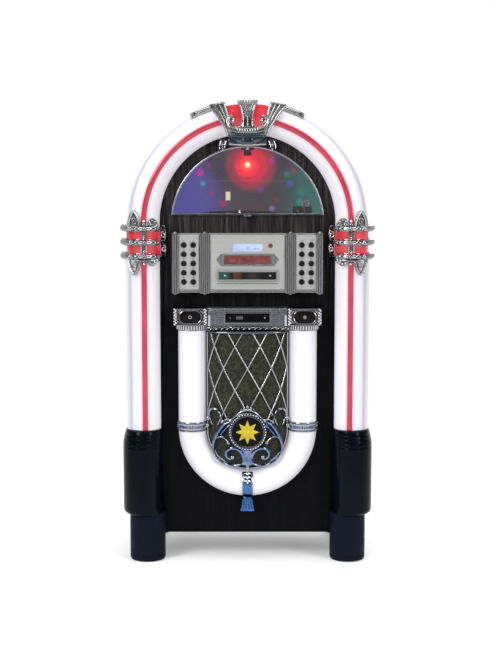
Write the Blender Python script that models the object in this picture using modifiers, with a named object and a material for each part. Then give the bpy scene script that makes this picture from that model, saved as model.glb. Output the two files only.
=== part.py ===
"""Free-standing arched jukebox: wooden cabinet, lit tube arch, turntable behind a lift-up window.

Metres, +Z up, front towards -Y. The origin is the centre of the footprint, on the floor.
Each named object is one piece of the assembly. Pieces that seat on each other keep SEAT_GAP.
"""

import math

import bmesh
import bpy
from mathutils import Matrix, Vector

# Fits and mesh fineness
SEAT_GAP = 0.0003
RUNNING_GAP = 0.0005
CUT_OVERRUN = 0.003
WELD = 0.00002
ARCH_STEPS = 20
BEND_STEPS = 6
TURN_STEPS = 14

# Wooden cabinet
BOARD = 0.012
CABINET_TUBE_LAP = 0.0665
CABINET_DEPTH = 0.306
FLOOR_Z = 0.078
ARCH_Z = 0.8585
REAR_PANEL_THICKNESS = 0.006
REAR_PANEL_RECESS = 0.004
VENT_LENGTH = 0.110
VENT_WIDTH = 0.007
VENT_PITCH = 0.020
VENT_ROWS = 6
VENT_CENTRE_Z = 0.420

# Mains inlet in the rear panel
INLET_X = -0.170
INLET_Z = 0.150
INLET_WIDTH = 0.0275
INLET_HEIGHT = 0.0200
INLET_DEPTH = 0.022
INLET_FLANGE_WIDTH = 0.050
INLET_FLANGE_THICKNESS = 0.002
INLET_CAVITY_DEPTH = 0.016
INLET_WALL = 0.0022
INLET_PIN_LENGTH = 0.012
INLET_PIN_WIDTH = 0.002
INLET_PIN_HEIGHT = 0.004
INLET_PIN_PITCH = 0.007

# Feet and boots
FOOT_RADIUS = 0.045
FOOT_EDGE = 0.005
FOOT_SPIGOT_RADIUS = 0.012
FOOT_BITE = 0.003
FOOT_INSET = 0.0311
FRONT_FOOT_SETBACK = 0.017
BOOT_BOTTOM_Z = 0.121
BOOT_TOP_Z = 0.3395
BOOT_WIDTH = 0.100
BOOT_OVERHANG = 0.0160
BOOT_DEPTH = 0.0667
BOOT_TAPER = 0.009
BOOT_NECK_HEIGHT = 0.048
BOOT_GROOVE_DEPTH = 0.0022
BOOT_GROOVE_PITCH = 0.0105
BOOT_GROOVES = 4
BOOT_FOOT_ROUND = 0.010

# Lit tube of the arch and its stripe
TUBE_WIDTH = 0.080
TUBE_CONSOLE_SPACE = 0.0315
TUBE_DEPTH = 0.045
TUBE_LIP = 0.018
STRIPE_WIDTH = 0.0125
STRIPE_HEIGHT = 0.001
STRIPE_OFFSET = 0.003
COLUMN_LEAD = 0.007
COLUMN_STEPS = 10

# Clasps round the two columns
CLASP_DROP = 0.0465
BAND_RADIUS = 0.0070
BAND_PITCH = 0.0345
BAND_COUNT = 3
LENS_THICKNESS = 0.0022
DIVIDER_WIDTH = 0.0155
DIVIDER_DEPTH = 0.009
LEAF_THICKNESS = 0.008
LEAF_OFFSET = 0.019
LEAF_HALF_WIDTH = 0.0165
TOP_LEAF_HEIGHT = 0.046
BOTTOM_LEAF_HEIGHT = 0.048
FAN_OFFSET = 0.023
FAN_HALF_WIDTH = 0.0165
FAN_HEIGHT = 0.026

# Crown at the top of the arch
CROWN_RISE = 0.003
CROWN_DROP = 0.0255
CROWN_HALF_WIDTH = 0.0935
CROWN_THICKNESS = 0.009
CROWN_SADDLE_ANGLE = math.radians(15.5)
CROWN_SADDLE_THICKNESS = 0.0036
CROWN_ARM_ANGLE = math.radians(27.4)
CROWN_ARM_OVERLAP = math.radians(1.5)
CROWN_ARM_RADIUS = 0.0055
CROWN_ARM_SETBACK = 0.024
CROWN_FLUTE_RADIUS = 0.0042
CROWN_LENS_THICKNESS = 0.0015

# Window over the turntable
WINDOW_TUBE_SPACE = 0.028
WINDOW_SILL_RISE = 0.0185
WINDOW_TRIM = 0.0045
WINDOW_FRAME_THICKNESS = 0.006
WINDOW_LAP = 0.0035
PANE_THICKNESS = 0.003
HINGE_X = 0.061
HINGE_RISE = 0.004
HINGE_STANDOFF = 0.0058
KNUCKLE_RADIUS = 0.0046
KNUCKLE_WIDTH = 0.0058
HINGE_PIN_RADIUS = 0.0016
HINGE_LEAF_HEIGHT = 0.006
HINGE_STRAP_THICKNESS = 0.0026
PULL_WIDTH = 0.020
PULL_HEIGHT = 0.009
PULL_DEPTH = 0.010

# Turntable
SHELF_DROP = 0.0253
DECK_THICKNESS = 0.013
DECK_LEFT_X = -0.150
DECK_RIGHT_X = 0.190
DECK_SETBACK = 0.012
DECK_REAR_CLEARANCE = 0.0337
DECK_CORNER = 0.012
PLATTER_X = -0.020
PLATTER_FRONT_CLEARANCE = 0.0095
PLATTER_MARGIN = 0.011
PLATTER_THICKNESS = 0.007
PLATTER_CLEARANCE = 0.0008
PLATTER_RIM = 0.006
PLATTER_RECESS = 0.0012
SPINDLE_RADIUS = 0.0035
SPINDLE_HEIGHT = 0.009
PLATTER_SHAFT_RADIUS = 0.005
PLATTER_SHAFT_LENGTH = 0.008

# Tonearm
TONEARM_X = 0.153
TONEARM_REAR_MARGIN = 0.0678
TONEARM_AXIS_HEIGHT = 0.029
PIVOT_BASE_RADIUS = 0.016
PIVOT_BASE_HEIGHT = 0.012
PIVOT_SHAFT_RADIUS = 0.005
PIVOT_SHAFT_LENGTH = 0.008
YOKE_WIDTH = 0.022
YOKE_DEPTH = 0.011
YOKE_SLOT = 0.010
YOKE_ABOVE_AXIS = 0.004
AXLE_RADIUS = 0.0014
ARM_RADIUS = 0.0032
ARM_FRONT_MARGIN = 0.088
ARM_TAIL = 0.034
COUNTERWEIGHT_RADIUS = 0.0105
COUNTERWEIGHT_LENGTH = 0.018
HEADSHELL_WIDTH = 0.018
HEADSHELL_LENGTH = 0.032
HEADSHELL_HEIGHT = 0.010
REST_POST_RADIUS = 0.004
REST_POST_SETBACK = 0.055

# Rotating lamp over the turntable
LAMP_Y = 0.030
LAMP_DROP = 0.0575
LAMP_RADIUS = 0.030
LAMP_NECK_RADIUS = 0.009
LAMP_SHAFT_RADIUS = 0.004
LAMP_SHAFT_LENGTH = 0.012
SOCKET_RADIUS = 0.017
SOCKET_RISE = 0.042
SOCKET_FLANGE_RADIUS = 0.034
SOCKET_FLANGE_THICKNESS = 0.006

# Control console
BUTTON_EDGE_SPACE = 0.0261
CONSOLE_HEIGHT = 0.146
CONSOLE_DROP = 0.045
CONSOLE_DEPTH = 0.030
CONSOLE_PLATE = 0.004
CONSOLE_WALL = 0.004
PILASTER_OUTER_WIDTH = 0.0150
PILASTER_TRAY_SPACE = 0.0308
PILASTER_INNER_WIDTH = 0.0241
PILASTER_RISE = 0.0055
PILASTER_TIP = 0.006
PILASTER_RIBS = 5
PILASTER_OUTER_RIBS = 3
PILASTER_BITE = 0.002
BADGE_WIDTH = 0.1546
BADGE_HEIGHT = 0.030
BADGE_POINT = 0.011
BADGE_DROP = 0.064
BADGE_PROUD = 0.0016
DISPLAY_WIDTH = 0.075
DISPLAY_HEIGHT = 0.0201
DISPLAY_DROP = 0.0336
DISPLAY_RECESS = 0.0008
DISPLAY_BOARD_THICKNESS = 0.002
DISPLAY_BOARD_MARGIN = 0.004
SENSOR_X = 0.0573
SENSOR_DROP = 0.029
SENSOR_RADIUS = 0.0055

# Song buttons
BUTTON_RADIUS = 0.0060
BUTTON_TRAVEL = 0.002
BUTTON_PRESSED_PROUD = 0.0012
BUTTON_DOME = 0.0008
BUTTON_FLANGE = 0.0013
BUTTON_FLANGE_THICKNESS = 0.0018
BUTTON_PILASTER_SPACE = 0.0399
BUTTON_COLUMN_PITCH = 0.0234
BUTTON_DROP = 0.0271
BUTTON_ROW_PITCH = 0.0230
BUTTON_ROWS = 5

# Disc drive
TRAY_FRONT_WIDTH = 0.1514
TRAY_FRONT_HEIGHT = 0.0263
TRAY_FRONT_DROP = 0.10355
TRAY_FRONT_THICKNESS = 0.0045
TRAY_SIDE_LAP = 0.0087
TRAY_THICKNESS = 0.007
TRAY_DISC_EDGE = 0.0065
TRAY_DISC_DEPTH = 0.003
TRAY_DISC_MARGIN = 0.008
DRIVE_WALL = 0.0025
DRIVE_LENGTH = 0.195
DRIVE_HEADROOM = 0.008

# Port console with the two switch blocks
PORT_BAR_INSET = 0.0365
PORT_BAR_HEIGHT = 0.046
PORT_BAR_DROP = 0.038
PORT_BAR_DEPTH = 0.034
BLOCK_OVERHANG = 0.0115
BLOCK_HEIGHT = 0.043
BLOCK_DEPTH = 0.043
BLOCK_COLLAR_HEIGHT = 0.015
BLOCK_COLLAR_INSET = 0.0045
SWITCH_OFFSET = 0.003
SWITCH_DROP = 0.0218
SWITCH_WIDTH = 0.052
SWITCH_HEIGHT = 0.029
SWITCH_TRAVEL = 0.002
SWITCH_PRESSED_PROUD = 0.001
SWITCH_LENGTH = 0.010
PORT_PLATE_WIDTH = 0.110
PORT_PLATE_HEIGHT = 0.022
PORT_PLATE_DROP = 0.0245
PORT_PLATE_THICKNESS = 0.003
PORT_PLATE_RECESS = 0.002
USB_WIDTH = 0.0135
USB_HEIGHT = 0.0060
USB_X = -0.020
CARD_WIDTH = 0.026
CARD_HEIGHT = 0.003
CARD_X = 0.012

# U-shaped lit tube
U_CENTRE_Z = 0.338
U_LEG_INSET = 0.033
U_TUBE_RADIUS = 0.0345
U_TUBE_STANDOFF = 0.004
LINK_RADIUS = 0.0024
COLLAR_HEIGHT = 0.024
COLLAR_THICKNESS = 0.0045
COLLAR_CLEARANCE = 0.0008
TAIL_STRAP_WIDTH = 0.0245
TAIL_NECK_WIDTH = 0.012
TAIL_STRAP_THICKNESS = 0.005
TAIL_BLOCK_WIDTH = 0.036
TAIL_DROP = 0.035
TAIL_STRAP_START = math.radians(55)
COLLAR_START = math.radians(17)

# Grille: cloth bulge, diamond lattice and ornament
GRILLE_BULGE = 0.046
CLOTH_THICKNESS = 0.0025
WIRE_RADIUS = 0.0020
WIRE_HALF_PITCH_ANGLE = 0.304
WIRE_HALF_PITCH_Z = 0.0555
WIRE_CROSSING_Z = 0.4975
WIRE_END_RISE = 0.014
WIRE_STEP_Z = 0.028
WIRE_REACH_ANGLE = math.radians(73)
WIRE_LAYER = 0.0004
HEAD_RADIUS = 0.0028
RIM_RADIUS = 0.0023
SCROLL_RADIUS = 0.0030
SCROLL_STANDOFF = 0.0005
MEDALLION_DROP = 0.0005
MEDALLION_RADIUS = 0.048
MEDALLION_DISC_RADIUS = 0.037
MEDALLION_THICKNESS = 0.0085
MEDALLION_RECESS = 0.0035
STAR_RADIUS = 0.0304
STAR_INNER_RADIUS = 0.0158
STAR_POINTS = 8
STAR_THICKNESS = 0.0022

# Sound parts inside
SPEAKER_Z = 0.470
SPEAKER_RADIUS = 0.070
SPEAKER_FLANGE = 0.008
SPEAKER_FLANGE_THICKNESS = 0.004
SPEAKER_BASKET_DEPTH = 0.038
SPEAKER_MAGNET_RADIUS = 0.038
SPEAKER_MAGNET_DEPTH = 0.016
SPEAKER_CONE_DEPTH = 0.022
AMPLIFIER_WIDTH = 0.190
AMPLIFIER_DEPTH = 0.120
AMPLIFIER_HEIGHT = 0.042
AMPLIFIER_FIN = 0.004
AMPLIFIER_FINS = 9
AMPLIFIER_FIN_DEPTH = 0.010

# Widths, outward from the disc tray's front
BACK_Y = (CABINET_DEPTH + BOOT_DEPTH + SEAT_GAP) / 2
TRAY_WIDTH = TRAY_FRONT_WIDTH - 2 * TRAY_SIDE_LAP
TRAY_DISC_RADIUS = TRAY_WIDTH / 2 - TRAY_DISC_EDGE
PILASTER_INNER_X = TRAY_FRONT_WIDTH / 2 + PILASTER_TRAY_SPACE
BUTTON_COLUMN_X = PILASTER_INNER_X + BUTTON_PILASTER_SPACE
CONSOLE_HALF_WIDTH = BUTTON_COLUMN_X + BUTTON_EDGE_SPACE
TUBE_INNER_RADIUS = CONSOLE_HALF_WIDTH + PILASTER_OUTER_WIDTH + TUBE_CONSOLE_SPACE
WINDOW_RADIUS = TUBE_INNER_RADIUS - WINDOW_TUBE_SPACE
CABINET_HALF_WIDTH = TUBE_INNER_RADIUS + CABINET_TUBE_LAP
FOOT_X = CABINET_HALF_WIDTH - FOOT_INSET
U_LEG_X = CONSOLE_HALF_WIDTH - U_LEG_INSET
BLOCK_OUTER_X = CONSOLE_HALF_WIDTH + BLOCK_OVERHANG
SWITCH_X = U_LEG_X + SWITCH_OFFSET
PORT_BAR_HALF_WIDTH = U_LEG_X - PORT_BAR_INSET

# Heights, from the arch's centre and from the U's centre
WINDOW_SILL_Z = ARCH_Z + WINDOW_SILL_RISE
HINGE_Z = ARCH_Z + WINDOW_RADIUS + HINGE_RISE
CROWN_TOP_Z = ARCH_Z + TUBE_INNER_RADIUS + TUBE_WIDTH + CROWN_RISE
CROWN_BOTTOM_Z = ARCH_Z + TUBE_INNER_RADIUS - CROWN_DROP
LAMP_Z = ARCH_Z + WINDOW_RADIUS - LAMP_DROP
SOCKET_BOTTOM_Z = LAMP_Z + SOCKET_RISE
SHELF_TOP_Z = WINDOW_SILL_Z - SHELF_DROP
CLASP_CENTRE_Z = ARCH_Z - CLASP_DROP
CONSOLE_TOP_Z = WINDOW_SILL_Z - CONSOLE_DROP
CONSOLE_BOTTOM_Z = CONSOLE_TOP_Z - CONSOLE_HEIGHT
DISPLAY_Z = CONSOLE_TOP_Z - DISPLAY_DROP
SENSOR_Z = CONSOLE_TOP_Z - SENSOR_DROP
BADGE_Z = CONSOLE_TOP_Z - BADGE_DROP
BUTTON_TOP_Z = CONSOLE_TOP_Z - BUTTON_DROP
TRAY_FRONT_Z = CONSOLE_TOP_Z - TRAY_FRONT_DROP
PORT_BAR_TOP_Z = CONSOLE_BOTTOM_Z - PORT_BAR_DROP
PORT_BAR_BOTTOM_Z = PORT_BAR_TOP_Z - PORT_BAR_HEIGHT
BLOCK_BOTTOM_Z = PORT_BAR_TOP_Z - BLOCK_HEIGHT
SWITCH_Z = PORT_BAR_TOP_Z - SWITCH_DROP
PORT_PLATE_Z = PORT_BAR_TOP_Z - PORT_PLATE_DROP
MEDALLION_Z = U_CENTRE_Z - MEDALLION_DROP
WIRE_END_Z = U_CENTRE_Z + WIRE_END_RISE
TAIL_BOTTOM_Z = U_CENTRE_Z - U_LEG_X - U_TUBE_RADIUS - TAIL_DROP

# Places worked out from the sizes above
PANEL_FACE_Y = BACK_Y - CABINET_DEPTH
PANEL_BACK_Y = PANEL_FACE_Y + BOARD
SHELL_FRONT_Y = PANEL_BACK_Y + SEAT_GAP
SEAT_Y = PANEL_FACE_Y - SEAT_GAP
INNER_HALF_WIDTH = CABINET_HALF_WIDTH - BOARD
REAR_OUTER_Y = BACK_Y - REAR_PANEL_RECESS
REAR_INNER_Y = REAR_OUTER_Y - REAR_PANEL_THICKNESS
DECK_DEPTH = REAR_INNER_Y - SHELL_FRONT_Y - DECK_SETBACK - DECK_REAR_CLEARANCE
DECK_BACK_Y = SHELL_FRONT_Y + DECK_SETBACK + DECK_DEPTH
PLATTER_RADIUS = DECK_DEPTH / 2 - PLATTER_MARGIN
PLATTER_Y = PANEL_BACK_Y + PLATTER_FRONT_CLEARANCE + PLATTER_RADIUS
TONEARM_Y = DECK_BACK_Y - TONEARM_REAR_MARGIN
ARM_REACH = DECK_DEPTH - ARM_FRONT_MARGIN
TUBE_OUTER_RADIUS = TUBE_INNER_RADIUS + TUBE_WIDTH
TUBE_MID_RADIUS = TUBE_INNER_RADIUS + TUBE_WIDTH / 2
TUBE_FRONT_Y = SEAT_Y - TUBE_DEPTH
STRIPE_RADIUS = TUBE_MID_RADIUS - STRIPE_OFFSET
LENS_SIDE = 2 * SEAT_GAP
LENS_FRONT = STRIPE_HEIGHT + 2 * SEAT_GAP
BAND_SIDE = LENS_SIDE + LENS_THICKNESS + SEAT_GAP + BAND_RADIUS
BAND_FRONT = LENS_FRONT + LENS_THICKNESS + SEAT_GAP + BAND_RADIUS
DECK_TOP_Z = SHELF_TOP_Z + SEAT_GAP + DECK_THICKNESS
PLATTER_BOTTOM_Z = DECK_TOP_Z + PLATTER_CLEARANCE
TONEARM_AXIS_Z = DECK_TOP_Z + TONEARM_AXIS_HEIGHT
HINGE_Y = SEAT_Y - HINGE_STANDOFF
CONSOLE_FACE_Y = SEAT_Y - CONSOLE_DEPTH
BLOCK_FACE_Y = SEAT_Y - BLOCK_DEPTH
PORT_BAR_FACE_Y = SEAT_Y - PORT_BAR_DEPTH
U_AXIS_Y = SEAT_Y - U_TUBE_STANDOFF
U_TOP_Z = BLOCK_BOTTOM_Z - BLOCK_COLLAR_HEIGHT
GRILLE_HALF_WIDTH = U_LEG_X - U_TUBE_RADIUS - SEAT_GAP
LATTICE_FRONT = 2 * SEAT_GAP + 2 * WIRE_RADIUS + WIRE_LAYER
CROWN_LENS_BACK_Y = TUBE_FRONT_Y - STRIPE_HEIGHT - SEAT_GAP
CROWN_BACK_Y = CROWN_LENS_BACK_Y - CROWN_LENS_THICKNESS - SEAT_GAP
CROWN_FACE_Y = CROWN_BACK_Y - CROWN_THICKNESS
TRAY_BOTTOM_Z = TRAY_FRONT_Z - TRAY_THICKNESS

PARTS = "jukebox"
CUTTERS = "cutters"


# Scene, materials and mesh helpers

def clear_scene():
    for item in list(bpy.data.objects):
        bpy.data.objects.remove(item)
    for name in (PARTS, CUTTERS):
        bpy.context.scene.collection.children.link(bpy.data.collections.new(name))


def principled(name, colour, roughness, metallic=0.0):
    material = bpy.data.materials.new(name)
    material.use_nodes = True
    shader = material.node_tree.nodes["Principled BSDF"]
    shader.inputs["Base Color"].default_value = (*colour, 1.0)
    shader.inputs["Roughness"].default_value = roughness
    shader.inputs["Metallic"].default_value = metallic
    material.diffuse_color = (*colour, 1.0)
    return material


def place(name, mesh, material, matrix=None):
    """Puts a mesh in the parts collection, shaded smooth between its sharp edges."""
    item = bpy.data.objects.new(name, mesh)
    bpy.data.collections[PARTS].objects.link(item)
    if matrix is not None:
        item.matrix_world = matrix
    if material is not None:
        mesh.materials.clear()
        mesh.materials.append(material)
    mesh.shade_smooth()
    mesh.set_sharp_from_angle(angle=math.radians(35))
    return item


def hide_as_cutter(item):
    bpy.data.collections[PARTS].objects.unlink(item)
    bpy.data.collections[CUTTERS].objects.link(item)
    item.hide_render = True
    item.display_type = "WIRE"


def combine(target, tools, operation):
    """Adds one exact Boolean for each tool, and files the tools with the cutters."""
    for tool in tools:
        modifier = target.modifiers.new(operation.lower() + "_" + tool.name, "BOOLEAN")
        modifier.operation = operation
        modifier.solver = "EXACT"
        modifier.object = tool
        hide_as_cutter(tool)
    return target


def cut(target, *tools):
    return combine(target, tools, "DIFFERENCE")


def fuse(target, *tools):
    return combine(target, tools, "UNION")


def mesh_from_curve(name, curve):
    """A closed mesh from a curve, with its loose caps welded on."""
    guide = bpy.data.objects.new(name + "_guide", curve)
    bpy.context.scene.collection.objects.link(guide)
    bpy.context.view_layer.update()
    graph = bpy.context.evaluated_depsgraph_get()
    mesh = bpy.data.meshes.new_from_object(guide.evaluated_get(graph))
    mesh.name = name
    bpy.data.objects.remove(guide)
    work = bmesh.new()
    work.from_mesh(mesh)
    bmesh.ops.remove_doubles(work, verts=work.verts, dist=WELD)
    bmesh.ops.recalc_face_normals(work, faces=work.faces)
    work.to_mesh(mesh)
    work.free()
    return mesh


def plane_matrix(plane, offset):
    """Where a flat outline lies: its own X and Y go to the plane's two axes, in that order."""
    if plane == "XZ":
        return Matrix.Translation((0, offset, 0)) @ Matrix.Rotation(math.pi / 2, 4, "X")
    if plane == "YZ":
        turn = Matrix(((0, 0, 1), (1, 0, 0), (0, 1, 0))).to_4x4()
        return Matrix.Translation((offset, 0, 0)) @ turn
    return Matrix.Translation((0, 0, offset))


def prism(name, loops, plane, low, high, material=None):
    """A flat outline, with any holes in it, extruded from low to high across its plane."""
    curve = bpy.data.curves.new(name, "CURVE")
    curve.dimensions = "2D"
    curve.fill_mode = "BOTH"
    curve.extrude = (high - low) / 2
    for loop in loops:
        spline = curve.splines.new("POLY")
        spline.points.add(len(loop) - 1)
        for point, (x, y) in zip(spline.points, loop):
            point.co = (x, y, 0, 1)
        spline.use_cyclic_u = True
    mesh = mesh_from_curve(name, curve)
    return place(name, mesh, material, plane_matrix(plane, (low + high) / 2))


def box(name, low, high, material=None, bevel=0.0):
    """A block between two corners, with rounded edges when a bevel is given."""
    low, high = Vector(low), Vector(high)
    mesh = bpy.data.meshes.new(name)
    work = bmesh.new()
    bmesh.ops.create_cube(work, size=1)
    size = high - low
    bmesh.ops.scale(work, vec=size, verts=work.verts)
    work.to_mesh(mesh)
    work.free()
    item = place(name, mesh, material, Matrix.Translation((low + high) / 2))
    if bevel > 0:
        edge = item.modifiers.new("edge", "BEVEL")
        edge.width = bevel
        edge.segments = 2
    return item


def turned(name, profile, material=None, at=(0, 0, 0), tilt=0.0, steps=TURN_STEPS):
    """A profile of (radius, height) points, top to bottom, turned about its own Z."""
    mesh = bpy.data.meshes.new(name)
    points = [(radius, 0, height) for radius, height in profile]
    mesh.from_pydata(points, [(i, i + 1) for i in range(len(points) - 1)], [])
    matrix = Matrix.Translation(at) @ Matrix.Rotation(tilt, 4, "X")
    item = place(name, mesh, material, matrix)
    screw = item.modifiers.new("turn", "SCREW")
    screw.steps = steps
    screw.render_steps = steps
    screw.use_merge_vertices = True
    screw.merge_threshold = WELD
    screw.use_smooth_shade = True
    return item


def cylinder(name, radius, low, high, material=None, axis="Z", at=(0, 0), steps=TURN_STEPS):
    """A round bar from low to high along an axis, its centre at the other two coordinates."""
    mesh = bpy.data.meshes.new(name)
    work = bmesh.new()
    bmesh.ops.create_cone(work, cap_ends=True, segments=steps, radius1=radius, radius2=radius,
                          depth=high - low)
    work.to_mesh(mesh)
    work.free()
    middle = (low + high) / 2
    if axis == "X":
        matrix = Matrix.Translation((middle, *at)) @ Matrix.Rotation(math.pi / 2, 4, "Y")
    elif axis == "Y":
        matrix = Matrix.Translation((at[0], middle, at[1])) @ Matrix.Rotation(math.pi / 2, 4, "X")
    else:
        matrix = Matrix.Translation((*at, middle))
    return place(name, mesh, material, matrix)


def wires(name, paths, radius, material=None, sides_share=1, cyclic=False):
    """Round wire along each path, with filled caps, as one mesh."""
    curve = bpy.data.curves.new(name, "CURVE")
    curve.dimensions = "3D"
    curve.bevel_depth = radius
    curve.bevel_resolution = sides_share
    curve.use_fill_caps = True
    for path in paths:
        spline = curve.splines.new("POLY")
        spline.points.add(len(path) - 1)
        for point, place_at in zip(spline.points, path):
            point.co = (*place_at, 1)
        spline.use_cyclic_u = cyclic
    return place(name, mesh_from_curve(name, curve), material)


def on_axis(name, point, *items):
    """An empty on a joint's axis, with the pieces that turn about it as its children."""
    empty = bpy.data.objects.new(name, None)
    bpy.data.collections[PARTS].objects.link(empty)
    empty.matrix_world = Matrix.Translation(point)
    bpy.context.view_layer.update()
    for item in items:
        item.parent = empty
        item.matrix_parent_inverse = empty.matrix_world.inverted()
    return empty


def mirror_points(points):
    """The same outline on the other side of the centre plane, still running the same way."""
    return [(-x, y) for x, y in reversed(points)]


def arc(centre_x, centre_y, radius_x, radius_y, start, end, steps):
    """Points on an ellipse from one angle to another."""
    turn = (end - start) / steps
    return [(centre_x + radius_x * math.cos(start + turn * i),
             centre_y + radius_y * math.sin(start + turn * i)) for i in range(steps + 1)]


def rectangle(centre_x, centre_y, width, height):
    return [(centre_x - width / 2, centre_y - height / 2), (centre_x + width / 2, centre_y - height / 2),
            (centre_x + width / 2, centre_y + height / 2), (centre_x - width / 2, centre_y + height / 2)]


def circle(centre_x, centre_y, radius, steps=TURN_STEPS):
    return arc(centre_x, centre_y, radius, radius, 0, 2 * math.pi, steps)[:-1]


def oval(centre_x, centre_y, width, height, steps=8):
    """A straight-sided slot shape with half-round ends."""
    end = height / 2
    run = width / 2 - end
    right = arc(centre_x + run, centre_y, end, end, -math.pi / 2, math.pi / 2, steps)
    left = arc(centre_x - run, centre_y, end, end, math.pi / 2, math.pi * 3 / 2, steps)
    return right + left


# Outlines that several pieces share

def arch_outline(half_width, bottom_z):
    """Two straight sides under a half circle about the arch centre."""
    top = arc(0, ARCH_Z, half_width, half_width, 0, math.pi, ARCH_STEPS)
    return [(half_width, bottom_z)] + top + [(-half_width, bottom_z)]


def window_outline(inset):
    """The part of a disc above the sill, drawn in from the window's edge."""
    radius = WINDOW_RADIUS - inset
    chord = WINDOW_SILL_Z + inset
    start = math.asin((chord - ARCH_Z) / radius)
    return arc(0, ARCH_Z, radius, radius, start, math.pi - start, ARCH_STEPS)


def wrap(inner_x, outer_x, depth):
    """Plan of a round-fronted line from the panel's face, out over a column and back."""
    start_y = SEAT_Y - COLUMN_LEAD
    front = arc((inner_x + outer_x) / 2, start_y, (outer_x - inner_x) / 2, depth - COLUMN_LEAD,
                math.pi, 2 * math.pi, COLUMN_STEPS)
    return [(inner_x, SEAT_Y)] + front


def column_section(inner_x, outer_x, depth, lip, hook_x):
    """Plan of a rounded column on the panel's face that hooks back over the cabinet's side."""
    return wrap(inner_x, outer_x, depth) + [(outer_x, PANEL_FACE_Y + lip), (hook_x, PANEL_FACE_Y + lip),
                                            (hook_x, SEAT_Y)]


def level_at(points, x):
    """Where a line of points that runs steadily across X stands at one X."""
    for (x0, y0), (x1, y1) in zip(points, points[1:]):
        if x0 < x <= x1:
            return y0 + (y1 - y0) * (x - x0) / (x1 - x0)
    return points[-1][1]


def raise_rib(section, low_x, high_x, height):
    """The same section with a square-edged rib that follows its front between two places."""
    front = section[1:COLUMN_STEPS + 2]
    low_y, high_y = level_at(front, low_x), level_at(front, high_x)
    rib = [(low_x, low_y), (low_x, low_y - height), (high_x, high_y - height), (high_x, high_y)]
    before = [point for point in front if point[0] < low_x]
    inside = [(x, y - height) for x, y in front if low_x < x < high_x]
    after = [point for point in front if point[0] > high_x]
    return section[:1] + before + rib[:2] + inside + rib[2:] + after + section[COLUMN_STEPS + 2:]


def grille_depth(x, z, standoff):
    """Where a point lies that stands this far off the cloth. Below the U's centre the cloth is a dome."""
    drop = min(0.0, z - U_CENTRE_Z)
    share = min(1.0, math.hypot(x, drop) / GRILLE_HALF_WIDTH)
    slope = math.sqrt(1 - share * share)
    facing = GRILLE_HALF_WIDTH * slope / math.hypot(GRILLE_HALF_WIDTH * slope, GRILLE_BULGE * share)
    return SEAT_Y - GRILLE_BULGE * slope - standoff / facing


# Cabinet

def build_cabinet(wood, black):
    ring = arch_outline(CABINET_HALF_WIDTH, FLOOR_Z) + arch_outline(INNER_HALF_WIDTH, FLOOR_Z)[::-1]
    prism("cabinet_shell", [ring], "XZ", SHELL_FRONT_Y, BACK_Y, wood)

    face = arch_outline(CABINET_HALF_WIDTH, FLOOR_Z)
    holes = [window_outline(WINDOW_LAP)]
    holes.append(circle(0, SPEAKER_Z, SPEAKER_RADIUS - SPEAKER_FLANGE, ARCH_STEPS))
    drive = drive_size()
    holes.append(rectangle(0, drive["middle_z"], drive["width"], drive["height"]))
    prism("front_panel", [face] + holes, "XZ", PANEL_FACE_Y, PANEL_BACK_Y, wood)

    side = INNER_HALF_WIDTH - SEAT_GAP
    base = box("base_board", (-side, SHELL_FRONT_Y, FLOOR_Z),
               (side, REAR_INNER_Y - SEAT_GAP, FLOOR_Z + BOARD), wood)
    fuse(base, *rear_feet())
    box("turntable_shelf", (-side, SHELL_FRONT_Y, SHELF_TOP_Z - BOARD),
        (side, REAR_INNER_Y - SEAT_GAP, SHELF_TOP_Z), wood)

    slots = []
    for row in range(VENT_ROWS):
        z = VENT_CENTRE_Z + (row - (VENT_ROWS - 1) / 2) * VENT_PITCH
        slots.append(oval(0, z, VENT_LENGTH, VENT_WIDTH, 4))
    inlet_hole = rectangle(INLET_X, INLET_Z, INLET_WIDTH + 2 * SEAT_GAP, INLET_HEIGHT + 2 * SEAT_GAP)
    rear = arch_outline(INNER_HALF_WIDTH - SEAT_GAP, FLOOR_Z)
    prism("rear_panel", [rear, inlet_hole] + slots, "XZ", REAR_INNER_Y, REAR_OUTER_Y, black)


def build_inlet(plastic):
    """A mains socket pushed through the rear panel, its flange on the outside."""
    half = INLET_WIDTH / 2
    low_z, high_z = INLET_Z - INLET_HEIGHT / 2, INLET_Z + INLET_HEIGHT / 2
    mouth_y = REAR_OUTER_Y + INLET_FLANGE_THICKNESS
    body = box("mains_inlet", (INLET_X - half, REAR_OUTER_Y - INLET_DEPTH, low_z),
               (INLET_X + half, mouth_y, high_z), plastic)
    flange = box("inlet_flange",
                 (INLET_X - INLET_FLANGE_WIDTH / 2, REAR_OUTER_Y + SEAT_GAP, low_z - INLET_WALL),
                 (INLET_X + INLET_FLANGE_WIDTH / 2, mouth_y + SEAT_GAP, high_z + INLET_WALL))
    cavity = box("inlet_cavity",
                 (INLET_X - half + INLET_WALL, mouth_y - INLET_CAVITY_DEPTH, low_z + INLET_WALL),
                 (INLET_X + half - INLET_WALL, mouth_y + CUT_OVERRUN, high_z - INLET_WALL))
    pins = []
    root_y = mouth_y - INLET_CAVITY_DEPTH - INLET_WALL
    pin_half, pin_reach = INLET_PIN_WIDTH / 2, INLET_PIN_HEIGHT / 2
    for step in (-1, 0, 1):
        x = INLET_X + step * INLET_PIN_PITCH
        pins.append(box("inlet_pin_" + str(step + 2), (x - pin_half, root_y, INLET_Z - pin_reach),
                        (x + pin_half, root_y + INLET_WALL + INLET_PIN_LENGTH, INLET_Z + pin_reach)))
    fuse(body, flange)
    cut(body, cavity)
    fuse(body, *pins)


# Feet and boots

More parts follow.
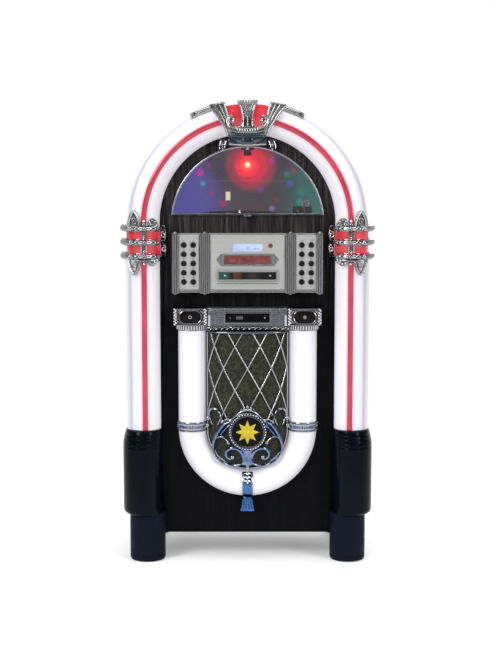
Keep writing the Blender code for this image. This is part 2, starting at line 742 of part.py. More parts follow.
def foot_solid(name, x, y, top_z):
    edge = FOOT_EDGE
    shoulder = edge * (1 - math.sqrt(0.5))
    profile = [(0, top_z), (FOOT_RADIUS, top_z), (FOOT_RADIUS, edge),
               (FOOT_RADIUS - shoulder, shoulder), (FOOT_RADIUS - edge, 0), (0, 0)]
    return turned(name, profile, None, (x, y, 0))


def rear_feet():
    """The two rear feet and the spigots that hold them in the base board."""
    y = BACK_Y - FOOT_RADIUS
    under = FLOOR_Z - SEAT_GAP
    tools = []
    for side, x in (("left", -FOOT_X), ("right", FOOT_X)):
        tools.append(foot_solid("foot_rear_" + side, x, y, under))
        tools.append(cylinder("foot_spigot_" + side, FOOT_SPIGOT_RADIUS, under - FOOT_EDGE,
                              FLOOR_Z + BOARD / 2, None, "Z", (x, y)))
    return tools


def front_foot(side, x):
    """A front foot goes up into its boot in front of the panel, and stays under the cabinet behind it."""
    y = SEAT_Y - BOOT_DEPTH + FRONT_FOOT_SETBACK + FOOT_RADIUS
    foot = foot_solid("foot_front_" + side, x, y, BOOT_BOTTOM_Z + FOOT_BITE)
    reach = FOOT_RADIUS + CUT_OVERRUN
    cut(foot, box("foot_notch_" + side, (x - reach, SEAT_Y - RUNNING_GAP, FLOOR_Z - SEAT_GAP),
                  (x + reach, y + reach, BOOT_BOTTOM_Z + 2 * FOOT_BITE)))
    return foot


def boot_section(grow):
    """Plan of a boot on the right side, drawn in by the given amount at its front and outer side."""
    outer_x = TUBE_OUTER_RADIUS + BOOT_OVERHANG
    inner_x = outer_x - BOOT_WIDTH
    hook_x = CABINET_HALF_WIDTH + SEAT_GAP
    return column_section(inner_x, outer_x + grow, BOOT_DEPTH + grow, TUBE_LIP, hook_x)


def boot_levels():
    """Height and draw-in of each section, bottom to top: rounded foot, straight shank, grooved neck."""
    levels = []
    steps = 2
    for i in range(steps + 1):
        angle = math.pi / 2 * i / steps
        levels.append((BOOT_BOTTOM_Z + BOOT_FOOT_ROUND * (1 - math.cos(angle)),
                       -BOOT_FOOT_ROUND * (1 - math.sin(angle))))
    neck_z = BOOT_TOP_Z - BOOT_NECK_HEIGHT
    levels.append((neck_z, 0.0))
    for i in range(BOOT_GROOVES):
        middle = neck_z + BOOT_GROOVE_PITCH * (i + 0.5)
        for step, depth in ((-1, 0), (0, BOOT_GROOVE_DEPTH), (1, 0)):
            z = middle + step * BOOT_GROOVE_DEPTH
            levels.append((z, -BOOT_TAPER * ((z - neck_z) / BOOT_NECK_HEIGHT) ** 2 - depth))
    levels.append((BOOT_TOP_Z - BOOT_GROOVE_DEPTH, -BOOT_TAPER))
    levels.append((BOOT_TOP_Z, -BOOT_TAPER - BOOT_GROOVE_DEPTH))
    return levels


def loft(name, sections, material=None):
    """Joins closed sections of equal point counts, bottom to top, and caps both ends."""
    mesh = bpy.data.meshes.new(name)
    work = bmesh.new()
    rings = [[work.verts.new(point) for point in section] for section in sections]
    count = len(rings[0])
    for lower, upper in zip(rings, rings[1:]):
        for i in range(count):
            j = (i + 1) % count
            work.faces.new((lower[i], lower[j], upper[j], upper[i]))
    work.faces.new(rings[0][::-1])
    work.faces.new(rings[-1])
    bmesh.ops.recalc_face_normals(work, faces=work.faces)
    work.to_mesh(mesh)
    work.free()
    return place(name, mesh, material)


def build_boots(black):
    for side, sign in (("left", -1), ("right", 1)):
        sections = [[(sign * x, y, z) for x, y in boot_section(grow)] for z, grow in boot_levels()]
        fuse(loft("boot_" + side, sections, black), front_foot(side, sign * FOOT_X))


# Lit tube, stripe and clasps

def bent_bar(name, section, bottom_z, angle, material, sign=1):
    """A section carried up a column and round part of the arch."""
    mesh = bpy.data.meshes.new(name)
    work = bmesh.new()
    ring = [work.verts.new((x, y, bottom_z)) for x, y in section]
    face = work.faces.new(ring)
    risen = bmesh.ops.extrude_face_region(work, geom=[face])
    top = [part for part in risen["geom"] if isinstance(part, bmesh.types.BMFace)]
    moved = [part for part in risen["geom"] if isinstance(part, bmesh.types.BMVert)]
    bmesh.ops.translate(work, vec=(0, 0, ARCH_Z - bottom_z), verts=moved)
    geometry = top + [edge for edge in top[0].edges] + [vert for vert in top[0].verts]
    bmesh.ops.spin(work, geom=geometry, cent=(0, 0, ARCH_Z), axis=(0, -1, 0),
                   angle=angle, steps=ARCH_STEPS // 2)
    if sign < 0:
        bmesh.ops.scale(work, vec=(-1, 1, 1), verts=work.verts)
    bmesh.ops.recalc_face_normals(work, faces=work.faces)
    work.to_mesh(mesh)
    work.free()
    return place(name, mesh, material)


def build_tubes(white):
    """Each half of the lit arch, with the stripe as a rib along its front."""
    hook_x = CABINET_HALF_WIDTH + SEAT_GAP
    plain = column_section(TUBE_INNER_RADIUS, TUBE_OUTER_RADIUS, TUBE_DEPTH, TUBE_LIP, hook_x)
    section = raise_rib(plain, STRIPE_RADIUS - STRIPE_WIDTH / 2, STRIPE_RADIUS + STRIPE_WIDTH / 2,
                        STRIPE_HEIGHT)
    quarter = math.pi / 2 - SEAT_GAP / TUBE_INNER_RADIUS
    for side, sign in (("left", -1), ("right", 1)):
        bent_bar("light_tube_" + side, section, BOOT_TOP_Z + SEAT_GAP, quarter, white, sign)


def wrap_path(side, front):
    """Plan of a line round a column, this far off its sides and its front, back to the lip's edge."""
    outer_x = TUBE_OUTER_RADIUS + side
    return wrap(TUBE_INNER_RADIUS - side, outer_x, TUBE_DEPTH + front) + [(outer_x, PANEL_FACE_Y + TUBE_LIP)]


def leaf_outline(centre_x, base_z, half_width, height):
    """A pointed leaf standing up from a base line, or hanging when the height is negative."""
    shoulder_shares = ((1.0, 0.0), (0.97, 0.30), (0.78, 0.62), (0.45, 0.87), (0.0, 1.0))
    right = [(centre_x + half_width * sx, base_z + height * sz) for sx, sz in shoulder_shares]
    left = [(centre_x - half_width * sx, base_z + height * sz) for sx, sz in shoulder_shares[-2::-1]]
    return right + left


def clasp_heights():
    return [CLASP_CENTRE_Z + (i - (BAND_COUNT - 1) / 2) * BAND_PITCH for i in range(BAND_COUNT)]


def build_clasps(chrome, red):
    """Three round bands, a divider and four leaves on each column, and a red lens wall behind them."""
    heights = clasp_heights()
    leaf_back = TUBE_FRONT_Y - LENS_FRONT
    leaf_front = leaf_back - LEAF_THICKNESS
    divider_back = TUBE_FRONT_Y - BAND_FRONT + BAND_RADIUS / 2
    wall = wrap_path(LENS_SIDE + LENS_THICKNESS, LENS_FRONT + LENS_THICKNESS)
    wall += wrap_path(LENS_SIDE, LENS_FRONT)[::-1]
    for side, sign in (("left", -1), ("right", 1)):
        path = [(sign * x, y) for x, y in wrap_path(BAND_SIDE, BAND_FRONT)]
        bands = [wires("clasp_band_" + side + str(i), [[(x, y, z) for x, y in path]], BAND_RADIUS)
                 for i, z in enumerate(heights)]
        clasp = bands[0]
        clasp.name = "clasp_" + side
        clasp.data.materials.append(chrome)
        divider_x = sign * STRIPE_RADIUS
        divider = box("clasp_divider_" + side,
                      (divider_x - DIVIDER_WIDTH / 2, divider_back - DIVIDER_DEPTH, heights[0]),
                      (divider_x + DIVIDER_WIDTH / 2, divider_back, heights[-1]))
        leaves = []
        outer_x = sign * (TUBE_MID_RADIUS + LEAF_OFFSET)
        inner_x = sign * (TUBE_MID_RADIUS - FAN_OFFSET)
        for label, x, z, half_width, height in (
                ("top_leaf", outer_x, heights[-1], LEAF_HALF_WIDTH, TOP_LEAF_HEIGHT),
                ("bottom_leaf", outer_x, heights[0], LEAF_HALF_WIDTH, -BOTTOM_LEAF_HEIGHT),
                ("top_fan", inner_x, heights[-1], FAN_HALF_WIDTH, FAN_HEIGHT),
                ("bottom_fan", inner_x, heights[0], FAN_HALF_WIDTH, -FAN_HEIGHT)):
            outline = leaf_outline(x, z, half_width, height)
            leaves.append(prism(label + "_" + side, [outline], "XZ", leaf_front, leaf_back))
        fuse(clasp, divider, *bands[1:], *leaves)
        prism("clasp_lens_" + side, [[(sign * x, y) for x, y in wall]], "XY", heights[0] + SEAT_GAP,
              heights[-1] - SEAT_GAP, red)


# Crown

def crown_point(x_share, z_share):
    height = CROWN_TOP_Z - CROWN_BOTTOM_Z
    return (CROWN_HALF_WIDTH * x_share, CROWN_BOTTOM_Z + height * z_share)


CROWN_EDGE_SHARES = ((0.47, 0.0), (0.47, 0.22), (0.55, 0.36), (0.72, 0.60), (0.88, 0.77), (1.0, 0.86),
                     (0.97, 0.935), (0.80, 0.925), (0.62, 0.90), (0.50, 0.91), (0.30, 0.93), (0.25, 1.0))
CROWN_WINDOW_SHARES = ((0.21, 0.44), (0.40, 0.44), (0.52, 0.58), (0.555, 0.82), (0.24, 0.85), (0.17, 0.62))
CROWN_COLUMN_SHARES = ((0.10, 0.40), (0.14, 0.66), (0.17, 0.85), (0.27, 0.96), (0.24, 0.99))
CROWN_LENS_SHARES = ((0.44, 0.41), (0.56, 0.56), (0.60, 0.84), (0.44, 0.885))


def symmetric(shares):
    right = [crown_point(*pair) for pair in shares]
    return right + mirror_points([point for point in right if point[0] > 0])


def arch_band(name, inner, outer, angle, low_y, high_y, material=None):
    """A strip that lies on the arch, to the same angle on both sides of the top."""
    top = math.pi / 2
    loop = arc(0, ARCH_Z, outer, outer, top - angle, top + angle, 12)
    loop += arc(0, ARCH_Z, inner, inner, top + angle, top - angle, 12)
    return prism(name, [loop], "XZ", low_y, high_y, material)


def build_crown(chrome, red):
    outline = symmetric(CROWN_EDGE_SHARES)
    windows = [[crown_point(*pair) for pair in CROWN_WINDOW_SHARES]]
    windows.append(mirror_points(windows[0]))
    crown = prism("crown", [outline] + windows, "XZ", CROWN_FACE_Y, CROWN_BACK_Y, chrome)

    seat = TUBE_OUTER_RADIUS + SEAT_GAP
    saddle = arch_band("crown_saddle", seat, seat + CROWN_SADDLE_THICKNESS, CROWN_SADDLE_ANGLE,
                       CROWN_FACE_Y + CROWN_THICKNESS / 4, PANEL_FACE_Y + TUBE_LIP)
    column = prism("crown_column", [symmetric(CROWN_COLUMN_SHARES)], "XZ",
                   CROWN_FACE_Y - CROWN_FLUTE_RADIUS, CROWN_FACE_Y + CUT_OVERRUN)
    arm_y = CROWN_FACE_Y + CROWN_ARM_SETBACK
    arm_radius = seat + CROWN_ARM_RADIUS
    arms = []
    for side, sign in (("left", 1), ("right", -1)):
        start = math.pi / 2 + sign * (CROWN_SADDLE_ANGLE - CROWN_ARM_OVERLAP)
        end = math.pi / 2 + sign * CROWN_ARM_ANGLE
        path = [(x, arm_y, z) for x, z in arc(0, ARCH_Z, arm_radius, arm_radius, start, end, 6)]
        arms.append(wires("crown_arm_" + side, [path], CROWN_ARM_RADIUS, None, 2))
    fuse(crown, saddle, column, *arms)

    prism("crown_lens", [symmetric(CROWN_LENS_SHARES)], "XZ", CROWN_LENS_BACK_Y - CROWN_LENS_THICKNESS,
          CROWN_LENS_BACK_Y, red)


# Window and its hinges

def knuckle(name, x, width, material=None, bore=True):
    """A round barrel about the hinge line, bored for the pin when it moves."""
    barrel = cylinder(name, KNUCKLE_RADIUS, x - width / 2, x + width / 2, material, "X",
                      (HINGE_Y, HINGE_Z), 12)
    if bore:
        reach = width / 2 + CUT_OVERRUN
        cut(barrel, cylinder(name + "_bore", HINGE_PIN_RADIUS + RUNNING_GAP, x - reach, x + reach, None, "X",
                             (HINGE_Y, HINGE_Z), 12))
    return barrel


def build_window(chrome, glass):
    """A chrome segment frame with its pane, its pull, and a knuckle between each hinge's two ears."""
    frame_front = SEAT_Y - WINDOW_FRAME_THICKNESS
    frame = prism("window_frame", [window_outline(0), window_outline(WINDOW_TRIM)], "XZ", frame_front,
                  SEAT_Y, chrome)
    strap_half = KNUCKLE_WIDTH / 2 - RUNNING_GAP
    strap_rise = HINGE_STRAP_THICKNESS / 2
    strap_low = ARCH_Z + math.sqrt(WINDOW_RADIUS ** 2 - (HINGE_X - KNUCKLE_WIDTH / 2) ** 2) - WINDOW_TRIM
    strap_high = HINGE_Z - HINGE_PIN_RADIUS - RUNNING_GAP - strap_rise
    tools = []
    for side, sign in (("left", -1), ("right", 1)):
        x = sign * HINGE_X
        strap = box("window_strap_" + side, (x - strap_half, frame_front - strap_rise, strap_low),
                    (x + strap_half, frame_front + strap_rise, strap_high))
        tools += [knuckle("window_knuckle_" + side, x, 2 * strap_half), strap]
    pull_top = WINDOW_SILL_Z + WINDOW_TRIM
    pull = box("window_pull", (-PULL_WIDTH / 2, frame_front - PULL_DEPTH, pull_top - PULL_HEIGHT),
               (PULL_WIDTH / 2, frame_front + HINGE_STRAP_THICKNESS, pull_top), None, PULL_HEIGHT / 4)
    fuse(frame, pull, *tools)
    inset = WINDOW_TRIM + SEAT_GAP
    middle_y = (frame_front + SEAT_Y) / 2
    pane = prism("window_pane", [window_outline(inset)], "XZ", middle_y - PANE_THICKNESS / 2,
                 middle_y + PANE_THICKNESS / 2, glass)
    on_axis("window_hinge_line", (0, HINGE_Y, HINGE_Z), frame, pane)


def build_hinges(chrome):
    """One long pin through both hinges, with two ears and a small leaf on the panel for each."""
    reach = KNUCKLE_WIDTH * 3 / 2
    end = HINGE_X + reach + HINGE_PIN_RADIUS
    hinge = cylinder("window_hinge", HINGE_PIN_RADIUS, -end, end, chrome, "X", (HINGE_Y, HINGE_Z), 8)
    leaf_low = HINGE_Z + KNUCKLE_RADIUS + RUNNING_GAP
    tools = []
    for side, sign in (("left", -1), ("right", 1)):
        x = sign * HINGE_X
        for label, step in (("inner", -1), ("outer", 1)):
            ear_x = x + step * KNUCKLE_WIDTH
            half = KNUCKLE_WIDTH / 2
            tools.append(knuckle("hinge_ear_{}_{}".format(label, side), ear_x, KNUCKLE_WIDTH, None, False))
            tools.append(box("hinge_arm_{}_{}".format(label, side),
                             (ear_x - half + SEAT_GAP, HINGE_Y - KNUCKLE_RADIUS / 2, HINGE_Z),
                             (ear_x + half - SEAT_GAP, SEAT_Y, leaf_low + HINGE_STRAP_THICKNESS)))
        tools.append(box("hinge_leaf_" + side, (x - reach, SEAT_Y - HINGE_STRAP_THICKNESS, leaf_low),
                         (x + reach, SEAT_Y - SEAT_GAP, leaf_low + HINGE_LEAF_HEIGHT)))
    fuse(hinge, *tools)


# Turntable, tonearm and lamp

def build_turntable(black):
    low = (DECK_LEFT_X, SHELL_FRONT_Y + DECK_SETBACK, SHELF_TOP_Z + SEAT_GAP)
    high = (DECK_RIGHT_X, DECK_BACK_Y, DECK_TOP_Z)
    centres = ((high[0] - DECK_CORNER, high[1] - DECK_CORNER), (low[0] + DECK_CORNER, high[1] - DECK_CORNER),
               (low[0] + DECK_CORNER, low[1] + DECK_CORNER), (high[0] - DECK_CORNER, low[1] + DECK_CORNER))
    corners = [arc(x, y, DECK_CORNER, DECK_CORNER, math.pi / 2 * i, math.pi / 2 * (i + 1), 4)
               for i, (x, y) in enumerate(centres)]
    outline = [point for corner in corners for point in corner]
    deck = prism("turntable_deck", [outline], "XY", low[2], high[2], black)
    rest_y = TONEARM_Y - REST_POST_SETBACK
    post = cylinder("arm_rest_post", REST_POST_RADIUS, DECK_TOP_Z - CUT_OVERRUN,
                    TONEARM_AXIS_Z - ARM_RADIUS - SEAT_GAP, None, "Z", (TONEARM_X, rest_y), 12)
    fuse(deck, post)
    bore_top = DECK_TOP_Z + CUT_OVERRUN
    platter_bore = cylinder("platter_bore", PLATTER_SHAFT_RADIUS + RUNNING_GAP,
                            DECK_TOP_Z - PLATTER_SHAFT_LENGTH - RUNNING_GAP, bore_top, None, "Z",
                            (PLATTER_X, PLATTER_Y))
    arm_bore = cylinder("tonearm_bore", PIVOT_SHAFT_RADIUS + RUNNING_GAP,
                        DECK_TOP_Z - PIVOT_SHAFT_LENGTH - RUNNING_GAP, bore_top, None, "Z",
                        (TONEARM_X, TONEARM_Y))
    cut(deck, platter_bore, arm_bore)

    top = PLATTER_THICKNESS
    profile = [(0, top + SPINDLE_HEIGHT), (SPINDLE_RADIUS / 2, top + SPINDLE_HEIGHT),
               (SPINDLE_RADIUS, top + SPINDLE_HEIGHT - SPINDLE_RADIUS / 2),
               (SPINDLE_RADIUS, top - PLATTER_RECESS), (PLATTER_RADIUS - PLATTER_RIM, top - PLATTER_RECESS),
               (PLATTER_RADIUS - PLATTER_RIM + PLATTER_RECESS, top), (PLATTER_RADIUS - PLATTER_RECESS, top),
               (PLATTER_RADIUS, top - PLATTER_RECESS), (PLATTER_RADIUS, 0), (PLATTER_SHAFT_RADIUS, 0),
               (PLATTER_SHAFT_RADIUS, -PLATTER_SHAFT_LENGTH - PLATTER_CLEARANCE + RUNNING_GAP),
               (0, -PLATTER_SHAFT_LENGTH - PLATTER_CLEARANCE + RUNNING_GAP)]
    turned("platter", profile, black, (PLATTER_X, PLATTER_Y, PLATTER_BOTTOM_Z), steps=24)


def build_tonearm(steel):
    """A turning pivot with a slotted yoke, and the arm on an axle across the yoke."""
    x, y, z = TONEARM_X, TONEARM_Y, TONEARM_AXIS_Z
    profile = [(0, PIVOT_BASE_HEIGHT), (PIVOT_BASE_RADIUS - AXLE_RADIUS, PIVOT_BASE_HEIGHT),
               (PIVOT_BASE_RADIUS, PIVOT_BASE_HEIGHT - AXLE_RADIUS), (PIVOT_BASE_RADIUS, RUNNING_GAP),
               (PIVOT_SHAFT_RADIUS, RUNNING_GAP), (PIVOT_SHAFT_RADIUS, -PIVOT_SHAFT_LENGTH + RUNNING_GAP),
               (0, -PIVOT_SHAFT_LENGTH + RUNNING_GAP)]
    pivot = turned("tonearm_pivot", profile, steel, (x, y, DECK_TOP_Z))
    yoke = box("yoke_block", (x - YOKE_WIDTH / 2, y - YOKE_DEPTH / 2, DECK_TOP_Z + PIVOT_BASE_HEIGHT / 2),
               (x + YOKE_WIDTH / 2, y + YOKE_DEPTH / 2, z + YOKE_ABOVE_AXIS))
    fuse(pivot, yoke)
    slot = box("yoke_slot", (x - YOKE_SLOT / 2, y - YOKE_DEPTH, DECK_TOP_Z + PIVOT_BASE_HEIGHT),
               (x + YOKE_SLOT / 2, y + YOKE_DEPTH, z + YOKE_ABOVE_AXIS + CUT_OVERRUN))
    reach = YOKE_WIDTH / 2 + CUT_OVERRUN
    bore = cylinder("yoke_bore", AXLE_RADIUS + RUNNING_GAP, x - reach, x + reach, None, "X", (y, z), 12)
    cut(pivot, slot, bore)

    arm = cylinder("tonearm", ARM_RADIUS, y - ARM_REACH, y + ARM_TAIL, steel, "Y", (x, z), 12)
    weight_y = y + ARM_TAIL - COUNTERWEIGHT_LENGTH
    weight = cylinder("counterweight", COUNTERWEIGHT_RADIUS, weight_y, y + ARM_TAIL + RUNNING_GAP, None, "Y",
                      (x, z), 16)
    axle = cylinder("arm_axle", AXLE_RADIUS, x - YOKE_WIDTH / 2, x + YOKE_WIDTH / 2, None, "X", (y, z), 12)
    head_y = y - ARM_REACH
    head_low = z + ARM_RADIUS - HEADSHELL_HEIGHT
    head = box("headshell", (x - HEADSHELL_WIDTH / 2, head_y - HEADSHELL_LENGTH / 2, head_low),
               (x + HEADSHELL_WIDTH / 2, head_y + HEADSHELL_LENGTH / 2, z + ARM_RADIUS / 2))
    fuse(arm, weight, axle, head)
    on_axis("tonearm_lift_line", (x, y, z), arm)


def build_lamp(red, chrome):
    """A faceted ball that turns under a fixed socket on the cabinet's ceiling."""
    inside = arc(0, ARCH_Z, INNER_HALF_WIDTH, INNER_HALF_WIDTH, math.pi, 0, ARCH_STEPS)
    ceiling = level_at(inside, SOCKET_FLANGE_RADIUS) - SEAT_GAP
    profile = [(0, ceiling), (SOCKET_FLANGE_RADIUS, ceiling),
               (SOCKET_FLANGE_RADIUS, ceiling - SOCKET_FLANGE_THICKNESS),
               (SOCKET_RADIUS, ceiling - SOCKET_FLANGE_THICKNESS), (SOCKET_RADIUS, SOCKET_BOTTOM_Z),
               (0, SOCKET_BOTTOM_Z)]
    socket = turned("lamp_socket", profile, chrome, (0, LAMP_Y, 0))
    cut(socket, cylinder("lamp_bore", LAMP_SHAFT_RADIUS + RUNNING_GAP, SOCKET_BOTTOM_Z - CUT_OVERRUN,
                         SOCKET_BOTTOM_Z + LAMP_SHAFT_LENGTH + RUNNING_GAP, None, "Z", (0, LAMP_Y)))
    neck_angle = math.asin(LAMP_NECK_RADIUS / LAMP_RADIUS)
    round_side = [(LAMP_RADIUS * math.cos(a), LAMP_RADIUS * math.sin(a)) for a in
                  [math.pi / 2 - neck_angle - (math.pi - neck_angle) * i / 8 for i in range(8)]]
    shoulder = SOCKET_BOTTOM_Z - RUNNING_GAP - LAMP_Z
    shaft_top = shoulder + LAMP_SHAFT_LENGTH
    profile = [(0, shaft_top), (LAMP_SHAFT_RADIUS, shaft_top), (LAMP_SHAFT_RADIUS, shoulder),
               (LAMP_NECK_RADIUS, shoulder)] + round_side + [(0, -LAMP_RADIUS)]
    turned("lamp_ball", profile, red, (0, LAMP_Y, LAMP_Z))


# Control console

def button_places():
    """Each button's x and z, row by row, the left plate first."""
    found = []
    for sign in (-1, 1):
        for row in range(BUTTON_ROWS):
            for column in (-1, 1):
                x = sign * BUTTON_COLUMN_X + column * BUTTON_COLUMN_PITCH / 2
                found.append((x, BUTTON_TOP_Z - row * BUTTON_ROW_PITCH))
    return found


def drive_size():
    """Outer width, height and middle of the disc drive's case, from the tray that runs in it."""
    width = TRAY_WIDTH + 2 * RUNNING_GAP + 2 * DRIVE_WALL
    height = TRAY_THICKNESS + DRIVE_HEADROOM + RUNNING_GAP + 2 * DRIVE_WALL
    low = TRAY_BOTTOM_Z - RUNNING_GAP - DRIVE_WALL
    return {"width": width + 2 * SEAT_GAP, "height": height + 2 * SEAT_GAP, "middle_z": low + height / 2,
            "low_z": low, "high_z": low + height}


def build_console(grey):
    """A hollow plate with four pilasters and the badge's frame on it."""
    middle_z = (CONSOLE_BOTTOM_Z + CONSOLE_TOP_Z) / 2
    height = CONSOLE_TOP_Z - CONSOLE_BOTTOM_Z
    inner_x = CONSOLE_HALF_WIDTH - CONSOLE_WALL
    holes = [circle(x, z, BUTTON_RADIUS + RUNNING_GAP, 12) for x, z in button_places()]
    holes.append(rectangle(0, DISPLAY_Z, DISPLAY_WIDTH + 2 * SEAT_GAP, DISPLAY_HEIGHT + 2 * SEAT_GAP))
    holes.append(circle(SENSOR_X, SENSOR_Z, SENSOR_RADIUS + SEAT_GAP, 12))
    drive = drive_size()
    holes.append(rectangle(0, drive["middle_z"], drive["width"], drive["height"]))
    fascia = prism("control_fascia", [rectangle(0, middle_z, 2 * CONSOLE_HALF_WIDTH, height)] + holes, "XZ",
                   CONSOLE_FACE_Y, SEAT_Y, grey)
    cut(fascia, box("fascia_hollow",
                    (-inner_x, CONSOLE_FACE_Y + CONSOLE_PLATE, CONSOLE_BOTTOM_Z + CONSOLE_WALL),
                    (inner_x, SEAT_Y + CUT_OVERRUN, CONSOLE_TOP_Z - CONSOLE_WALL)))
    reach = BADGE_WIDTH / 2
    shoulder = reach - BADGE_POINT
    low, high = BADGE_Z - BADGE_HEIGHT / 2, BADGE_Z + BADGE_HEIGHT / 2
    badge = [(reach, BADGE_Z), (shoulder, high), (-shoulder, high), (-reach, BADGE_Z), (-shoulder, low),
             (shoulder, low)]
    fuse(fascia, *pilasters(), prism("badge_frame", [badge], "XZ", CONSOLE_FACE_Y - BADGE_PROUD,
                                     CONSOLE_FACE_Y + CONSOLE_PLATE / 2))


def build_display(black):
    """A board behind the plate that carries the display and the sensor's dome through their holes."""
    front_y = CONSOLE_FACE_Y + CONSOLE_PLATE + SEAT_GAP
    back_y = front_y + DISPLAY_BOARD_THICKNESS
    bite_y = (front_y + back_y) / 2
    margin = DISPLAY_BOARD_MARGIN
    low_z, high_z = DISPLAY_Z - DISPLAY_HEIGHT / 2, DISPLAY_Z + DISPLAY_HEIGHT / 2
    board = box("display_board", (-DISPLAY_WIDTH / 2 - margin, front_y, low_z - margin),
                (SENSOR_X + SENSOR_RADIUS + margin, back_y, high_z + margin), black)
    screen = box("display_screen", (-DISPLAY_WIDTH / 2, CONSOLE_FACE_Y + DISPLAY_RECESS, low_z),
                 (DISPLAY_WIDTH / 2, bite_y, high_z))
    dome = cylinder("sensor_dome", SENSOR_RADIUS, CONSOLE_FACE_Y - DISPLAY_RECESS, bite_y + SEAT_GAP, None,
                    "Y", (SENSOR_X, SENSOR_Z), 12)
    fuse(board, screen, dome)


def ribbed_section(centre_x, width, back_y, front_y, ribs):
    """Plan of a pilaster: a flat back, and half-round ribs side by side on its front."""
    rib = width / ribs / 2
    base_y = front_y + rib
    points = [(centre_x - width / 2, back_y)]
    for i in range(ribs):
        middle = centre_x - width / 2 + rib * (2 * i + 1)
        points += arc(middle, base_y, rib, rib, math.pi, 2 * math.pi, 4)[:-1]
    points += [(centre_x + width / 2, base_y), (centre_x + width / 2, back_y)]
    return points


def pilasters():
    """Two plain ones bite into the console's ends, two wide fluted ones into its face."""
    front_y = CONSOLE_FACE_Y - PILASTER_RISE
    low = CONSOLE_BOTTOM_Z - PILASTER_TIP
    high = CONSOLE_TOP_Z + PILASTER_TIP
    width = PILASTER_OUTER_WIDTH + PILASTER_BITE
    middle_x = CONSOLE_HALF_WIDTH - PILASTER_BITE + width / 2
    tools = []
    for side, sign in (("left", -1), ("right", 1)):
        outer = ribbed_section(sign * middle_x, width, SEAT_Y - RUNNING_GAP, front_y, PILASTER_OUTER_RIBS)
        inner = ribbed_section(sign * PILASTER_INNER_X, PILASTER_INNER_WIDTH, CONSOLE_FACE_Y + PILASTER_BITE,
                               front_y, PILASTER_RIBS)
        for label, section in (("outer_", outer), ("inner_", inner)):
            tools.append(loft("pilaster_" + label + side,
                              [[(x, y, z) for x, y in section] for z in (low, high)]))
    return tools


def build_buttons(black):
    """Each cap is held behind the plate by its own flange, one travel away from the switch."""
    cap_front = BUTTON_TRAVEL + BUTTON_PRESSED_PROUD
    flange_front = -CONSOLE_PLATE - SEAT_GAP
    flange_back = flange_front - BUTTON_FLANGE_THICKNESS
    profile = [(0, cap_front), (BUTTON_RADIUS - BUTTON_DOME, cap_front),
               (BUTTON_RADIUS, cap_front - BUTTON_DOME), (BUTTON_RADIUS, flange_front),
               (BUTTON_RADIUS + BUTTON_FLANGE, flange_front), (BUTTON_RADIUS + BUTTON_FLANGE, flange_back),
               (0, flange_back)]
    for index, (x, z) in enumerate(button_places()):
        turned("song_button_{:02d}".format(index + 1), profile, black, (x, CONSOLE_FACE_Y, z),
               math.pi / 2, 8)


def build_drive(steel, black):
    """The drive's case opens to the front, and the tray runs on its floor."""
    drive = drive_size()
    half = TRAY_WIDTH / 2 + RUNNING_GAP + DRIVE_WALL
    front_y = CONSOLE_FACE_Y + SEAT_GAP
    case = box("disc_drive", (-half, front_y, drive["low_z"]),
               (half, front_y + DRIVE_LENGTH, drive["high_z"]), steel)
    bay_half = TRAY_WIDTH / 2 + RUNNING_GAP
    bay = box("drive_bay", (-bay_half, front_y - CUT_OVERRUN, TRAY_BOTTOM_Z - RUNNING_GAP),
              (bay_half, front_y + DRIVE_LENGTH - DRIVE_WALL, drive["high_z"] - DRIVE_WALL))
    cut(case, bay)

    face_back = CONSOLE_FACE_Y - SEAT_GAP
    length = DRIVE_LENGTH - DRIVE_WALL - RUNNING_GAP
    tray = box("disc_tray", (-TRAY_WIDTH / 2, face_back - SEAT_GAP, TRAY_BOTTOM_Z),
               (TRAY_WIDTH / 2, face_back + length, TRAY_BOTTOM_Z + TRAY_THICKNESS), black)
    door = box("tray_door", (-TRAY_FRONT_WIDTH / 2, face_back - TRAY_FRONT_THICKNESS,
                             TRAY_FRONT_Z - TRAY_FRONT_HEIGHT / 2),
               (TRAY_FRONT_WIDTH / 2, face_back, TRAY_FRONT_Z + TRAY_FRONT_HEIGHT / 2), None)
    disc_y = face_back + TRAY_DISC_MARGIN + TRAY_DISC_RADIUS
    recess = cylinder("disc_recess", TRAY_DISC_RADIUS, TRAY_BOTTOM_Z + TRAY_THICKNESS - TRAY_DISC_DEPTH,
                      TRAY_BOTTOM_Z + TRAY_THICKNESS + CUT_OVERRUN, None, "Z", (0, disc_y), 32)
    fuse(tray, door)
    cut(tray, recess)


# Port console

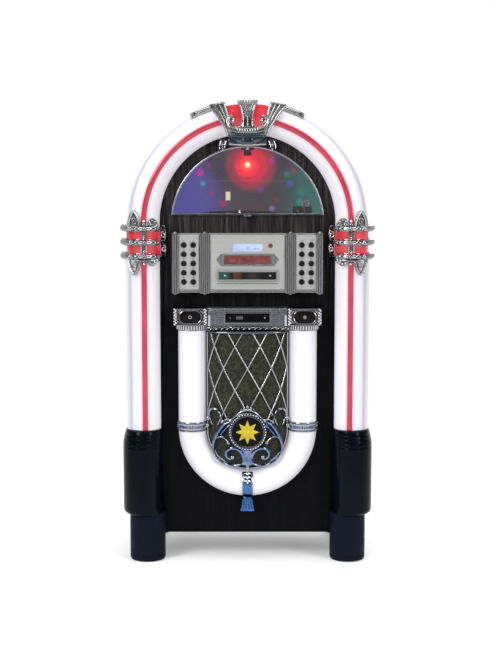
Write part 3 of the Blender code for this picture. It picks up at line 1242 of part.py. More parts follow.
def build_port_console(chrome, black):
    bar = box("port_console", (-PORT_BAR_HALF_WIDTH, PORT_BAR_FACE_Y, PORT_BAR_BOTTOM_Z),
              (PORT_BAR_HALF_WIDTH, SEAT_Y, PORT_BAR_TOP_Z), chrome)
    inner_x = 2 * SWITCH_X - BLOCK_OUTER_X
    overlap = max(0.0, PORT_BAR_HALF_WIDTH - inner_x) + CUT_OVERRUN
    blocks = []
    pockets = []
    pocket_back = BLOCK_FACE_Y + SWITCH_LENGTH - SWITCH_PRESSED_PROUD + RUNNING_GAP
    for side, sign in (("left", -1), ("right", 1)):
        ends = sorted((sign * (inner_x - overlap / 2), sign * BLOCK_OUTER_X))
        blocks.append(box("switch_block_" + side, (ends[0], BLOCK_FACE_Y, BLOCK_BOTTOM_Z),
                          (ends[1], SEAT_Y, PORT_BAR_TOP_Z)))
        reach = (BLOCK_OUTER_X - inner_x) / 2 - BLOCK_COLLAR_INSET
        collar = arc(sign * U_LEG_X, SEAT_Y - BLOCK_COLLAR_INSET, reach,
                     BLOCK_DEPTH - 2 * BLOCK_COLLAR_INSET, math.pi, 2 * math.pi, 12)
        collar += [(sign * U_LEG_X + reach, SEAT_Y), (sign * U_LEG_X - reach, SEAT_Y)]
        blocks.append(prism("block_collar_" + side, [collar], "XY", U_TOP_Z + SEAT_GAP,
                            BLOCK_BOTTOM_Z + CUT_OVERRUN))
        hole = oval(sign * SWITCH_X, SWITCH_Z, SWITCH_WIDTH + 2 * RUNNING_GAP,
                    SWITCH_HEIGHT + 2 * RUNNING_GAP)
        pockets.append(prism("switch_pocket_" + side, [hole], "XZ", BLOCK_FACE_Y - CUT_OVERRUN,
                             pocket_back))
    fuse(bar, *blocks)
    recess_back = PORT_BAR_FACE_Y + PORT_PLATE_RECESS + PORT_PLATE_THICKNESS
    half, rise = PORT_PLATE_WIDTH / 2 + SEAT_GAP, PORT_PLATE_HEIGHT / 2 + SEAT_GAP
    recess = box("port_recess", (-half, PORT_BAR_FACE_Y - CUT_OVERRUN, PORT_PLATE_Z - rise),
                 (half, recess_back + SEAT_GAP, PORT_PLATE_Z + rise))
    cut(bar, recess, *pockets)

    slots = [rectangle(USB_X, PORT_PLATE_Z, USB_WIDTH, USB_HEIGHT),
             rectangle(CARD_X, PORT_PLATE_Z, CARD_WIDTH, CARD_HEIGHT)]
    prism("port_plate", [rectangle(0, PORT_PLATE_Z, PORT_PLATE_WIDTH, PORT_PLATE_HEIGHT)] + slots, "XZ",
          PORT_BAR_FACE_Y + PORT_PLATE_RECESS, recess_back, black)

    for name, sign in (("power_button", -1), ("light_button", 1)):
        front_y = BLOCK_FACE_Y - SWITCH_TRAVEL - SWITCH_PRESSED_PROUD
        prism(name, [oval(sign * SWITCH_X, SWITCH_Z, SWITCH_WIDTH, SWITCH_HEIGHT)], "XZ", front_y,
              front_y + SWITCH_LENGTH, black)


# U-shaped tube with its clips

def round_section(radius, centre_x, steps=18):
    """Plan of a round tube whose back is cut flat where it meets the panel."""
    half = math.acos(U_TUBE_STANDOFF / radius)
    start = math.pi / 2 + half
    return arc(centre_x, U_AXIS_Y, radius, radius, start, 2 * math.pi + math.pi / 2 - half, steps)


def build_u_tube(white):
    """One leg and half the bend, mirrored at the centre plane where the half is open."""
    mesh = bpy.data.meshes.new("u_tube")
    work = bmesh.new()
    ring = [work.verts.new((x, y, U_TOP_Z)) for x, y in round_section(U_TUBE_RADIUS, U_LEG_X)]
    leg = bmesh.ops.extrude_face_region(work, geom=[work.faces.new(ring)])
    moved = [part for part in leg["geom"] if isinstance(part, bmesh.types.BMVert)]
    face = [part for part in leg["geom"] if isinstance(part, bmesh.types.BMFace)][0]
    bmesh.ops.translate(work, vec=(0, 0, U_CENTRE_Z - U_TOP_Z), verts=moved)
    bend = bmesh.ops.spin(work, geom=[face] + list(face.edges) + list(face.verts), cent=(0, 0, U_CENTRE_Z),
                          axis=(0, 1, 0), angle=math.pi / 2, steps=BEND_STEPS)
    last = [part for part in bend["geom_last"] if isinstance(part, bmesh.types.BMFace)]
    bmesh.ops.delete(work, geom=last, context="FACES_ONLY")
    bmesh.ops.recalc_face_normals(work, faces=work.faces)
    work.to_mesh(mesh)
    work.free()
    tube = place("u_tube", mesh, white)
    mirror = tube.modifiers.new("other_half", "MIRROR")
    mirror.merge_threshold = WELD


def strap_centre():
    """Height of the tail strap's centre, and how far the bend's facets rise across the strap."""
    rise = math.tan(math.pi / 4 / BEND_STEPS) * TAIL_STRAP_WIDTH / 2
    return U_CENTRE_Z - U_LEG_X + rise / 2, rise


def tube_clips():
    """An open collar round each leg and a tail over the bottom of the bend, with a block below it."""
    tools = []
    inner = U_TUBE_RADIUS + COLLAR_CLEARANCE
    outer = inner + COLLAR_THICKNESS
    middle = U_CENTRE_Z + COLLAR_HEIGHT / 3
    start = math.pi + COLLAR_START
    for side, sign in (("left", -1), ("right", 1)):
        ring = []
        for radius, run in ((outer, 1), (inner, -1)):
            end = 2 * math.pi + math.asin((SEAT_Y - U_AXIS_Y) / radius)
            ring += arc(U_LEG_X, U_AXIS_Y, radius, radius, start, end, 14)[::run]
        tools.append(prism("collar_" + side, [[(sign * x, y) for x, y in ring]], "XY",
                           middle - COLLAR_HEIGHT / 2, middle + COLLAR_HEIGHT / 2))
    centre_z, rise = strap_centre()
    inner = U_TUBE_RADIUS + SEAT_GAP + rise / 2
    outer = inner + TAIL_STRAP_THICKNESS
    start = math.pi - TAIL_STRAP_START
    end = math.pi * 3 / 2
    strap = arc(U_AXIS_Y, centre_z, outer, outer, start, end, 8)
    strap += arc(U_AXIS_Y, centre_z, inner, inner, end, start, 8)
    tools.append(prism("tail_strap", [strap], "YZ", -TAIL_STRAP_WIDTH / 2, TAIL_STRAP_WIDTH / 2))
    block_y = U_AXIS_Y - U_TUBE_RADIUS + TAIL_STRAP_THICKNESS
    tools.append(box("tail_block", (-TAIL_BLOCK_WIDTH / 2, block_y, TAIL_BOTTOM_Z),
                     (TAIL_BLOCK_WIDTH / 2, SEAT_Y, centre_z - inner - SEAT_GAP), None,
                     TAIL_STRAP_THICKNESS / 2))
    return tools


# Grille, lattice and ornament

def build_cloth(fabric):
    """The cloth bulges between the legs of the U and closes as a dome inside its bend."""
    mesh = bpy.data.meshes.new("grille_cloth")
    work = bmesh.new()
    angles = [math.pi / 2 * i / BEND_STEPS for i in range(-BEND_STEPS, BEND_STEPS + 1)]
    section = [(GRILLE_HALF_WIDTH * math.sin(a), SEAT_Y - GRILLE_BULGE * math.cos(a)) for a in angles]
    ring = [work.verts.new((x, y, U_CENTRE_Z)) for x, y in section]
    edges = [work.edges.new(pair) for pair in zip(ring, ring[1:])]
    top = bmesh.ops.extrude_edge_only(work, edges=edges)
    risen = [part for part in top["geom"] if isinstance(part, bmesh.types.BMVert)]
    bmesh.ops.translate(work, vec=(0, 0, U_TOP_Z - U_CENTRE_Z), verts=risen)
    quarter = [work.verts.new((x, y, U_CENTRE_Z)) for x, y in section[BEND_STEPS:]]
    spokes = [work.edges.new(pair) for pair in zip(quarter, quarter[1:])]
    bmesh.ops.spin(work, geom=quarter + spokes, cent=(0, 0, U_CENTRE_Z), axis=(0, 1, 0),
                   angle=math.pi, steps=2 * BEND_STEPS)
    bmesh.ops.remove_doubles(work, verts=work.verts, dist=WELD)
    bmesh.ops.recalc_face_normals(work, faces=work.faces)
    facing = sum(face.normal.y * face.calc_area() for face in work.faces)
    if facing > 0:
        bmesh.ops.reverse_faces(work, faces=work.faces)
    work.to_mesh(mesh)
    work.free()
    cloth = place("grille_cloth", mesh, fabric)
    shell = cloth.modifiers.new("wall", "SOLIDIFY")
    shell.thickness = CLOTH_THICKNESS
    shell.offset = -1
    reach = GRILLE_HALF_WIDTH + CUT_OVERRUN
    cut(cloth, box("cloth_back_trim", (-reach, SEAT_Y, U_CENTRE_Z - reach),
                   (reach, SEAT_Y + 2 * CLOTH_THICKNESS, U_TOP_Z + reach)))


def lattice_path(crossing, slope, lift):
    """One diagonal wire over the bulge, at most from the rim on one side to the rim on the other."""
    rise = slope * WIRE_HALF_PITCH_Z / WIRE_HALF_PITCH_ANGLE
    start_z = WIRE_CROSSING_Z - slope * crossing * WIRE_HALF_PITCH_Z
    ends = sorted((start_z - rise * WIRE_REACH_ANGLE, start_z + rise * WIRE_REACH_ANGLE))
    low_z = max(WIRE_END_Z, ends[0])
    high_z = min(U_TOP_Z - HEAD_RADIUS, ends[1])
    count = math.ceil((high_z - low_z) / WIRE_STEP_Z)
    if count < 2:
        return []
    points = []
    for i in range(count + 1):
        z = low_z + (high_z - low_z) * i / count
        x = GRILLE_HALF_WIDTH * math.sin((z - start_z) / rise)
        points.append((x, grille_depth(x, z, lift), z))
    return points


def build_lattice(chrome):
    """Two sets of diagonal wires that cross in a diamond pattern, inside a rim along the tube."""
    lift = 2 * SEAT_GAP + WIRE_RADIUS
    sets = []
    for label, slope, layer in (("rising", 1, 0), ("falling", -1, WIRE_LAYER)):
        paths = [lattice_path(crossing, slope, lift + layer) for crossing in range(-6, 7, 2)]
        sets.append(wires("lattice_" + label, [path for path in paths if path], WIRE_RADIUS, chrome, 0))
    lattice = sets[0]
    lattice.name = "lattice_grille"
    reach = GRILLE_HALF_WIDTH * math.sin(WIRE_REACH_ANGLE)
    rim_y = grille_depth(reach, U_CENTRE_Z, lift)
    bend = arc(0, U_CENTRE_Z, reach, reach, math.pi, 2 * math.pi, 2 * BEND_STEPS)
    top_z = U_TOP_Z - SEAT_GAP
    rim = [(x, rim_y, z) for x, z in [(-reach, top_z)] + bend + [(reach, top_z)]]
    across = [GRILLE_HALF_WIDTH * math.sin(WIRE_REACH_ANGLE * i / 6) for i in range(-6, 7)]
    head_z = top_z - HEAD_RADIUS
    head = [(x, grille_depth(x, U_TOP_Z, 2 * SEAT_GAP + HEAD_RADIUS), head_z) for x in across]
    fuse(lattice, sets[1], wires("lattice_rim", [rim], RIM_RADIUS),
         wires("lattice_head", [head], HEAD_RADIUS))


def spiral(centre_x, centre_z, start_radius, end_radius, start, turns, steps):
    """A scroll's line in the XZ plane, closing in at a steady rate."""
    points = []
    for i in range(steps + 1):
        share = i / steps
        radius = start_radius + (end_radius - start_radius) * share
        angle = start + turns * 2 * math.pi * share
        points.append((centre_x + radius * math.cos(angle), centre_z + radius * math.sin(angle)))
    return points


SCROLL_BAND_SHARES = ((0.0, -0.90), (0.24, -0.86), (0.47, -0.76), (0.67, -0.60), (0.82, -0.38),
                      (0.88, -0.12), (0.87, 0.14), (0.80, 0.34), (0.70, 0.47))
SCROLL_STEM_SHARES = ((0.0, -0.88), (0.12, -0.76), (0.19, -0.66), (0.27, -0.58))
SCROLL_LEAF_SHARES = ((0.67, -0.60), (0.60, -0.44), (0.60, -0.28), (0.66, -0.12), (0.77, 0.0))
SCROLL_CENTRE_SHARES = ((0.40, -0.57), (0.68, 0.33))
SCROLL_VOLUTE_SHARE = 0.15
SCROLL_EYE_SHARE = 0.45


def over_grille(points):
    """Lifts flat points on to the ornament's layer in front of the lattice."""
    standoff = LATTICE_FRONT + SCROLL_STANDOFF + SCROLL_RADIUS
    return [(x, grille_depth(x, z, standoff), z) for x, z in points]


def scale_shares(shares):
    return [(GRILLE_HALF_WIDTH * x, U_CENTRE_Z + GRILLE_HALF_WIDTH * z) for x, z in shares]


def build_scrolls(chrome):
    """Bands along the bend of the U with upper volutes, a stem with lower ones, leaves, and the clips."""
    volute_radius = SCROLL_VOLUTE_SHARE * GRILLE_HALF_WIDTH
    inner_radius = volute_radius * SCROLL_EYE_SHARE
    lower, upper = scale_shares(SCROLL_CENTRE_SHARES)
    stem = scale_shares(SCROLL_STEM_SHARES)
    stem += spiral(*lower, volute_radius, inner_radius, math.pi * 0.85, -0.85, 8)
    band = scale_shares(SCROLL_BAND_SHARES)
    band += spiral(*upper, volute_radius, inner_radius, math.pi * 0.6, 0.8, 8)
    leaf = scale_shares(SCROLL_LEAF_SHARES)
    both = [mirror_points(points[1:]) + points for points in (band, stem)]
    ornament = wires("scroll_ornament", [over_grille(both[0])], SCROLL_RADIUS, chrome, 0)
    tools = [wires("scroll_stem", [over_grille(both[1])], SCROLL_RADIUS, None, 0)]

    end_x, end_z = scale_shares(SCROLL_BAND_SHARES)[-3]
    link_y = over_grille([(end_x, end_z)])[0][1]
    reach = U_TUBE_RADIUS + COLLAR_CLEARANCE + COLLAR_THICKNESS * 2 / 3
    collar_x = U_LEG_X - math.sqrt(reach ** 2 - (link_y - U_AXIS_Y) ** 2)
    for side, sign in (("left", -1), ("right", 1)):
        tools.append(wires("scroll_leaf_" + side, [over_grille([(sign * x, z) for x, z in leaf])],
                           SCROLL_RADIUS, None, 0))
        link = [(sign * end_x, link_y, end_z), (sign * collar_x, link_y, end_z - LINK_RADIUS)]
        tools.append(wires("collar_link_" + side, [link], LINK_RADIUS, None, 0))
    centre_z, rise = strap_centre()
    strap_top = centre_z + (U_TUBE_RADIUS + SEAT_GAP + rise / 2) * math.sin(TAIL_STRAP_START)
    _, neck_y, neck_z = over_grille(band[:1])[0]
    half = TAIL_NECK_WIDTH / 2
    tools.append(box("tail_neck", (-half, neck_y - SCROLL_RADIUS / 2, strap_top - SCROLL_RADIUS),
                     (half, neck_y + SCROLL_RADIUS, neck_z)))
    fuse(ornament, *tools, *tube_clips())


def build_medallion(black):
    """A turned boss with a raised ring, and the star fused to its dished face."""
    back_y = SEAT_Y - GRILLE_BULGE - LATTICE_FRONT - SEAT_GAP
    ring = MEDALLION_THICKNESS - MEDALLION_RECESS
    edge = MEDALLION_RECESS / 2
    profile = [(0, ring), (MEDALLION_DISC_RADIUS, ring),
               (MEDALLION_DISC_RADIUS + SEAT_GAP, MEDALLION_THICKNESS),
               (MEDALLION_RADIUS - edge, MEDALLION_THICKNESS), (MEDALLION_RADIUS, MEDALLION_THICKNESS - edge),
               (MEDALLION_RADIUS, edge), (MEDALLION_RADIUS - edge, 0), (0, 0)]
    boss = turned("medallion", profile, black, (0, back_y, MEDALLION_Z), math.pi / 2, 24)
    points = []
    for i in range(2 * STAR_POINTS):
        radius = STAR_INNER_RADIUS if i % 2 else STAR_RADIUS
        angle = math.pi / 2 + math.pi * i / STAR_POINTS
        points.append((radius * math.cos(angle), MEDALLION_Z + radius * math.sin(angle)))
    star = prism("medallion_star", [points], "XZ", back_y - ring - STAR_THICKNESS, back_y - ring + SEAT_GAP)
    fuse(boss, star)


# Sound parts

def build_loudspeaker(black):
    """One round driver on the back of the front panel, behind the cloth."""
    magnet_end = SPEAKER_BASKET_DEPTH + SPEAKER_MAGNET_DEPTH
    cone_rim = SPEAKER_RADIUS - SPEAKER_FLANGE - SPEAKER_FLANGE_THICKNESS
    profile = [(0, -SPEAKER_CONE_DEPTH), (cone_rim / 3, -SPEAKER_CONE_DEPTH), (cone_rim, 0),
               (SPEAKER_RADIUS, 0), (SPEAKER_RADIUS, -SPEAKER_FLANGE_THICKNESS),
               (SPEAKER_RADIUS - SPEAKER_FLANGE, -SPEAKER_FLANGE_THICKNESS),
               (SPEAKER_MAGNET_RADIUS, -SPEAKER_BASKET_DEPTH), (SPEAKER_MAGNET_RADIUS, -magnet_end),
               (0, -magnet_end)]
    turned("loudspeaker", profile, black, (0, SHELL_FRONT_Y, SPEAKER_Z), math.pi / 2, ARCH_STEPS)


def build_amplifier(steel):
    """A finned amplifier box on the base board."""
    low_z = FLOOR_Z + BOARD + SEAT_GAP
    back_y = REAR_INNER_Y - SEAT_GAP - INLET_DEPTH
    case = box("amplifier_box", (-AMPLIFIER_WIDTH / 2, back_y - AMPLIFIER_DEPTH, low_z),
               (AMPLIFIER_WIDTH / 2, back_y, low_z + AMPLIFIER_HEIGHT), steel)
    pitch = AMPLIFIER_WIDTH / AMPLIFIER_FINS
    front_y = back_y - AMPLIFIER_DEPTH
    top_z = low_z + AMPLIFIER_HEIGHT
    half = AMPLIFIER_FIN / 2
    cutters = []
    for i in range(1, AMPLIFIER_FINS):
        x = -AMPLIFIER_WIDTH / 2 + pitch * i
        cutters.append(box("fin_slot_" + str(i),
                           (x - half, front_y - CUT_OVERRUN, top_z - AMPLIFIER_FIN_DEPTH),
                           (x + half, back_y + CUT_OVERRUN, top_z + CUT_OVERRUN)))
    cut(case, *cutters)


def main():
    clear_scene()
    wood = principled("black_ash", (0.010, 0.009, 0.011), 0.45)
    gloss_black = principled("gloss_black", (0.006, 0.009, 0.017), 0.12)
    matte_black = principled("matte_black", (0.012, 0.012, 0.013), 0.6)
    white = principled("lit_white", (0.88, 0.87, 0.93), 0.3)
    red = principled("lens_red", (0.75, 0.03, 0.05), 0.2)
    chrome = principled("chrome", (0.75, 0.75, 0.76), 0.08, 1.0)
    grey = principled("console_grey", (0.52, 0.52, 0.51), 0.35, 0.4)
    steel = principled("steel", (0.45, 0.45, 0.47), 0.35, 1.0)
    glass = principled("pane", (0.30, 0.32, 0.38), 0.02)
    fabric = principled("grille_fabric", (0.045, 0.042, 0.028), 0.9)

    build_cabinet(wood, matte_black)
    build_inlet(matte_black)
    build_boots(gloss_black)
    build_tubes(white)
    build_clasps(chrome, red)
    build_crown(chrome, red)
    build_window(chrome, glass)
    build_hinges(chrome)
    build_turntable(matte_black)
    build_tonearm(steel)
    build_lamp(red, chrome)
    build_console(grey)
    build_display(matte_black)
    build_buttons(matte_black)
    build_drive(steel, gloss_black)
    build_port_console(chrome, matte_black)
    build_u_tube(white)
    build_cloth(fabric)
    build_lattice(chrome)
    build_scrolls(chrome)
    build_medallion(matte_black)
    build_loudspeaker(matte_black)
    build_amplifier(steel)


main()
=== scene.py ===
from math import acos, asin, cos, hypot, pi, radians, sin, sqrt

import bmesh
import bpy
from mathutils import Matrix, Vector


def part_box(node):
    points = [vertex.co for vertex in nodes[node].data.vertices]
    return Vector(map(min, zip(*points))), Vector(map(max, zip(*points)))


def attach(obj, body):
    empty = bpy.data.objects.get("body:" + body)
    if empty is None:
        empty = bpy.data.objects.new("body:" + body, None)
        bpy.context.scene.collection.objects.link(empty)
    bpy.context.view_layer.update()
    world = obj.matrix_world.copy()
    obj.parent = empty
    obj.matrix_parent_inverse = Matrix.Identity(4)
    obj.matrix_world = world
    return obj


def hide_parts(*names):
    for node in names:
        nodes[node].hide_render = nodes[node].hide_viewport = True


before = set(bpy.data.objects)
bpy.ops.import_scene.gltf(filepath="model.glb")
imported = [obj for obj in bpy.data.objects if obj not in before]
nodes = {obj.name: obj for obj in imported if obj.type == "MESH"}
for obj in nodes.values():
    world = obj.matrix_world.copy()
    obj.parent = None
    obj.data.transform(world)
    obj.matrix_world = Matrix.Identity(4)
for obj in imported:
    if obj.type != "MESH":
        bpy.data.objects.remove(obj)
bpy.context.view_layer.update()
print("frame loaded:", len(nodes), "nodes")

seatY = -0.1198        # front face of the wooden panel, with its seat gap
archZ = 0.8585         # centre of the arch
halfTurn = pi


# short ways to make material nodes

def addNode(tree, kind, settings=None, inputs=None, out=0):
    made = tree.nodes.new("ShaderNode" + kind)
    for key, value in (settings or {}).items():
        setattr(made, key, value)
    for key, value in (inputs or {}).items():
        if isinstance(value, bpy.types.NodeSocket):
            tree.links.new(value, made.inputs[key])
        else:
            made.inputs[key].default_value = value
    return made.outputs[out]


def newFinish(name, **values):         # a Principled material, values by socket name
    mat = bpy.data.materials.new(name)
    mat.use_nodes = True
    shader = mat.node_tree.nodes["Principled BSDF"]
    for key, value in values.items():
        wide = hasattr(value, "__len__") and len(value) == 3
        shader.inputs[key.replace("_", " ")].default_value = (*value, 1.0) if wide else value
    return mat


def place(tree, scale=(1, 1, 1)):
    coords = addNode(tree, "TexCoord", out=3)
    return addNode(tree, "Mapping", None, {"Vector": coords, "Scale": scale})


def noise(tree, vector, scale, detail=4.0, rough=0.5):
    return addNode(tree, "TexNoise", None, {"Vector": vector, "Scale": scale, "Detail": detail, "Roughness": rough})


def calc(tree, operation, a, b=0.0, clamp=False):
    return addNode(tree, "Math", {"operation": operation, "use_clamp": clamp}, {0: a, 1: b})


def ramp(tree, fac, stops, mode="LINEAR"):      # stops are (place, colour) pairs, colours of 1 or 3 numbers
    made = tree.nodes.new("ShaderNodeValToRGB")
    tree.links.new(fac, made.inputs[0])
    ring = made.color_ramp
    ring.interpolation = mode
    while len(ring.elements) < len(stops):
        ring.elements.new(1.0)
    for element, (where, colour) in zip(ring.elements, stops):
        element.position = where
        element.color = (*(colour if hasattr(colour, "__len__") else (colour,) * 3), 1)
    return made.outputs[0]


def mixed(tree, fac, a, b, blend="MIX"):
    settings = {"data_type": "RGBA", "blend_type": blend}
    colours = {6: a, 7: b}
    for key, value in colours.items():
        if not isinstance(value, bpy.types.NodeSocket):
            colours[key] = (*value, 1.0)
    return addNode(tree, "Mix", settings, {0: fac, **colours}, out=2)


def feed(mat, **links):                # joins outputs to the shader's sockets
    shader = mat.node_tree.nodes["Principled BSDF"]
    for key, value in links.items():
        mat.node_tree.links.new(value, shader.inputs[key.replace("_", " ")])
    return mat


def bump(tree, height, strength, distance=0.001):
    return addNode(tree, "Bump", None, {"Height": height, "Strength": strength, "Distance": distance})


# shapes that the pieces below share

def arcPoints(cx, cy, rx, ry, start, end, steps):
    turn = (end - start) / steps
    return [(cx + rx * cos(start + turn * i), cy + ry * sin(start + turn * i)) for i in range(steps + 1)]


def boxIn(bm, low, high, bevel=0.0, segments=2, slot=0):
    made = bmesh.ops.create_cube(bm, size=1)["verts"]
    low, high = Vector(low), Vector(high)
    bmesh.ops.scale(bm, vec=high - low, verts=made)
    bmesh.ops.translate(bm, vec=(low + high) / 2, verts=made)
    if bevel:
        edges = list({e for v in made for e in v.link_edges})
        made = bmesh.ops.bevel(bm, geom=edges, offset=bevel, segments=segments, affect="EDGES", profile=0.5,
            material=-1, clamp_overlap=True)["verts"]
    paint(made, slot)
    return made


def paint(verts, slot):                # gives the faces of these points a material slot
    for face in {f for v in verts for f in v.link_faces}:
        face.material_index = slot


def joinIn(bm, part, slot=0, matrix=None):               # adds a small finished shape to a bigger one
    for face in part.faces:
        face.material_index = slot
    mesh = bpy.data.meshes.new("part")
    part.to_mesh(mesh)
    part.free()
    if matrix:
        mesh.transform(matrix)
    before = set(bm.verts)
    bm.from_mesh(mesh)
    bpy.data.meshes.remove(mesh)
    return [v for v in bm.verts if v not in before]


def rodIn(bm, start, end, radius, endRadius=None, segments=24, slot=0):
    start, end = Vector(start), Vector(end)
    run = end - start
    turn = run.to_track_quat("Z", "Y").to_matrix().to_4x4()
    made = bmesh.ops.create_cone(bm, cap_ends=True, segments=segments, radius1=radius,
        radius2=radius if endRadius is None else endRadius, depth=run.length,
        matrix=Matrix.Translation((start + end) / 2) @ turn)["verts"]
    paint(made, slot)
    return made


def ballIn(bm, at, radius, squash=(1, 1, 1), u=12, v=8, slot=0):
    part = bmesh.new()
    shape = Matrix.Translation(at) @ Matrix.Diagonal((*squash, 1))
    bmesh.ops.create_uvsphere(part, u_segments=u, v_segments=v, radius=radius, matrix=shape)
    return joinIn(bm, part, slot)


def turnIn(bm, profile, at, axis="Y", steps=32, slot=0):    # lathes (radius, height) points; height runs to -Y or +Z
    part = bmesh.new()
    ring = [part.verts.new((r, 0, h)) for r, h in profile]
    edges = [part.edges.new(pair) for pair in zip(ring, ring[1:])]
    bmesh.ops.spin(part, geom=ring + edges, cent=(0, 0, 0), axis=(0, 0, 1), angle=2 * halfTurn, steps=steps,
        use_merge=True)
    bmesh.ops.remove_doubles(part, verts=part.verts, dist=1e-6)
    turn = Matrix.Rotation(halfTurn / 2, 4, "X") if axis == "Y" else Matrix.Identity(4)
    return joinIn(bm, part, slot, Matrix.Translation(at) @ turn)


def plateIn(bm, loops, back, front, bevel=0.0, slot=0, matrix=None, segments=2):
    # a flat outline in XZ, with any holes, from its back to its front, with rounded edges
    curve = bpy.data.curves.new("plate", "CURVE")
    curve.dimensions, curve.fill_mode = "2D", "BOTH"
    curve.extrude = max(abs(back - front) / 2 - bevel, 1e-5)
    curve.bevel_depth, curve.bevel_resolution, curve.offset = bevel, segments - 1, -bevel
    for loop in loops:
        spline = curve.splines.new("POLY")
        spline.points.add(len(loop) - 1)
        for point, (x, z) in zip(spline.points, loop):
            point.co = (x, z, 0, 1)
        spline.use_cyclic_u = True
    turn = Matrix.Translation((0, (back + front) / 2, 0)) @ Matrix.Rotation(halfTurn / 2, 4, "X")
    return curveIn(bm, curve, (matrix or Matrix.Identity(4)) @ turn, slot)


def curveIn(bm, curve, matrix, slot=0):
    item = bpy.data.objects.new("guide", curve)
    bpy.context.scene.collection.objects.link(item)
    bpy.context.view_layer.update()
    mesh = bpy.data.meshes.new_from_object(item.evaluated_get(bpy.context.evaluated_depsgraph_get()))
    bpy.data.objects.remove(item)
    bpy.data.curves.remove(curve)
    part = bmesh.new()
    part.from_mesh(mesh)
    bpy.data.meshes.remove(mesh)
    bmesh.ops.remove_doubles(part, verts=part.verts, dist=1e-5)
    return joinIn(bm, part, slot, matrix)


def wireIn(bm, points, radius, sides=2, cyclic=False, smooth=4, radii=None, slot=0, profile=None):
    # a round wire, or one with its own profile, through the points; radii are shares of the radius
    curve = bpy.data.curves.new("wire", "CURVE")
    curve.dimensions = "3D"
    curve.use_fill_caps = True
    curve.bevel_depth, curve.bevel_resolution, curve.resolution_u = radius, sides, smooth
    guide = None
    if profile:
        shape = bpy.data.curves.new("profile", "CURVE")
        shape.dimensions = "2D"
        line = shape.splines.new("POLY")
        line.points.add(len(profile) - 1)
        for point, (x, y) in zip(line.points, profile):
            point.co = (x, y, 0, 1)
        line.use_cyclic_u = True
        guide = bpy.data.objects.new("profile", shape)
        bpy.context.scene.collection.objects.link(guide)
        curve.bevel_mode, curve.bevel_object = "OBJECT", guide
    spline = curve.splines.new("BEZIER" if smooth else "POLY")
    many = spline.bezier_points if smooth else spline.points
    many.add(len(points) - 1)
    for i, (point, at) in enumerate(zip(many, points)):
        point.co = at if smooth else (*at, 1)
        point.radius = radii[i] if radii else 1.0
        if smooth:
            point.handle_left_type = point.handle_right_type = "AUTO"
    spline.use_cyclic_u = cyclic
    made = curveIn(bm, curve, Matrix.Identity(4), slot)
    if guide:
        bpy.data.objects.remove(guide)
    return made


def mirrorIn(bm, verts=None):          # a copy of these faces on the other side of the centre plane
    verts = verts or list(bm.verts)
    faces = list({f for v in verts for f in v.link_faces})
    copy = bmesh.ops.duplicate(bm, geom=verts + faces)["geom"]
    bmesh.ops.scale(bm, vec=(-1, 1, 1), verts=[g for g in copy if isinstance(g, bmesh.types.BMVert)])
    bmesh.ops.reverse_faces(bm, faces=[g for g in copy if isinstance(g, bmesh.types.BMFace)])


def raiseFace(bm, face, rise):         # pulls a flat face up into a block, and gives its upper points
    made = bmesh.ops.extrude_face_region(bm, geom=[face])["geom"]
    risen = [g for g in made if isinstance(g, bmesh.types.BMVert)]
    bmesh.ops.translate(bm, vec=(0, 0, rise), verts=risen)
    return risen


def skinIn(bm, plans, slot=0):         # a skin through rings of points, filled at both ends
    before = set(bm.verts)
    rings = []
    for plan in plans:
        ring = [bm.verts.new(at) for at in plan]
        rings.append([bm.edges.new((ring[i - 1], ring[i])) for i in range(len(ring))])
    for lower, upper in zip(rings, rings[1:]):
        bmesh.ops.bridge_loops(bm, edges=lower + upper)
    bmesh.ops.holes_fill(bm, edges=rings[0] + rings[-1], sides=0)
    paint([v for v in bm.verts if v not in before], slot)


def slabIn(bm, loops, low, high, bevel=0.0, slot=0, segments=2):     # the same as plateIn, lying flat
    flat = Matrix.Translation((0, 0, (low + high) / 2)) @ Matrix.Rotation(-halfTurn / 2, 4, "X")
    return plateIn(bm, loops, (low - high) / 2, (high - low) / 2, bevel, slot, flat, segments)


def finishPiece(bm, name, body, mats, stands=(), sharp=38, normals=True):
    if normals:
        bmesh.ops.recalc_face_normals(bm, faces=bm.faces)
    mesh = bpy.data.meshes.new(name)
    bm.to_mesh(mesh)
    bm.free()
    piece = bpy.data.objects.new(name, mesh)
    bpy.context.scene.collection.objects.link(piece)
    for mat in mats if isinstance(mats, (list, tuple)) else [mats]:
        mesh.materials.append(mat)
    mesh.shade_smooth()
    mesh.set_sharp_from_angle(angle=radians(sharp))
    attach(piece, body)
    if stands:
        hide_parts(*stands)
    return piece


def dress(mat, *names):                # a CAD node keeps its shape and gets a finish
    for name in names:
        mesh = nodes[name].data
        mesh.materials.clear()
        mesh.materials.append(mat)
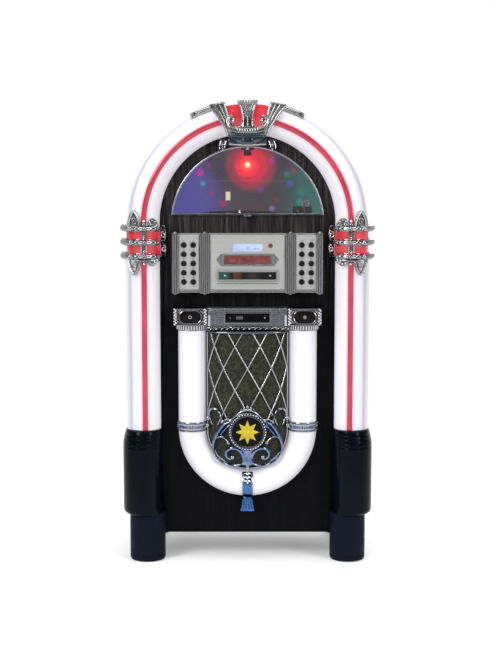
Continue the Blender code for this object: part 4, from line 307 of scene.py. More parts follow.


# finishes, each with its own grain and roughness; some carry painted light or shade

def blackAsh(name="blackAsh", across=30, paintedLightTop=1.0):      # open-pored veneer, stained black
    mat = newFinish(name, Roughness=0.42, Specular_IOR_Level=0.05)
    tree = mat.node_tree
    bend = noise(tree, place(tree, (3, 3, 0.8)), 2.2, 3)
    shifted = addNode(tree, "VectorMath", {"operation": "ADD"}, {0: place(tree, (across, 30, 1.6)),
        1: addNode(tree, "CombineXYZ", None, {1: bend})})
    figure = noise(tree, shifted, 2.6, 5, 0.65)
    pores = noise(tree, place(tree, (across * 14, 420, 9)), 1.0, 3, 0.6)
    rise = upright(tree)[1]
    paintedLightHigh = ramp(tree, rise, [(0.62, 0.0), (0.8, 0.55 * paintedLightTop), (0.95, paintedLightTop)])    # painted light: the wood is made paler high up, towards the lit window
    # the dark stained grain and a paler grain for the painted light; the real pale pores show only where that painted
    # light is
    dark = ramp(tree, figure, [(0.36, (0.0014, 0.0016, 0.0024)), (0.6, (0.0026, 0.0028, 0.0038)),
        (0.74, (0.005, 0.005, 0.0062))])
    paintedLitGrain = ramp(tree, figure, [(0.4, (0.012, 0.011, 0.012)), (0.56, (0.024, 0.022, 0.022)),
        (0.7, (0.085, 0.078, 0.078))])
    pale = calc(tree, "MULTIPLY", ramp(tree, pores, [(0.5, 0.0), (0.7, 1.0)]), paintedLightHigh)
    stainAndPaintedLight = mixed(tree, paintedLightHigh, dark, paintedLitGrain)
    mat = feed(mat, Base_Color=mixed(tree, pale, stainAndPaintedLight, (0.085, 0.076, 0.074)))
    feed(mat, Roughness=ramp(tree, pores, [(0.3, 0.34), (0.8, 0.6)]))
    return feed(mat, Normal=bump(tree, calc(tree, "ADD", pores, figure), 0.35, 0.0006))


def glossBlack(name="glossBlack", tint=(0.0012, 0.0022, 0.005)):      # moulded gloss plastic, with faint ripples
    mat = newFinish(name, Roughness=0.16, Specular_IOR_Level=0.07)
    tree = mat.node_tree
    cloud = noise(tree, place(tree), 14.0, 3)
    feed(mat, Base_Color=mixed(tree, cloud, tint, tuple(c * 1.7 for c in tint)))
    feed(mat, Roughness=ramp(tree, noise(tree, place(tree), 55.0, 4), [(0.35, 0.12), (0.75, 0.24)]))
    return feed(mat, Normal=bump(tree, cloud, 0.06, 0.002))


def matteBlack(name, tint, rough=0.55, grain=900.0, shine=0.12):       # spark-textured plastic
    mat = newFinish(name, Roughness=rough, Specular_IOR_Level=shine)
    tree = mat.node_tree
    fine = noise(tree, place(tree), grain, 2)
    feed(mat, Base_Color=mixed(tree, fine, tint, tuple(c * 1.8 + 0.002 for c in tint)))
    feed(mat, Roughness=ramp(tree, noise(tree, place(tree), 40.0, 3), [(0.3, rough - 0.08), (0.7, rough + 0.1)]))
    return feed(mat, Normal=bump(tree, fine, 0.25, 0.0002))


def glowing(mat, tree, colour, body, lamp):    # a lit diffuser: part of its colour is reflected, part given off
    dim = mixed(tree, 1.0, colour, (body,) * 3, "MULTIPLY")
    feed(mat, Base_Color=dim, Emission_Color=colour)
    mat.node_tree.nodes["Principled BSDF"].inputs["Emission Strength"].default_value = lamp
    return mat


def archTube(spec):                    # milky tube with its red stripe, coloured by the distance from the arch's line; darker towards its edges, partly the clear outer rim and partly painted shade
    mat = newFinish("archTube", Roughness=0.28, Specular_IOR_Level=0.35)
    tree = mat.node_tree
    x, z = upright(tree)
    rise = calc(tree, "MAXIMUM", calc(tree, "SUBTRACT", z, archZ), 0.0)
    reach = calc(tree, "SQRT", calc(tree, "ADD", calc(tree, "MULTIPLY", x, x), calc(tree, "MULTIPLY", rise, rise)))
    across = calc(tree, "DIVIDE", calc(tree, "SUBTRACT", reach, spec["inner"]), spec["width"])
    cloud = calc(tree, "MULTIPLY", calc(tree, "SUBTRACT", noise(tree, place(tree), 9.0, 2), 0.5), 0.012)
    half = spec["stripeWidth"] / spec["width"] / 2
    mid = (spec["stripe"] - spec["inner"]) / spec["width"]
    red = (0.62, 0.05, 0.092)
    # painted shade near both edges, where the tube turns away; the grey band at the outer edge is partly the tube's
    # clear rim
    colour = ramp(tree, calc(tree, "ADD", across, cloud), [(0.0, (0.8, 0.78, 0.86)), (0.07, (0.9, 0.88, 0.94)),
        (mid - half - 0.1, (0.92, 0.89, 0.95)), (mid - half - 0.035, (0.92, 0.72, 0.82)), (mid - half - 0.004,
        (0.86, 0.36, 0.48)), (mid - half, red), (mid + half, red), (mid + half + 0.004, (0.86, 0.4, 0.52)),
        (mid + half + 0.035, (0.95, 0.78, 0.9)), (mid + half + 0.1, (0.93, 0.89, 0.97)), (0.83, (0.86, 0.85, 0.93)),
        (0.885, (0.62, 0.61, 0.72)), (0.92, (0.58, 0.57, 0.66)), (0.95, (0.72, 0.71, 0.78)), (1.0, (0.8, 0.8, 0.84))])
    return glowing(mat, tree, colour, 0.58, 0.41)


def upright(tree):                     # |x| and z of a point, in the object's own coordinates
    split = tree.nodes.new("ShaderNodeSeparateXYZ")
    tree.links.new(addNode(tree, "TexCoord", out=3), split.inputs[0])
    return calc(tree, "ABSOLUTE", split.outputs[0]), split.outputs[2]


def bendTube(spec):                    # the same diffuser, whitest along the middle of the U's tube, its sides darkened by painted shade
    mat = newFinish("bendTube", Roughness=0.28, Specular_IOR_Level=0.35)
    tree = mat.node_tree
    x, z = upright(tree)
    drop = calc(tree, "MINIMUM", calc(tree, "SUBTRACT", z, spec["centreZ"]), 0.0)
    reach = calc(tree, "SQRT", calc(tree, "ADD", calc(tree, "MULTIPLY", x, x), calc(tree, "MULTIPLY", drop, drop)))
    off = calc(tree, "ABSOLUTE", calc(tree, "SUBTRACT", reach, spec["legX"]))
    share = calc(tree, "DIVIDE", off, spec["radius"])
    # painted shade: the round tube greys towards its sides
    colour = ramp(tree, share, [(0.0, (0.95, 0.945, 0.985)), (0.55, (0.93, 0.925, 0.965)), (0.84, (0.84, 0.83, 0.9)),
        (1.0, (0.62, 0.61, 0.7))])
    return glowing(mat, tree, colour, 0.6, 0.37)


def chromePlate(name="chromePlate", tint=(0.4, 0.395, 0.405), rough=0.08, cast=None):
    # plate with painted shade in its hollows, from ambient occlusion, and where wanted a second cast in clouds
    mat = newFinish(name, Metallic=1.0, Roughness=rough, Specular_Tint=(0.62, 0.62, 0.66))
    tree = mat.node_tree
    hollow = addNode(tree, "AmbientOcclusion", {"samples": 6}, {"Distance": 0.006}, out=1)
    dull = noise(tree, place(tree), 60.0, 3)
    # painted shade: the base colour darkens where the occlusion finds a hollow
    deep = ramp(tree, hollow, [(0.3, (0.1, 0.1, 0.11)), (0.85, (1, 1, 1))])
    plate = mixed(tree, ramp(tree, noise(tree, place(tree), 75.0, 2), [(0.42, 0.0), (0.6, 1.0)]), tint, cast or tint)
    feed(mat, Base_Color=mixed(tree, 1.0, plate, deep, "MULTIPLY"))
    feed(mat, Roughness=ramp(tree, dull, [(0.35, rough * 0.7), (0.8, rough * 2.2)]))
    return feed(mat, Normal=bump(tree, noise(tree, place(tree), 220.0, 2), 0.05, 0.0004))


def brushedPlate(name, tint, rough, scale=(900, 900, 6)):               # brushed lengthways
    mat = newFinish(name, Metallic=0.9, Roughness=rough)
    tree = mat.node_tree
    lines = noise(tree, place(tree, scale), 1.0, 3, 0.7)
    feed(mat, Base_Color=mixed(tree, lines, tuple(c * 0.72 for c in tint), tint))
    feed(mat, Roughness=ramp(tree, lines, [(0.3, rough - 0.07), (0.7, rough + 0.1)]))
    return feed(mat, Normal=bump(tree, lines, 0.22, 0.0002))


def satinPaint(name, tint, rough=0.38):                                 # fine orange-peel and metal flake
    mat = newFinish(name, Metallic=0.25, Roughness=rough, Specular_IOR_Level=0.4)
    tree = mat.node_tree
    flake = noise(tree, place(tree), 1500.0, 2)
    cloud = noise(tree, place(tree), 7.0, 3)
    shade = mixed(tree, cloud, tuple(c * 0.93 for c in tint), tuple(c * 1.05 for c in tint))
    feed(mat, Base_Color=mixed(tree, calc(tree, "MULTIPLY", flake, 0.16), shade, tuple(c * 0.7 for c in tint)))
    feed(mat, Roughness=ramp(tree, flake, [(0.3, rough - 0.05), (0.7, rough + 0.07)]))
    return feed(mat, Normal=bump(tree, noise(tree, place(tree), 420.0, 2), 0.08, 0.0003))


# coloured lens over lamps, brighter in patches
def litLens(name, deep, bright, lamp=0.5, ribs=None):
    mat = newFinish(name, Roughness=0.12, Specular_IOR_Level=0.5, Coat_Weight=0.4, Coat_Roughness=0.05)
    tree = mat.node_tree
    cloud = noise(tree, place(tree), ribs or 26.0, 2)
    colour = ramp(tree, cloud, [(0.3, deep), (0.68, bright)])
    glowing(mat, tree, colour, 0.55, lamp)
    return feed(mat, Normal=bump(tree, noise(tree, place(tree), 160.0, 2), 0.12, 0.0005))


def clothWeave(name="grilleWeave"):    # coarse basket weave in olive and brown threads
    mat = newFinish(name, Roughness=0.88, Specular_IOR_Level=0.2, Sheen_Weight=0.25, Sheen_Roughness=0.5)
    tree = mat.node_tree
    warp = addNode(tree, "TexWave", {"bands_direction": "X"}, {"Vector": place(tree), "Scale": 170.0,
        "Distortion": 0.6, "Detail": 1.0}, out=1)
    weft = addNode(tree, "TexWave", {"bands_direction": "Z"}, {"Vector": place(tree), "Scale": 170.0,
        "Distortion": 0.6, "Detail": 1.0}, out=1)
    weave = calc(tree, "MULTIPLY", warp, weft)
    slub = noise(tree, place(tree, (1, 1, 1)), 130.0, 3, 0.7)
    cloud = noise(tree, place(tree), 18.0, 4, 0.6)
    thread = ramp(tree, slub, [(0.34, (0.014, 0.015, 0.011)), (0.55, (0.048, 0.051, 0.036)),
        (0.74, (0.135, 0.14, 0.098))])
    shade = mixed(tree, cloud, (0.45, 0.42, 0.36), (1.25, 1.25, 1.1))
    lit = mixed(tree, 1.0, thread, shade, "MULTIPLY")
    feed(mat, Base_Color=mixed(tree, ramp(tree, weave, [(0.0, 0.55), (0.5, 0.0)]), lit, (0.004, 0.004, 0.004)))
    return feed(mat, Normal=bump(tree, calc(tree, "ADD", weave, slub), 0.6, 0.0006))


def pageWhite(spec):                   # the studio floor: white away from the object, and shaded under it
    mat = newFinish("pageWhite", Roughness=0.6, Specular_IOR_Level=0.2)
    tree = mat.node_tree
    feed(mat, Base_Color=mixed(tree, noise(tree, place(tree), 3.0, 2), spec["paper"], spec["paperDark"]))
    shader = tree.nodes["Principled BSDF"]
    path = tree.nodes.new("ShaderNodeLightPath")
    seen = calc(tree, "MAXIMUM", calc(tree, "MAXIMUM", path.outputs["Is Camera Ray"], path.outputs["Is Glossy Ray"]),
        path.outputs["Is Transmission Ray"])
    lift = addNode(tree, "Emission", None, {"Color": (1, 1, 1, 1), "Strength": calc(tree, "MULTIPLY", seen,
        spec["lift"])})
    both = addNode(tree, "AddShader", None, {0: shader.outputs[0], 1: lift})
    far = addNode(tree, "VectorMath", {"operation": "LENGTH"}, {0: place(tree)}, out=1)
    fade = ramp(tree, calc(tree, "MULTIPLY", far, 0.2), [(spec["near"] * 0.2, 0.0), (spec["far"] * 0.2, 1.0)])
    page = addNode(tree, "Emission", None, {"Color": (1, 1, 1, 1), "Strength": calc(tree, "MULTIPLY", seen, 1.0)})
    tree.links.new(addNode(tree, "MixShader", None, {0: fade, 1: both, 2: page}),
        tree.nodes["Material Output"].inputs[0])
    return mat


# the studio, its lamps and the camera

studioSizes = {"floor": 9.0, "lens": 88.05, "eye": (0.00126, -4.1648, 1.15), "tilt": 7.98, "room": 0.42,
    "paper": (0.8, 0.8, 0.8), "paperDark": (0.78, 0.78, 0.785), "lift": 0.24, "near": 0.75, "far": 1.7}


def softLamp(name, at, aim, size, watts, tint=(1, 1, 1)):
    light = bpy.data.lights.new(name, "AREA")
    light.shape, light.size, light.size_y = "RECTANGLE", size[0], size[1]
    light.energy, light.color = watts, tint
    lamp = bpy.data.objects.new(name, light)
    lamp.location = at
    lamp.rotation_euler = (Vector(aim) - Vector(at)).to_track_quat("-Z", "Y").to_euler()
    bpy.context.scene.collection.objects.link(lamp)


def setStudio(spec):
    scene = bpy.context.scene
    scene.view_settings.view_transform = "Standard"
    world = bpy.data.worlds.new("studio")
    scene.world = world
    world.use_nodes = True
    tree = world.node_tree
    path = tree.nodes.new("ShaderNodeLightPath")
    # a dark room behind the photographer, white paper behind the object
    away = tree.nodes.new("ShaderNodeSeparateXYZ")
    tree.links.new(addNode(tree, "TexCoord", out=0), away.inputs[0])
    room = ramp(tree, calc(tree, "MULTIPLY", calc(tree, "ADD", away.outputs[1], 1.0), 0.5),
        [(0.0, 0.22), (0.22, 0.07), (0.46, 0.16), (0.62, 0.5), (0.78, 1.0)])
    shine = mixed(tree, path.outputs["Is Glossy Ray"], (spec["room"],) * 3, room)
    clear = calc(tree, "MAXIMUM", path.outputs["Is Camera Ray"], path.outputs["Is Transmission Ray"])
    colour = mixed(tree, clear, shine, (1, 1, 1))
    tree.links.new(colour, tree.nodes["Background"].inputs[0])
    softLamp("keyLamp", (-2.3, -2.7, 2.5), (0, 0, 0.6), (1.3, 1.9), 104)
    softLamp("fillLamp", (2.6, -2.5, 1.7), (0, 0, 0.6), (0.9, 2.0), 56)
    softLamp("topLamp", (0.0, -0.4, 3.3), (0, 0, 0.5), (2.4, 1.4), 52)
    softLamp("backLamp", (0.6, 3.2, 2.2), (0, 0, 0.6), (1.8, 1.8), 62)
    bm = bmesh.new()
    bmesh.ops.create_grid(bm, x_segments=24, y_segments=24, size=spec["floor"])
    mesh = bpy.data.meshes.new("floorSheet")
    bm.to_mesh(mesh)
    bm.free()
    mesh.materials.append(pageWhite(spec))
    floor = bpy.data.objects.new("floorSheet", mesh)
    scene.collection.objects.link(floor)
    eye = bpy.data.cameras.new("photoCamera")
    eye.lens, eye.sensor_width, eye.clip_end = spec["lens"], 36, 60
    camera = bpy.data.objects.new("photoCamera", eye)
    camera.location = spec["eye"]
    camera.rotation_euler = (radians(90 - spec["tilt"]), 0, 0)
    scene.collection.objects.link(camera)
    scene.camera = camera


setStudio(studioSizes)
print("studio and camera ready")

ash = blackAsh()
bentAsh = blackAsh("bentAsh", 1.6, 0.35)           # on the bent shell the grain follows the bend
gloss = glossBlack()
chrome = chromePlate()
coolChrome = chromePlate("coolChrome", (0.36, 0.365, 0.385), 0.09, (0.24, 0.27, 0.34))
satinChrome = chromePlate("satinChrome", (0.36, 0.362, 0.36), 0.25)
# the pale, dark and ring-dark copies below are one plating made lighter or darker: painted highlight on parts that
# look bright, painted shade on parts that look dark
paintedLitChrome = chromePlate("paintedLitChrome", (0.62, 0.62, 0.65))
paintedShadeChrome = chromePlate("paintedShadeChrome", (0.25, 0.25, 0.265), 0.1)
blueChrome = chromePlate("blueChrome", (0.11, 0.2, 0.42), 0.1, (0.22, 0.25, 0.36))
clipBlue = chromePlate("clipBlue", (0.045, 0.15, 0.36), 0.16, (0.075, 0.17, 0.4))
paintedDeepShadeChrome = chromePlate("paintedDeepShadeChrome", (0.13, 0.135, 0.16), 0.12)
brushedSteel = brushedPlate("brushedSteel", (0.5, 0.5, 0.51), 0.28)
boardBrown = matteBlack("hardboard", (0.012, 0.011, 0.01), 0.7, 300.0)
plasticBlack = matteBlack("plasticBlack", (0.009, 0.009, 0.01), 0.42)
rubber = matteBlack("footRubber", (0.0026, 0.0042, 0.01), 0.5, 500.0, 0.06)

# wooden cabinet: bent shell and front board

cabinetSizes = {"half": 0.2855, "kick": (0.208, 0.0662), "board": 0.012, "bottom": 0.078, "front": -0.1195,
    "seam": -0.1072, "back": 0.1865, "edge": 0.0015, "windowRadius": 0.1875, "windowSill": 0.8805, "coneHole": 0.062,
    "coneZ": 0.47,}


def archLoop(half, bottom, steps=96):
    return [(half, bottom)] + arcPoints(0, archZ, half, half, 0, halfTurn, steps) + [(-half, bottom)]


def segmentLoop(radius, sill, steps=72):        # a disc's part above the sill
    start = asin((sill - archZ) / radius)
    return arcPoints(0, archZ, radius, radius, start, halfTurn - start, steps)


def ringLoop(x, z, radius, steps=48):
    return arcPoints(x, z, radius, radius, 0, 2 * halfTurn, steps)[:-1]


def makeCabinet(spec):
    inner = spec["half"] - spec["board"]
    bm = bmesh.new()
    ring = archLoop(spec["half"], spec["bottom"]) + archLoop(inner, spec["bottom"])[::-1]
    plateIn(bm, [ring], spec["back"], spec["seam"], spec["edge"])
    finishPiece(bm, "bentShell", "cabinet", bentAsh, ["cabinet_shell"])
    bm = bmesh.new()
    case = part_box("disc_drive")
    half, low, high = case[1][0] + 0.0004, case[0][2] - 0.0004, case[1][2] + 0.0004
    slot = [(half, low), (half, high), (-half, high), (-half, low)]
    kick, foot = spec["kick"]          # the board reaches lower between the feet
    edge = [(-kick, spec["bottom"]), (-kick, foot), (kick, foot), (kick, spec["bottom"])]
    loops = [archLoop(spec["half"], spec["bottom"]) + edge, segmentLoop(spec["windowRadius"], spec["windowSill"]),
        ringLoop(0, spec["coneZ"], spec["coneHole"]), slot]
    plateIn(bm, loops, spec["seam"] - 0.0003, spec["front"], spec["edge"] / 2)
    finishPiece(bm, "frontBoard", "cabinet", ash, ["front_panel"])


makeCabinet(cabinetSizes)

# hardboard back with its vent slots and screws

backSizes = {"half": 0.2732, "bottom": 0.078, "inner": 0.1765, "outer": 0.1825, "slot": (0.11, 0.007), "rows": 6,
    "pitch": 0.02, "middle": 0.42, "socket": (-0.17, 0.15, 0.0281, 0.0206), "screw": 0.0038, "screwInset": 0.012}


def ovalLoop(x, z, width, height, steps=10):
    reach = width / 2 - height / 2
    right = arcPoints(x + reach, z, height / 2, height / 2, -halfTurn / 2, halfTurn / 2, steps)
    return right + [(2 * x - px, 2 * z - pz) for px, pz in right]


def screwIn(bm, at, radius, slot=0, facing=-1):         # a domed head with a cross in it
    x, y, z = at
    head = turnIn(bm, [(radius, 0), (radius, radius * 0.25), (radius * 0.7, radius * 0.5), (0, radius * 0.58)],
        (0, 0, 0), "Y", 16, slot)
    for angle in (0.5, 0.5 + halfTurn / 2):
        bar = boxIn(bm, (-radius * 0.62, -radius * 0.66, -radius * 0.1), (radius * 0.62, -radius * 0.5, radius * 0.1),
            radius * 0.04, 1, slot + 1)
        bmesh.ops.rotate(bm, verts=bar, cent=(0, 0, 0), matrix=Matrix.Rotation(angle, 3, "Y"))
        head += bar
    if facing > 0:
        bmesh.ops.rotate(bm, verts=head, cent=(0, 0, 0), matrix=Matrix.Rotation(halfTurn, 3, "Z"))
    bmesh.ops.translate(bm, vec=(x, y, z), verts=head)
    return head


def makeBack(spec):
    sx, sz, sw, sh = spec["socket"]
    rows = [spec["middle"] + (row - (spec["rows"] - 1) / 2) * spec["pitch"] for row in range(spec["rows"])]
    loops = [archLoop(spec["half"], spec["bottom"]), [(sx + sw / 2, sz - sh / 2), (sx + sw / 2, sz + sh / 2),
        (sx - sw / 2, sz + sh / 2), (sx - sw / 2, sz - sh / 2)]]
    loops += [ovalLoop(0, z, *spec["slot"]) for z in rows]
    bm = bmesh.new()
    plateIn(bm, loops, spec["outer"], spec["inner"], 0.0005)
    reach = spec["half"] - spec["screwInset"]
    spots = [(side * reach, z) for side in (-1, 1) for z in (0.1, 0.28, 0.47, 0.66, archZ)]
    spots += [(reach * cos(a), archZ + reach * sin(a)) for a in (0.7, 1.2, halfTurn - 0.7, halfTurn - 1.2)]
    spots += [(-0.09, 0.09), (0.09, 0.09)]
    for x, z in spots:
        screwIn(bm, (x, spec["outer"], z), spec["screw"], 1, 1)
    finishPiece(bm, "backBoard", "cabinet", [boardBrown, brushedSteel, plasticBlack], ["rear_panel"])


makeBack(backSizes)
print("cabinet done")

# lit tubes: two halves of the arch, each a bent bar with a raised stripe

tubeSizes = {"inner": 0.219, "width": 0.08, "depth": 0.045, "lead": 0.007, "lip": -0.1015, "hook": 0.2858,
    "bottom": 0.3398, "stripe": 0.256, "stripeWidth": 0.0125, "stripeRise": 0.001, "quarter": 40,
    "swell": (0.783, 0.773), "grow": 1.13}


def wrapLine(inner, outer, depth, steps, lead=0.007):    # plan of a rounded front, from the board out and back
    return [(inner, seatY)] + arcPoints((inner + outer) / 2, seatY - lead, (outer - inner) / 2, depth - lead,
        halfTurn, 2 * halfTurn, steps)


def frontAt(spec, x):                                    # how far forward the tube is at this distance
    half = spec["width"] / 2
    share = (x - spec["inner"] - half) / half
    return seatY - spec["lead"] - (spec["depth"] - spec["lead"]) * sqrt(max(0.0, 1 - share * share))


def bentBarIn(bm, section, bottom, steps, slot=0, sign=1):
    before = set(bm.verts)
    ring = [bm.verts.new((x, y, bottom)) for x, y in section]
    face = bm.faces.new(ring)
    risen = bmesh.ops.extrude_face_region(bm, geom=[face])["geom"]
    bmesh.ops.translate(bm, vec=(0, 0, archZ - bottom), verts=[g for g in risen if isinstance(g, bmesh.types.BMVert)])
    top = [g for g in risen if isinstance(g, bmesh.types.BMFace)][0]
    bmesh.ops.spin(bm, geom=[top] + list(top.edges) + list(top.verts), cent=(0, 0, archZ), axis=(0, -1, 0),
        angle=halfTurn / 2 - 0.0013, steps=steps)
    made = [v for v in bm.verts if v not in before]
    if sign < 0:
        bmesh.ops.scale(bm, vec=(-1, 1, 1), verts=made)
    paint(made, slot)
    return made


def makeTubes(spec):
    mats = [archTube(spec), litLens("stripeRed", (0.52, 0.03, 0.062), (0.7, 0.062, 0.105), 0.3, 12.0)]
    outer = spec["inner"] + spec["width"]
    wall = wrapLine(spec["inner"], outer, spec["depth"], 40)
    wall += [(outer, spec["lip"]), (spec["hook"], spec["lip"]), (spec["hook"], seatY)]
    low, high = spec["stripe"] - spec["stripeWidth"] / 2, spec["stripe"] + spec["stripeWidth"] / 2
    xs = [low, low + 0.0012, spec["stripe"], high - 0.0012, high]
    rises = [0.0, spec["stripeRise"], spec["stripeRise"], spec["stripeRise"], 0.0]
    rib = [(x, frontAt(spec, x) - rise) for x, rise in zip(xs, rises)]
    rib += [(x, frontAt(spec, x) + 0.0015) for x in (high, spec["stripe"], low)]
    for side, sign in (("Left", -1), ("Right", 1)):
        bm = bmesh.new()
        bentBarIn(bm, wall, spec["bottom"], spec["quarter"], 0, sign)
        bentBarIn(bm, rib, spec["bottom"], spec["quarter"], 1, sign)
        for level in spec["swell"]:    # below the clasps the columns are a little thicker
            bmesh.ops.bisect_plane(bm, geom=bm.verts[:] + bm.edges[:] + bm.faces[:], plane_co=(0, 0, level),
                plane_no=(0, 0, 1))
        for v in bm.verts:
            if v.co.z < spec["swell"][1] + 0.001:
                off = abs(v.co.x) - spec["stripe"]
                if abs(v.co.x) < spec["hook"] + 0.02 and not (abs(abs(v.co.x) - spec["hook"]) < 1e-5):
                    v.co.x = sign * (spec["stripe"] + off * (spec["grow"] if off > 0.008 else 1.0))
        finishPiece(bm, "archTube" + side, "cabinet", mats, ["light_tube_" + side.lower()], 50)


makeTubes(tubeSizes)

# gloss boots under the columns, with their feet

bootSizes = {"outer": 0.315, "width": 0.1, "depth": 0.0667, "lip": -0.1015, "hook": 0.2858, "bottom": 0.121,
    "top": 0.3395, "taper": 0.009, "neck": 0.048, "groove": 0.0026, "pitch": 0.0105, "grooves": 4, "round": 0.014,
    "footX": 0.2544, "footRadius": 0.045, "footFront": -0.1245}


def makeBoots(spec):
    neck = spec["top"] - spec["neck"]
    levels = []
    for i in range(9):
        a = halfTurn / 2 * i / 8
        levels.append((spec["bottom"] + spec["round"] * (1 - cos(a)), -spec["round"] * (1 - sin(a))))
    levels += [(spec["bottom"] + (neck - spec["bottom"]) * i / 6, 0.0) for i in range(1, 6)]
    count = 96
    for i in range(count + 1):
        z = neck + (spec["top"] - neck) * i / count
        turn = ((z - neck) / spec["pitch"]) % 1.0
        inside = z < neck + spec["pitch"] * spec["grooves"]
        cut = max(0.0, 1 - abs(turn - 0.5) / 0.26) if inside else 0.0
        cut = 1 - (1 - min(1.0, cut)) ** 2
        edge = max(0.0, 1 - (spec["top"] - z) / 0.0022) ** 2
        grow = -spec["taper"] * ((z - neck) / spec["neck"]) ** 2 - spec["groove"] * cut - 0.0022 * edge
        levels.append((z, grow))
    for side, sign in (("Left", -1), ("Right", 1)):
        bm = bmesh.new()
        plans = []
        for z, grow in levels:
            outer = spec["outer"] + grow
            plan = wrapLine(spec["outer"] - spec["width"], outer, spec["depth"] + grow, 44)
            plan += [(outer, spec["lip"]), (spec["hook"], spec["lip"]), (spec["hook"], seatY)]
            plans.append([(sign * x, y, z) for x, y in plan])
        skinIn(bm, plans)
        r, x, y = spec["footRadius"], sign * spec["footX"], spec["footFront"]
        turnIn(bm, [(0, 0), (r - 0.006, 0), (r - 0.002, 0.0015), (r, 0.006), (r, 0.012), (r - 0.0012, 0.0135),
            (r, 0.015), (r, 0.0777), (0, 0.0777)], (x, y, 0), "Z", 64, 1)
        turn = asin((seatY - 0.0005 - y) / r)        # above the floor board it is cut flat at the front board
        plan = arcPoints(x, y, r, r, halfTurn - turn, 2 * halfTurn + turn, 48)
        stub = bm.faces.new([bm.verts.new((px, py, 0.0776)) for px, py in plan])
        paint(list(stub.verts) + raiseFace(bm, stub, spec["bottom"] + 0.003 - 0.0776), 1)
        finishPiece(bm, "boot" + side, "cabinet", [gloss, rubber], ["boot_" + side.lower()], 32)


makeBoots(bootSizes)
print("tubes and boots done")

# U-shaped tube round the grille

uSizes = {"legX": 0.1395, "radius": 0.0345, "axis": -0.1238, "top": 0.59, "centreZ": 0.338, "bend": 56}


def makeBend(spec):
    half = acos((seatY - spec["axis"]) / spec["radius"])
    plan = arcPoints(spec["legX"], spec["axis"], spec["radius"], spec["radius"], halfTurn / 2 + half,
        2.5 * halfTurn - half, 44)
    bm = bmesh.new()
    ring = [bm.verts.new((x, y, spec["top"])) for x, y in plan]
    top = bm.faces.new(ring)
    risen = bmesh.ops.extrude_face_region(bm, geom=[top])["geom"]
    bmesh.ops.translate(bm, vec=(0, 0, spec["centreZ"] - spec["top"]), verts=[g for g in risen if isinstance(g,
        bmesh.types.BMVert)])
    end = [g for g in risen if isinstance(g, bmesh.types.BMFace)][0]
    last = bmesh.ops.spin(bm, geom=[end] + list(end.edges) + list(end.verts), cent=(0, 0, spec["centreZ"]),
        axis=(0, 1, 0), angle=halfTurn, steps=spec["bend"])["geom_last"]
    end = [g for g in last if isinstance(g, bmesh.types.BMFace)]
    risen = bmesh.ops.extrude_face_region(bm, geom=end)["geom"]
    bmesh.ops.translate(bm, vec=(0, 0, spec["top"] - spec["centreZ"]), verts=[g for g in risen if isinstance(g,
        bmesh.types.BMVert)])
    loose = [f for f in end if f.is_valid]
    bmesh.ops.delete(bm, geom=loose, context="FACES_ONLY")
    bmesh.ops.remove_doubles(bm, verts=bm.verts, dist=1e-5)
    finishPiece(bm, "bendTube", "cabinet", bendTube(spec), ["u_tube"])


makeBend(uSizes)

# grille cloth: one stretched sheet, bulged, with a dome at its foot

clothSizes = {"half": 0.1047, "bulge": 0.046, "top": 0.59, "centreZ": 0.338, "thread": 0.0012}


def swell(x, z, off=0.0):              # how far forward a point that stands this far off the cloth lies
    spec = clothSizes
    drop = min(0.0, z - spec["centreZ"])
    share = min(1.0, hypot(x, drop) / spec["half"])
    slope = sqrt(1 - share * share)
    facing = spec["half"] * slope / max(1e-6, hypot(spec["half"] * slope, spec["bulge"] * share))
    return seatY - spec["bulge"] * slope - off / max(facing, 0.25)


def makeCloth(spec):
    bm = bmesh.new()
    angles = [halfTurn / 2 * i / 30 for i in range(-30, 31)]
    across = [(spec["half"] * sin(a), seatY - spec["bulge"] * cos(a)) for a in angles]
    ring = [bm.verts.new((x, y, spec["centreZ"])) for x, y in across]
    edges = [bm.edges.new(pair) for pair in zip(ring, ring[1:])]
    rows = 36
    for _ in range(rows):
        risen = bmesh.ops.extrude_edge_only(bm, edges=edges)["geom"]
        edges = [g for g in risen if isinstance(g, bmesh.types.BMEdge)]
        bmesh.ops.translate(bm, vec=(0, 0, (spec["top"] - spec["centreZ"]) / rows),
            verts=[g for g in risen if isinstance(g, bmesh.types.BMVert)])
    spoke = [bm.verts.new((x, y, spec["centreZ"])) for x, y in across[30:]]
    spokes = [bm.edges.new(pair) for pair in zip(spoke, spoke[1:])]
    bmesh.ops.spin(bm, geom=spoke + spokes, cent=(0, 0, spec["centreZ"]), axis=(0, 1, 0), angle=halfTurn, steps=60)
    bmesh.ops.remove_doubles(bm, verts=bm.verts, dist=2e-5)
    bmesh.ops.recalc_face_normals(bm, faces=bm.faces)
    if sum(f.normal.y * f.calc_area() for f in bm.faces) > 0:
        bmesh.ops.reverse_faces(bm, faces=bm.faces)
    flat = sum(f.calc_area() for f in bm.faces)
    cloth = finishPiece(bm, "grilleCloth", "cabinet", clothWeave(), ["grille_cloth"], 60, False)
    wall = cloth.modifiers.new("thickness", "SOLIDIFY")
    wall.thickness, wall.offset = spec["thread"], -1
    print("cloth area", round(flat, 5))


makeCloth(clothSizes)

# diamond lattice of round wire over the cloth, with its rim and head

latticeSizes = {"wire": 0.002, "head": 0.0028, "rim": 0.0023, "halfAngle": 0.304, "halfPitch": 0.0555,
    "crossing": 0.4975, "low": 0.352, "reach": 73, "layer": 0.0004, "gap": 0.0006}


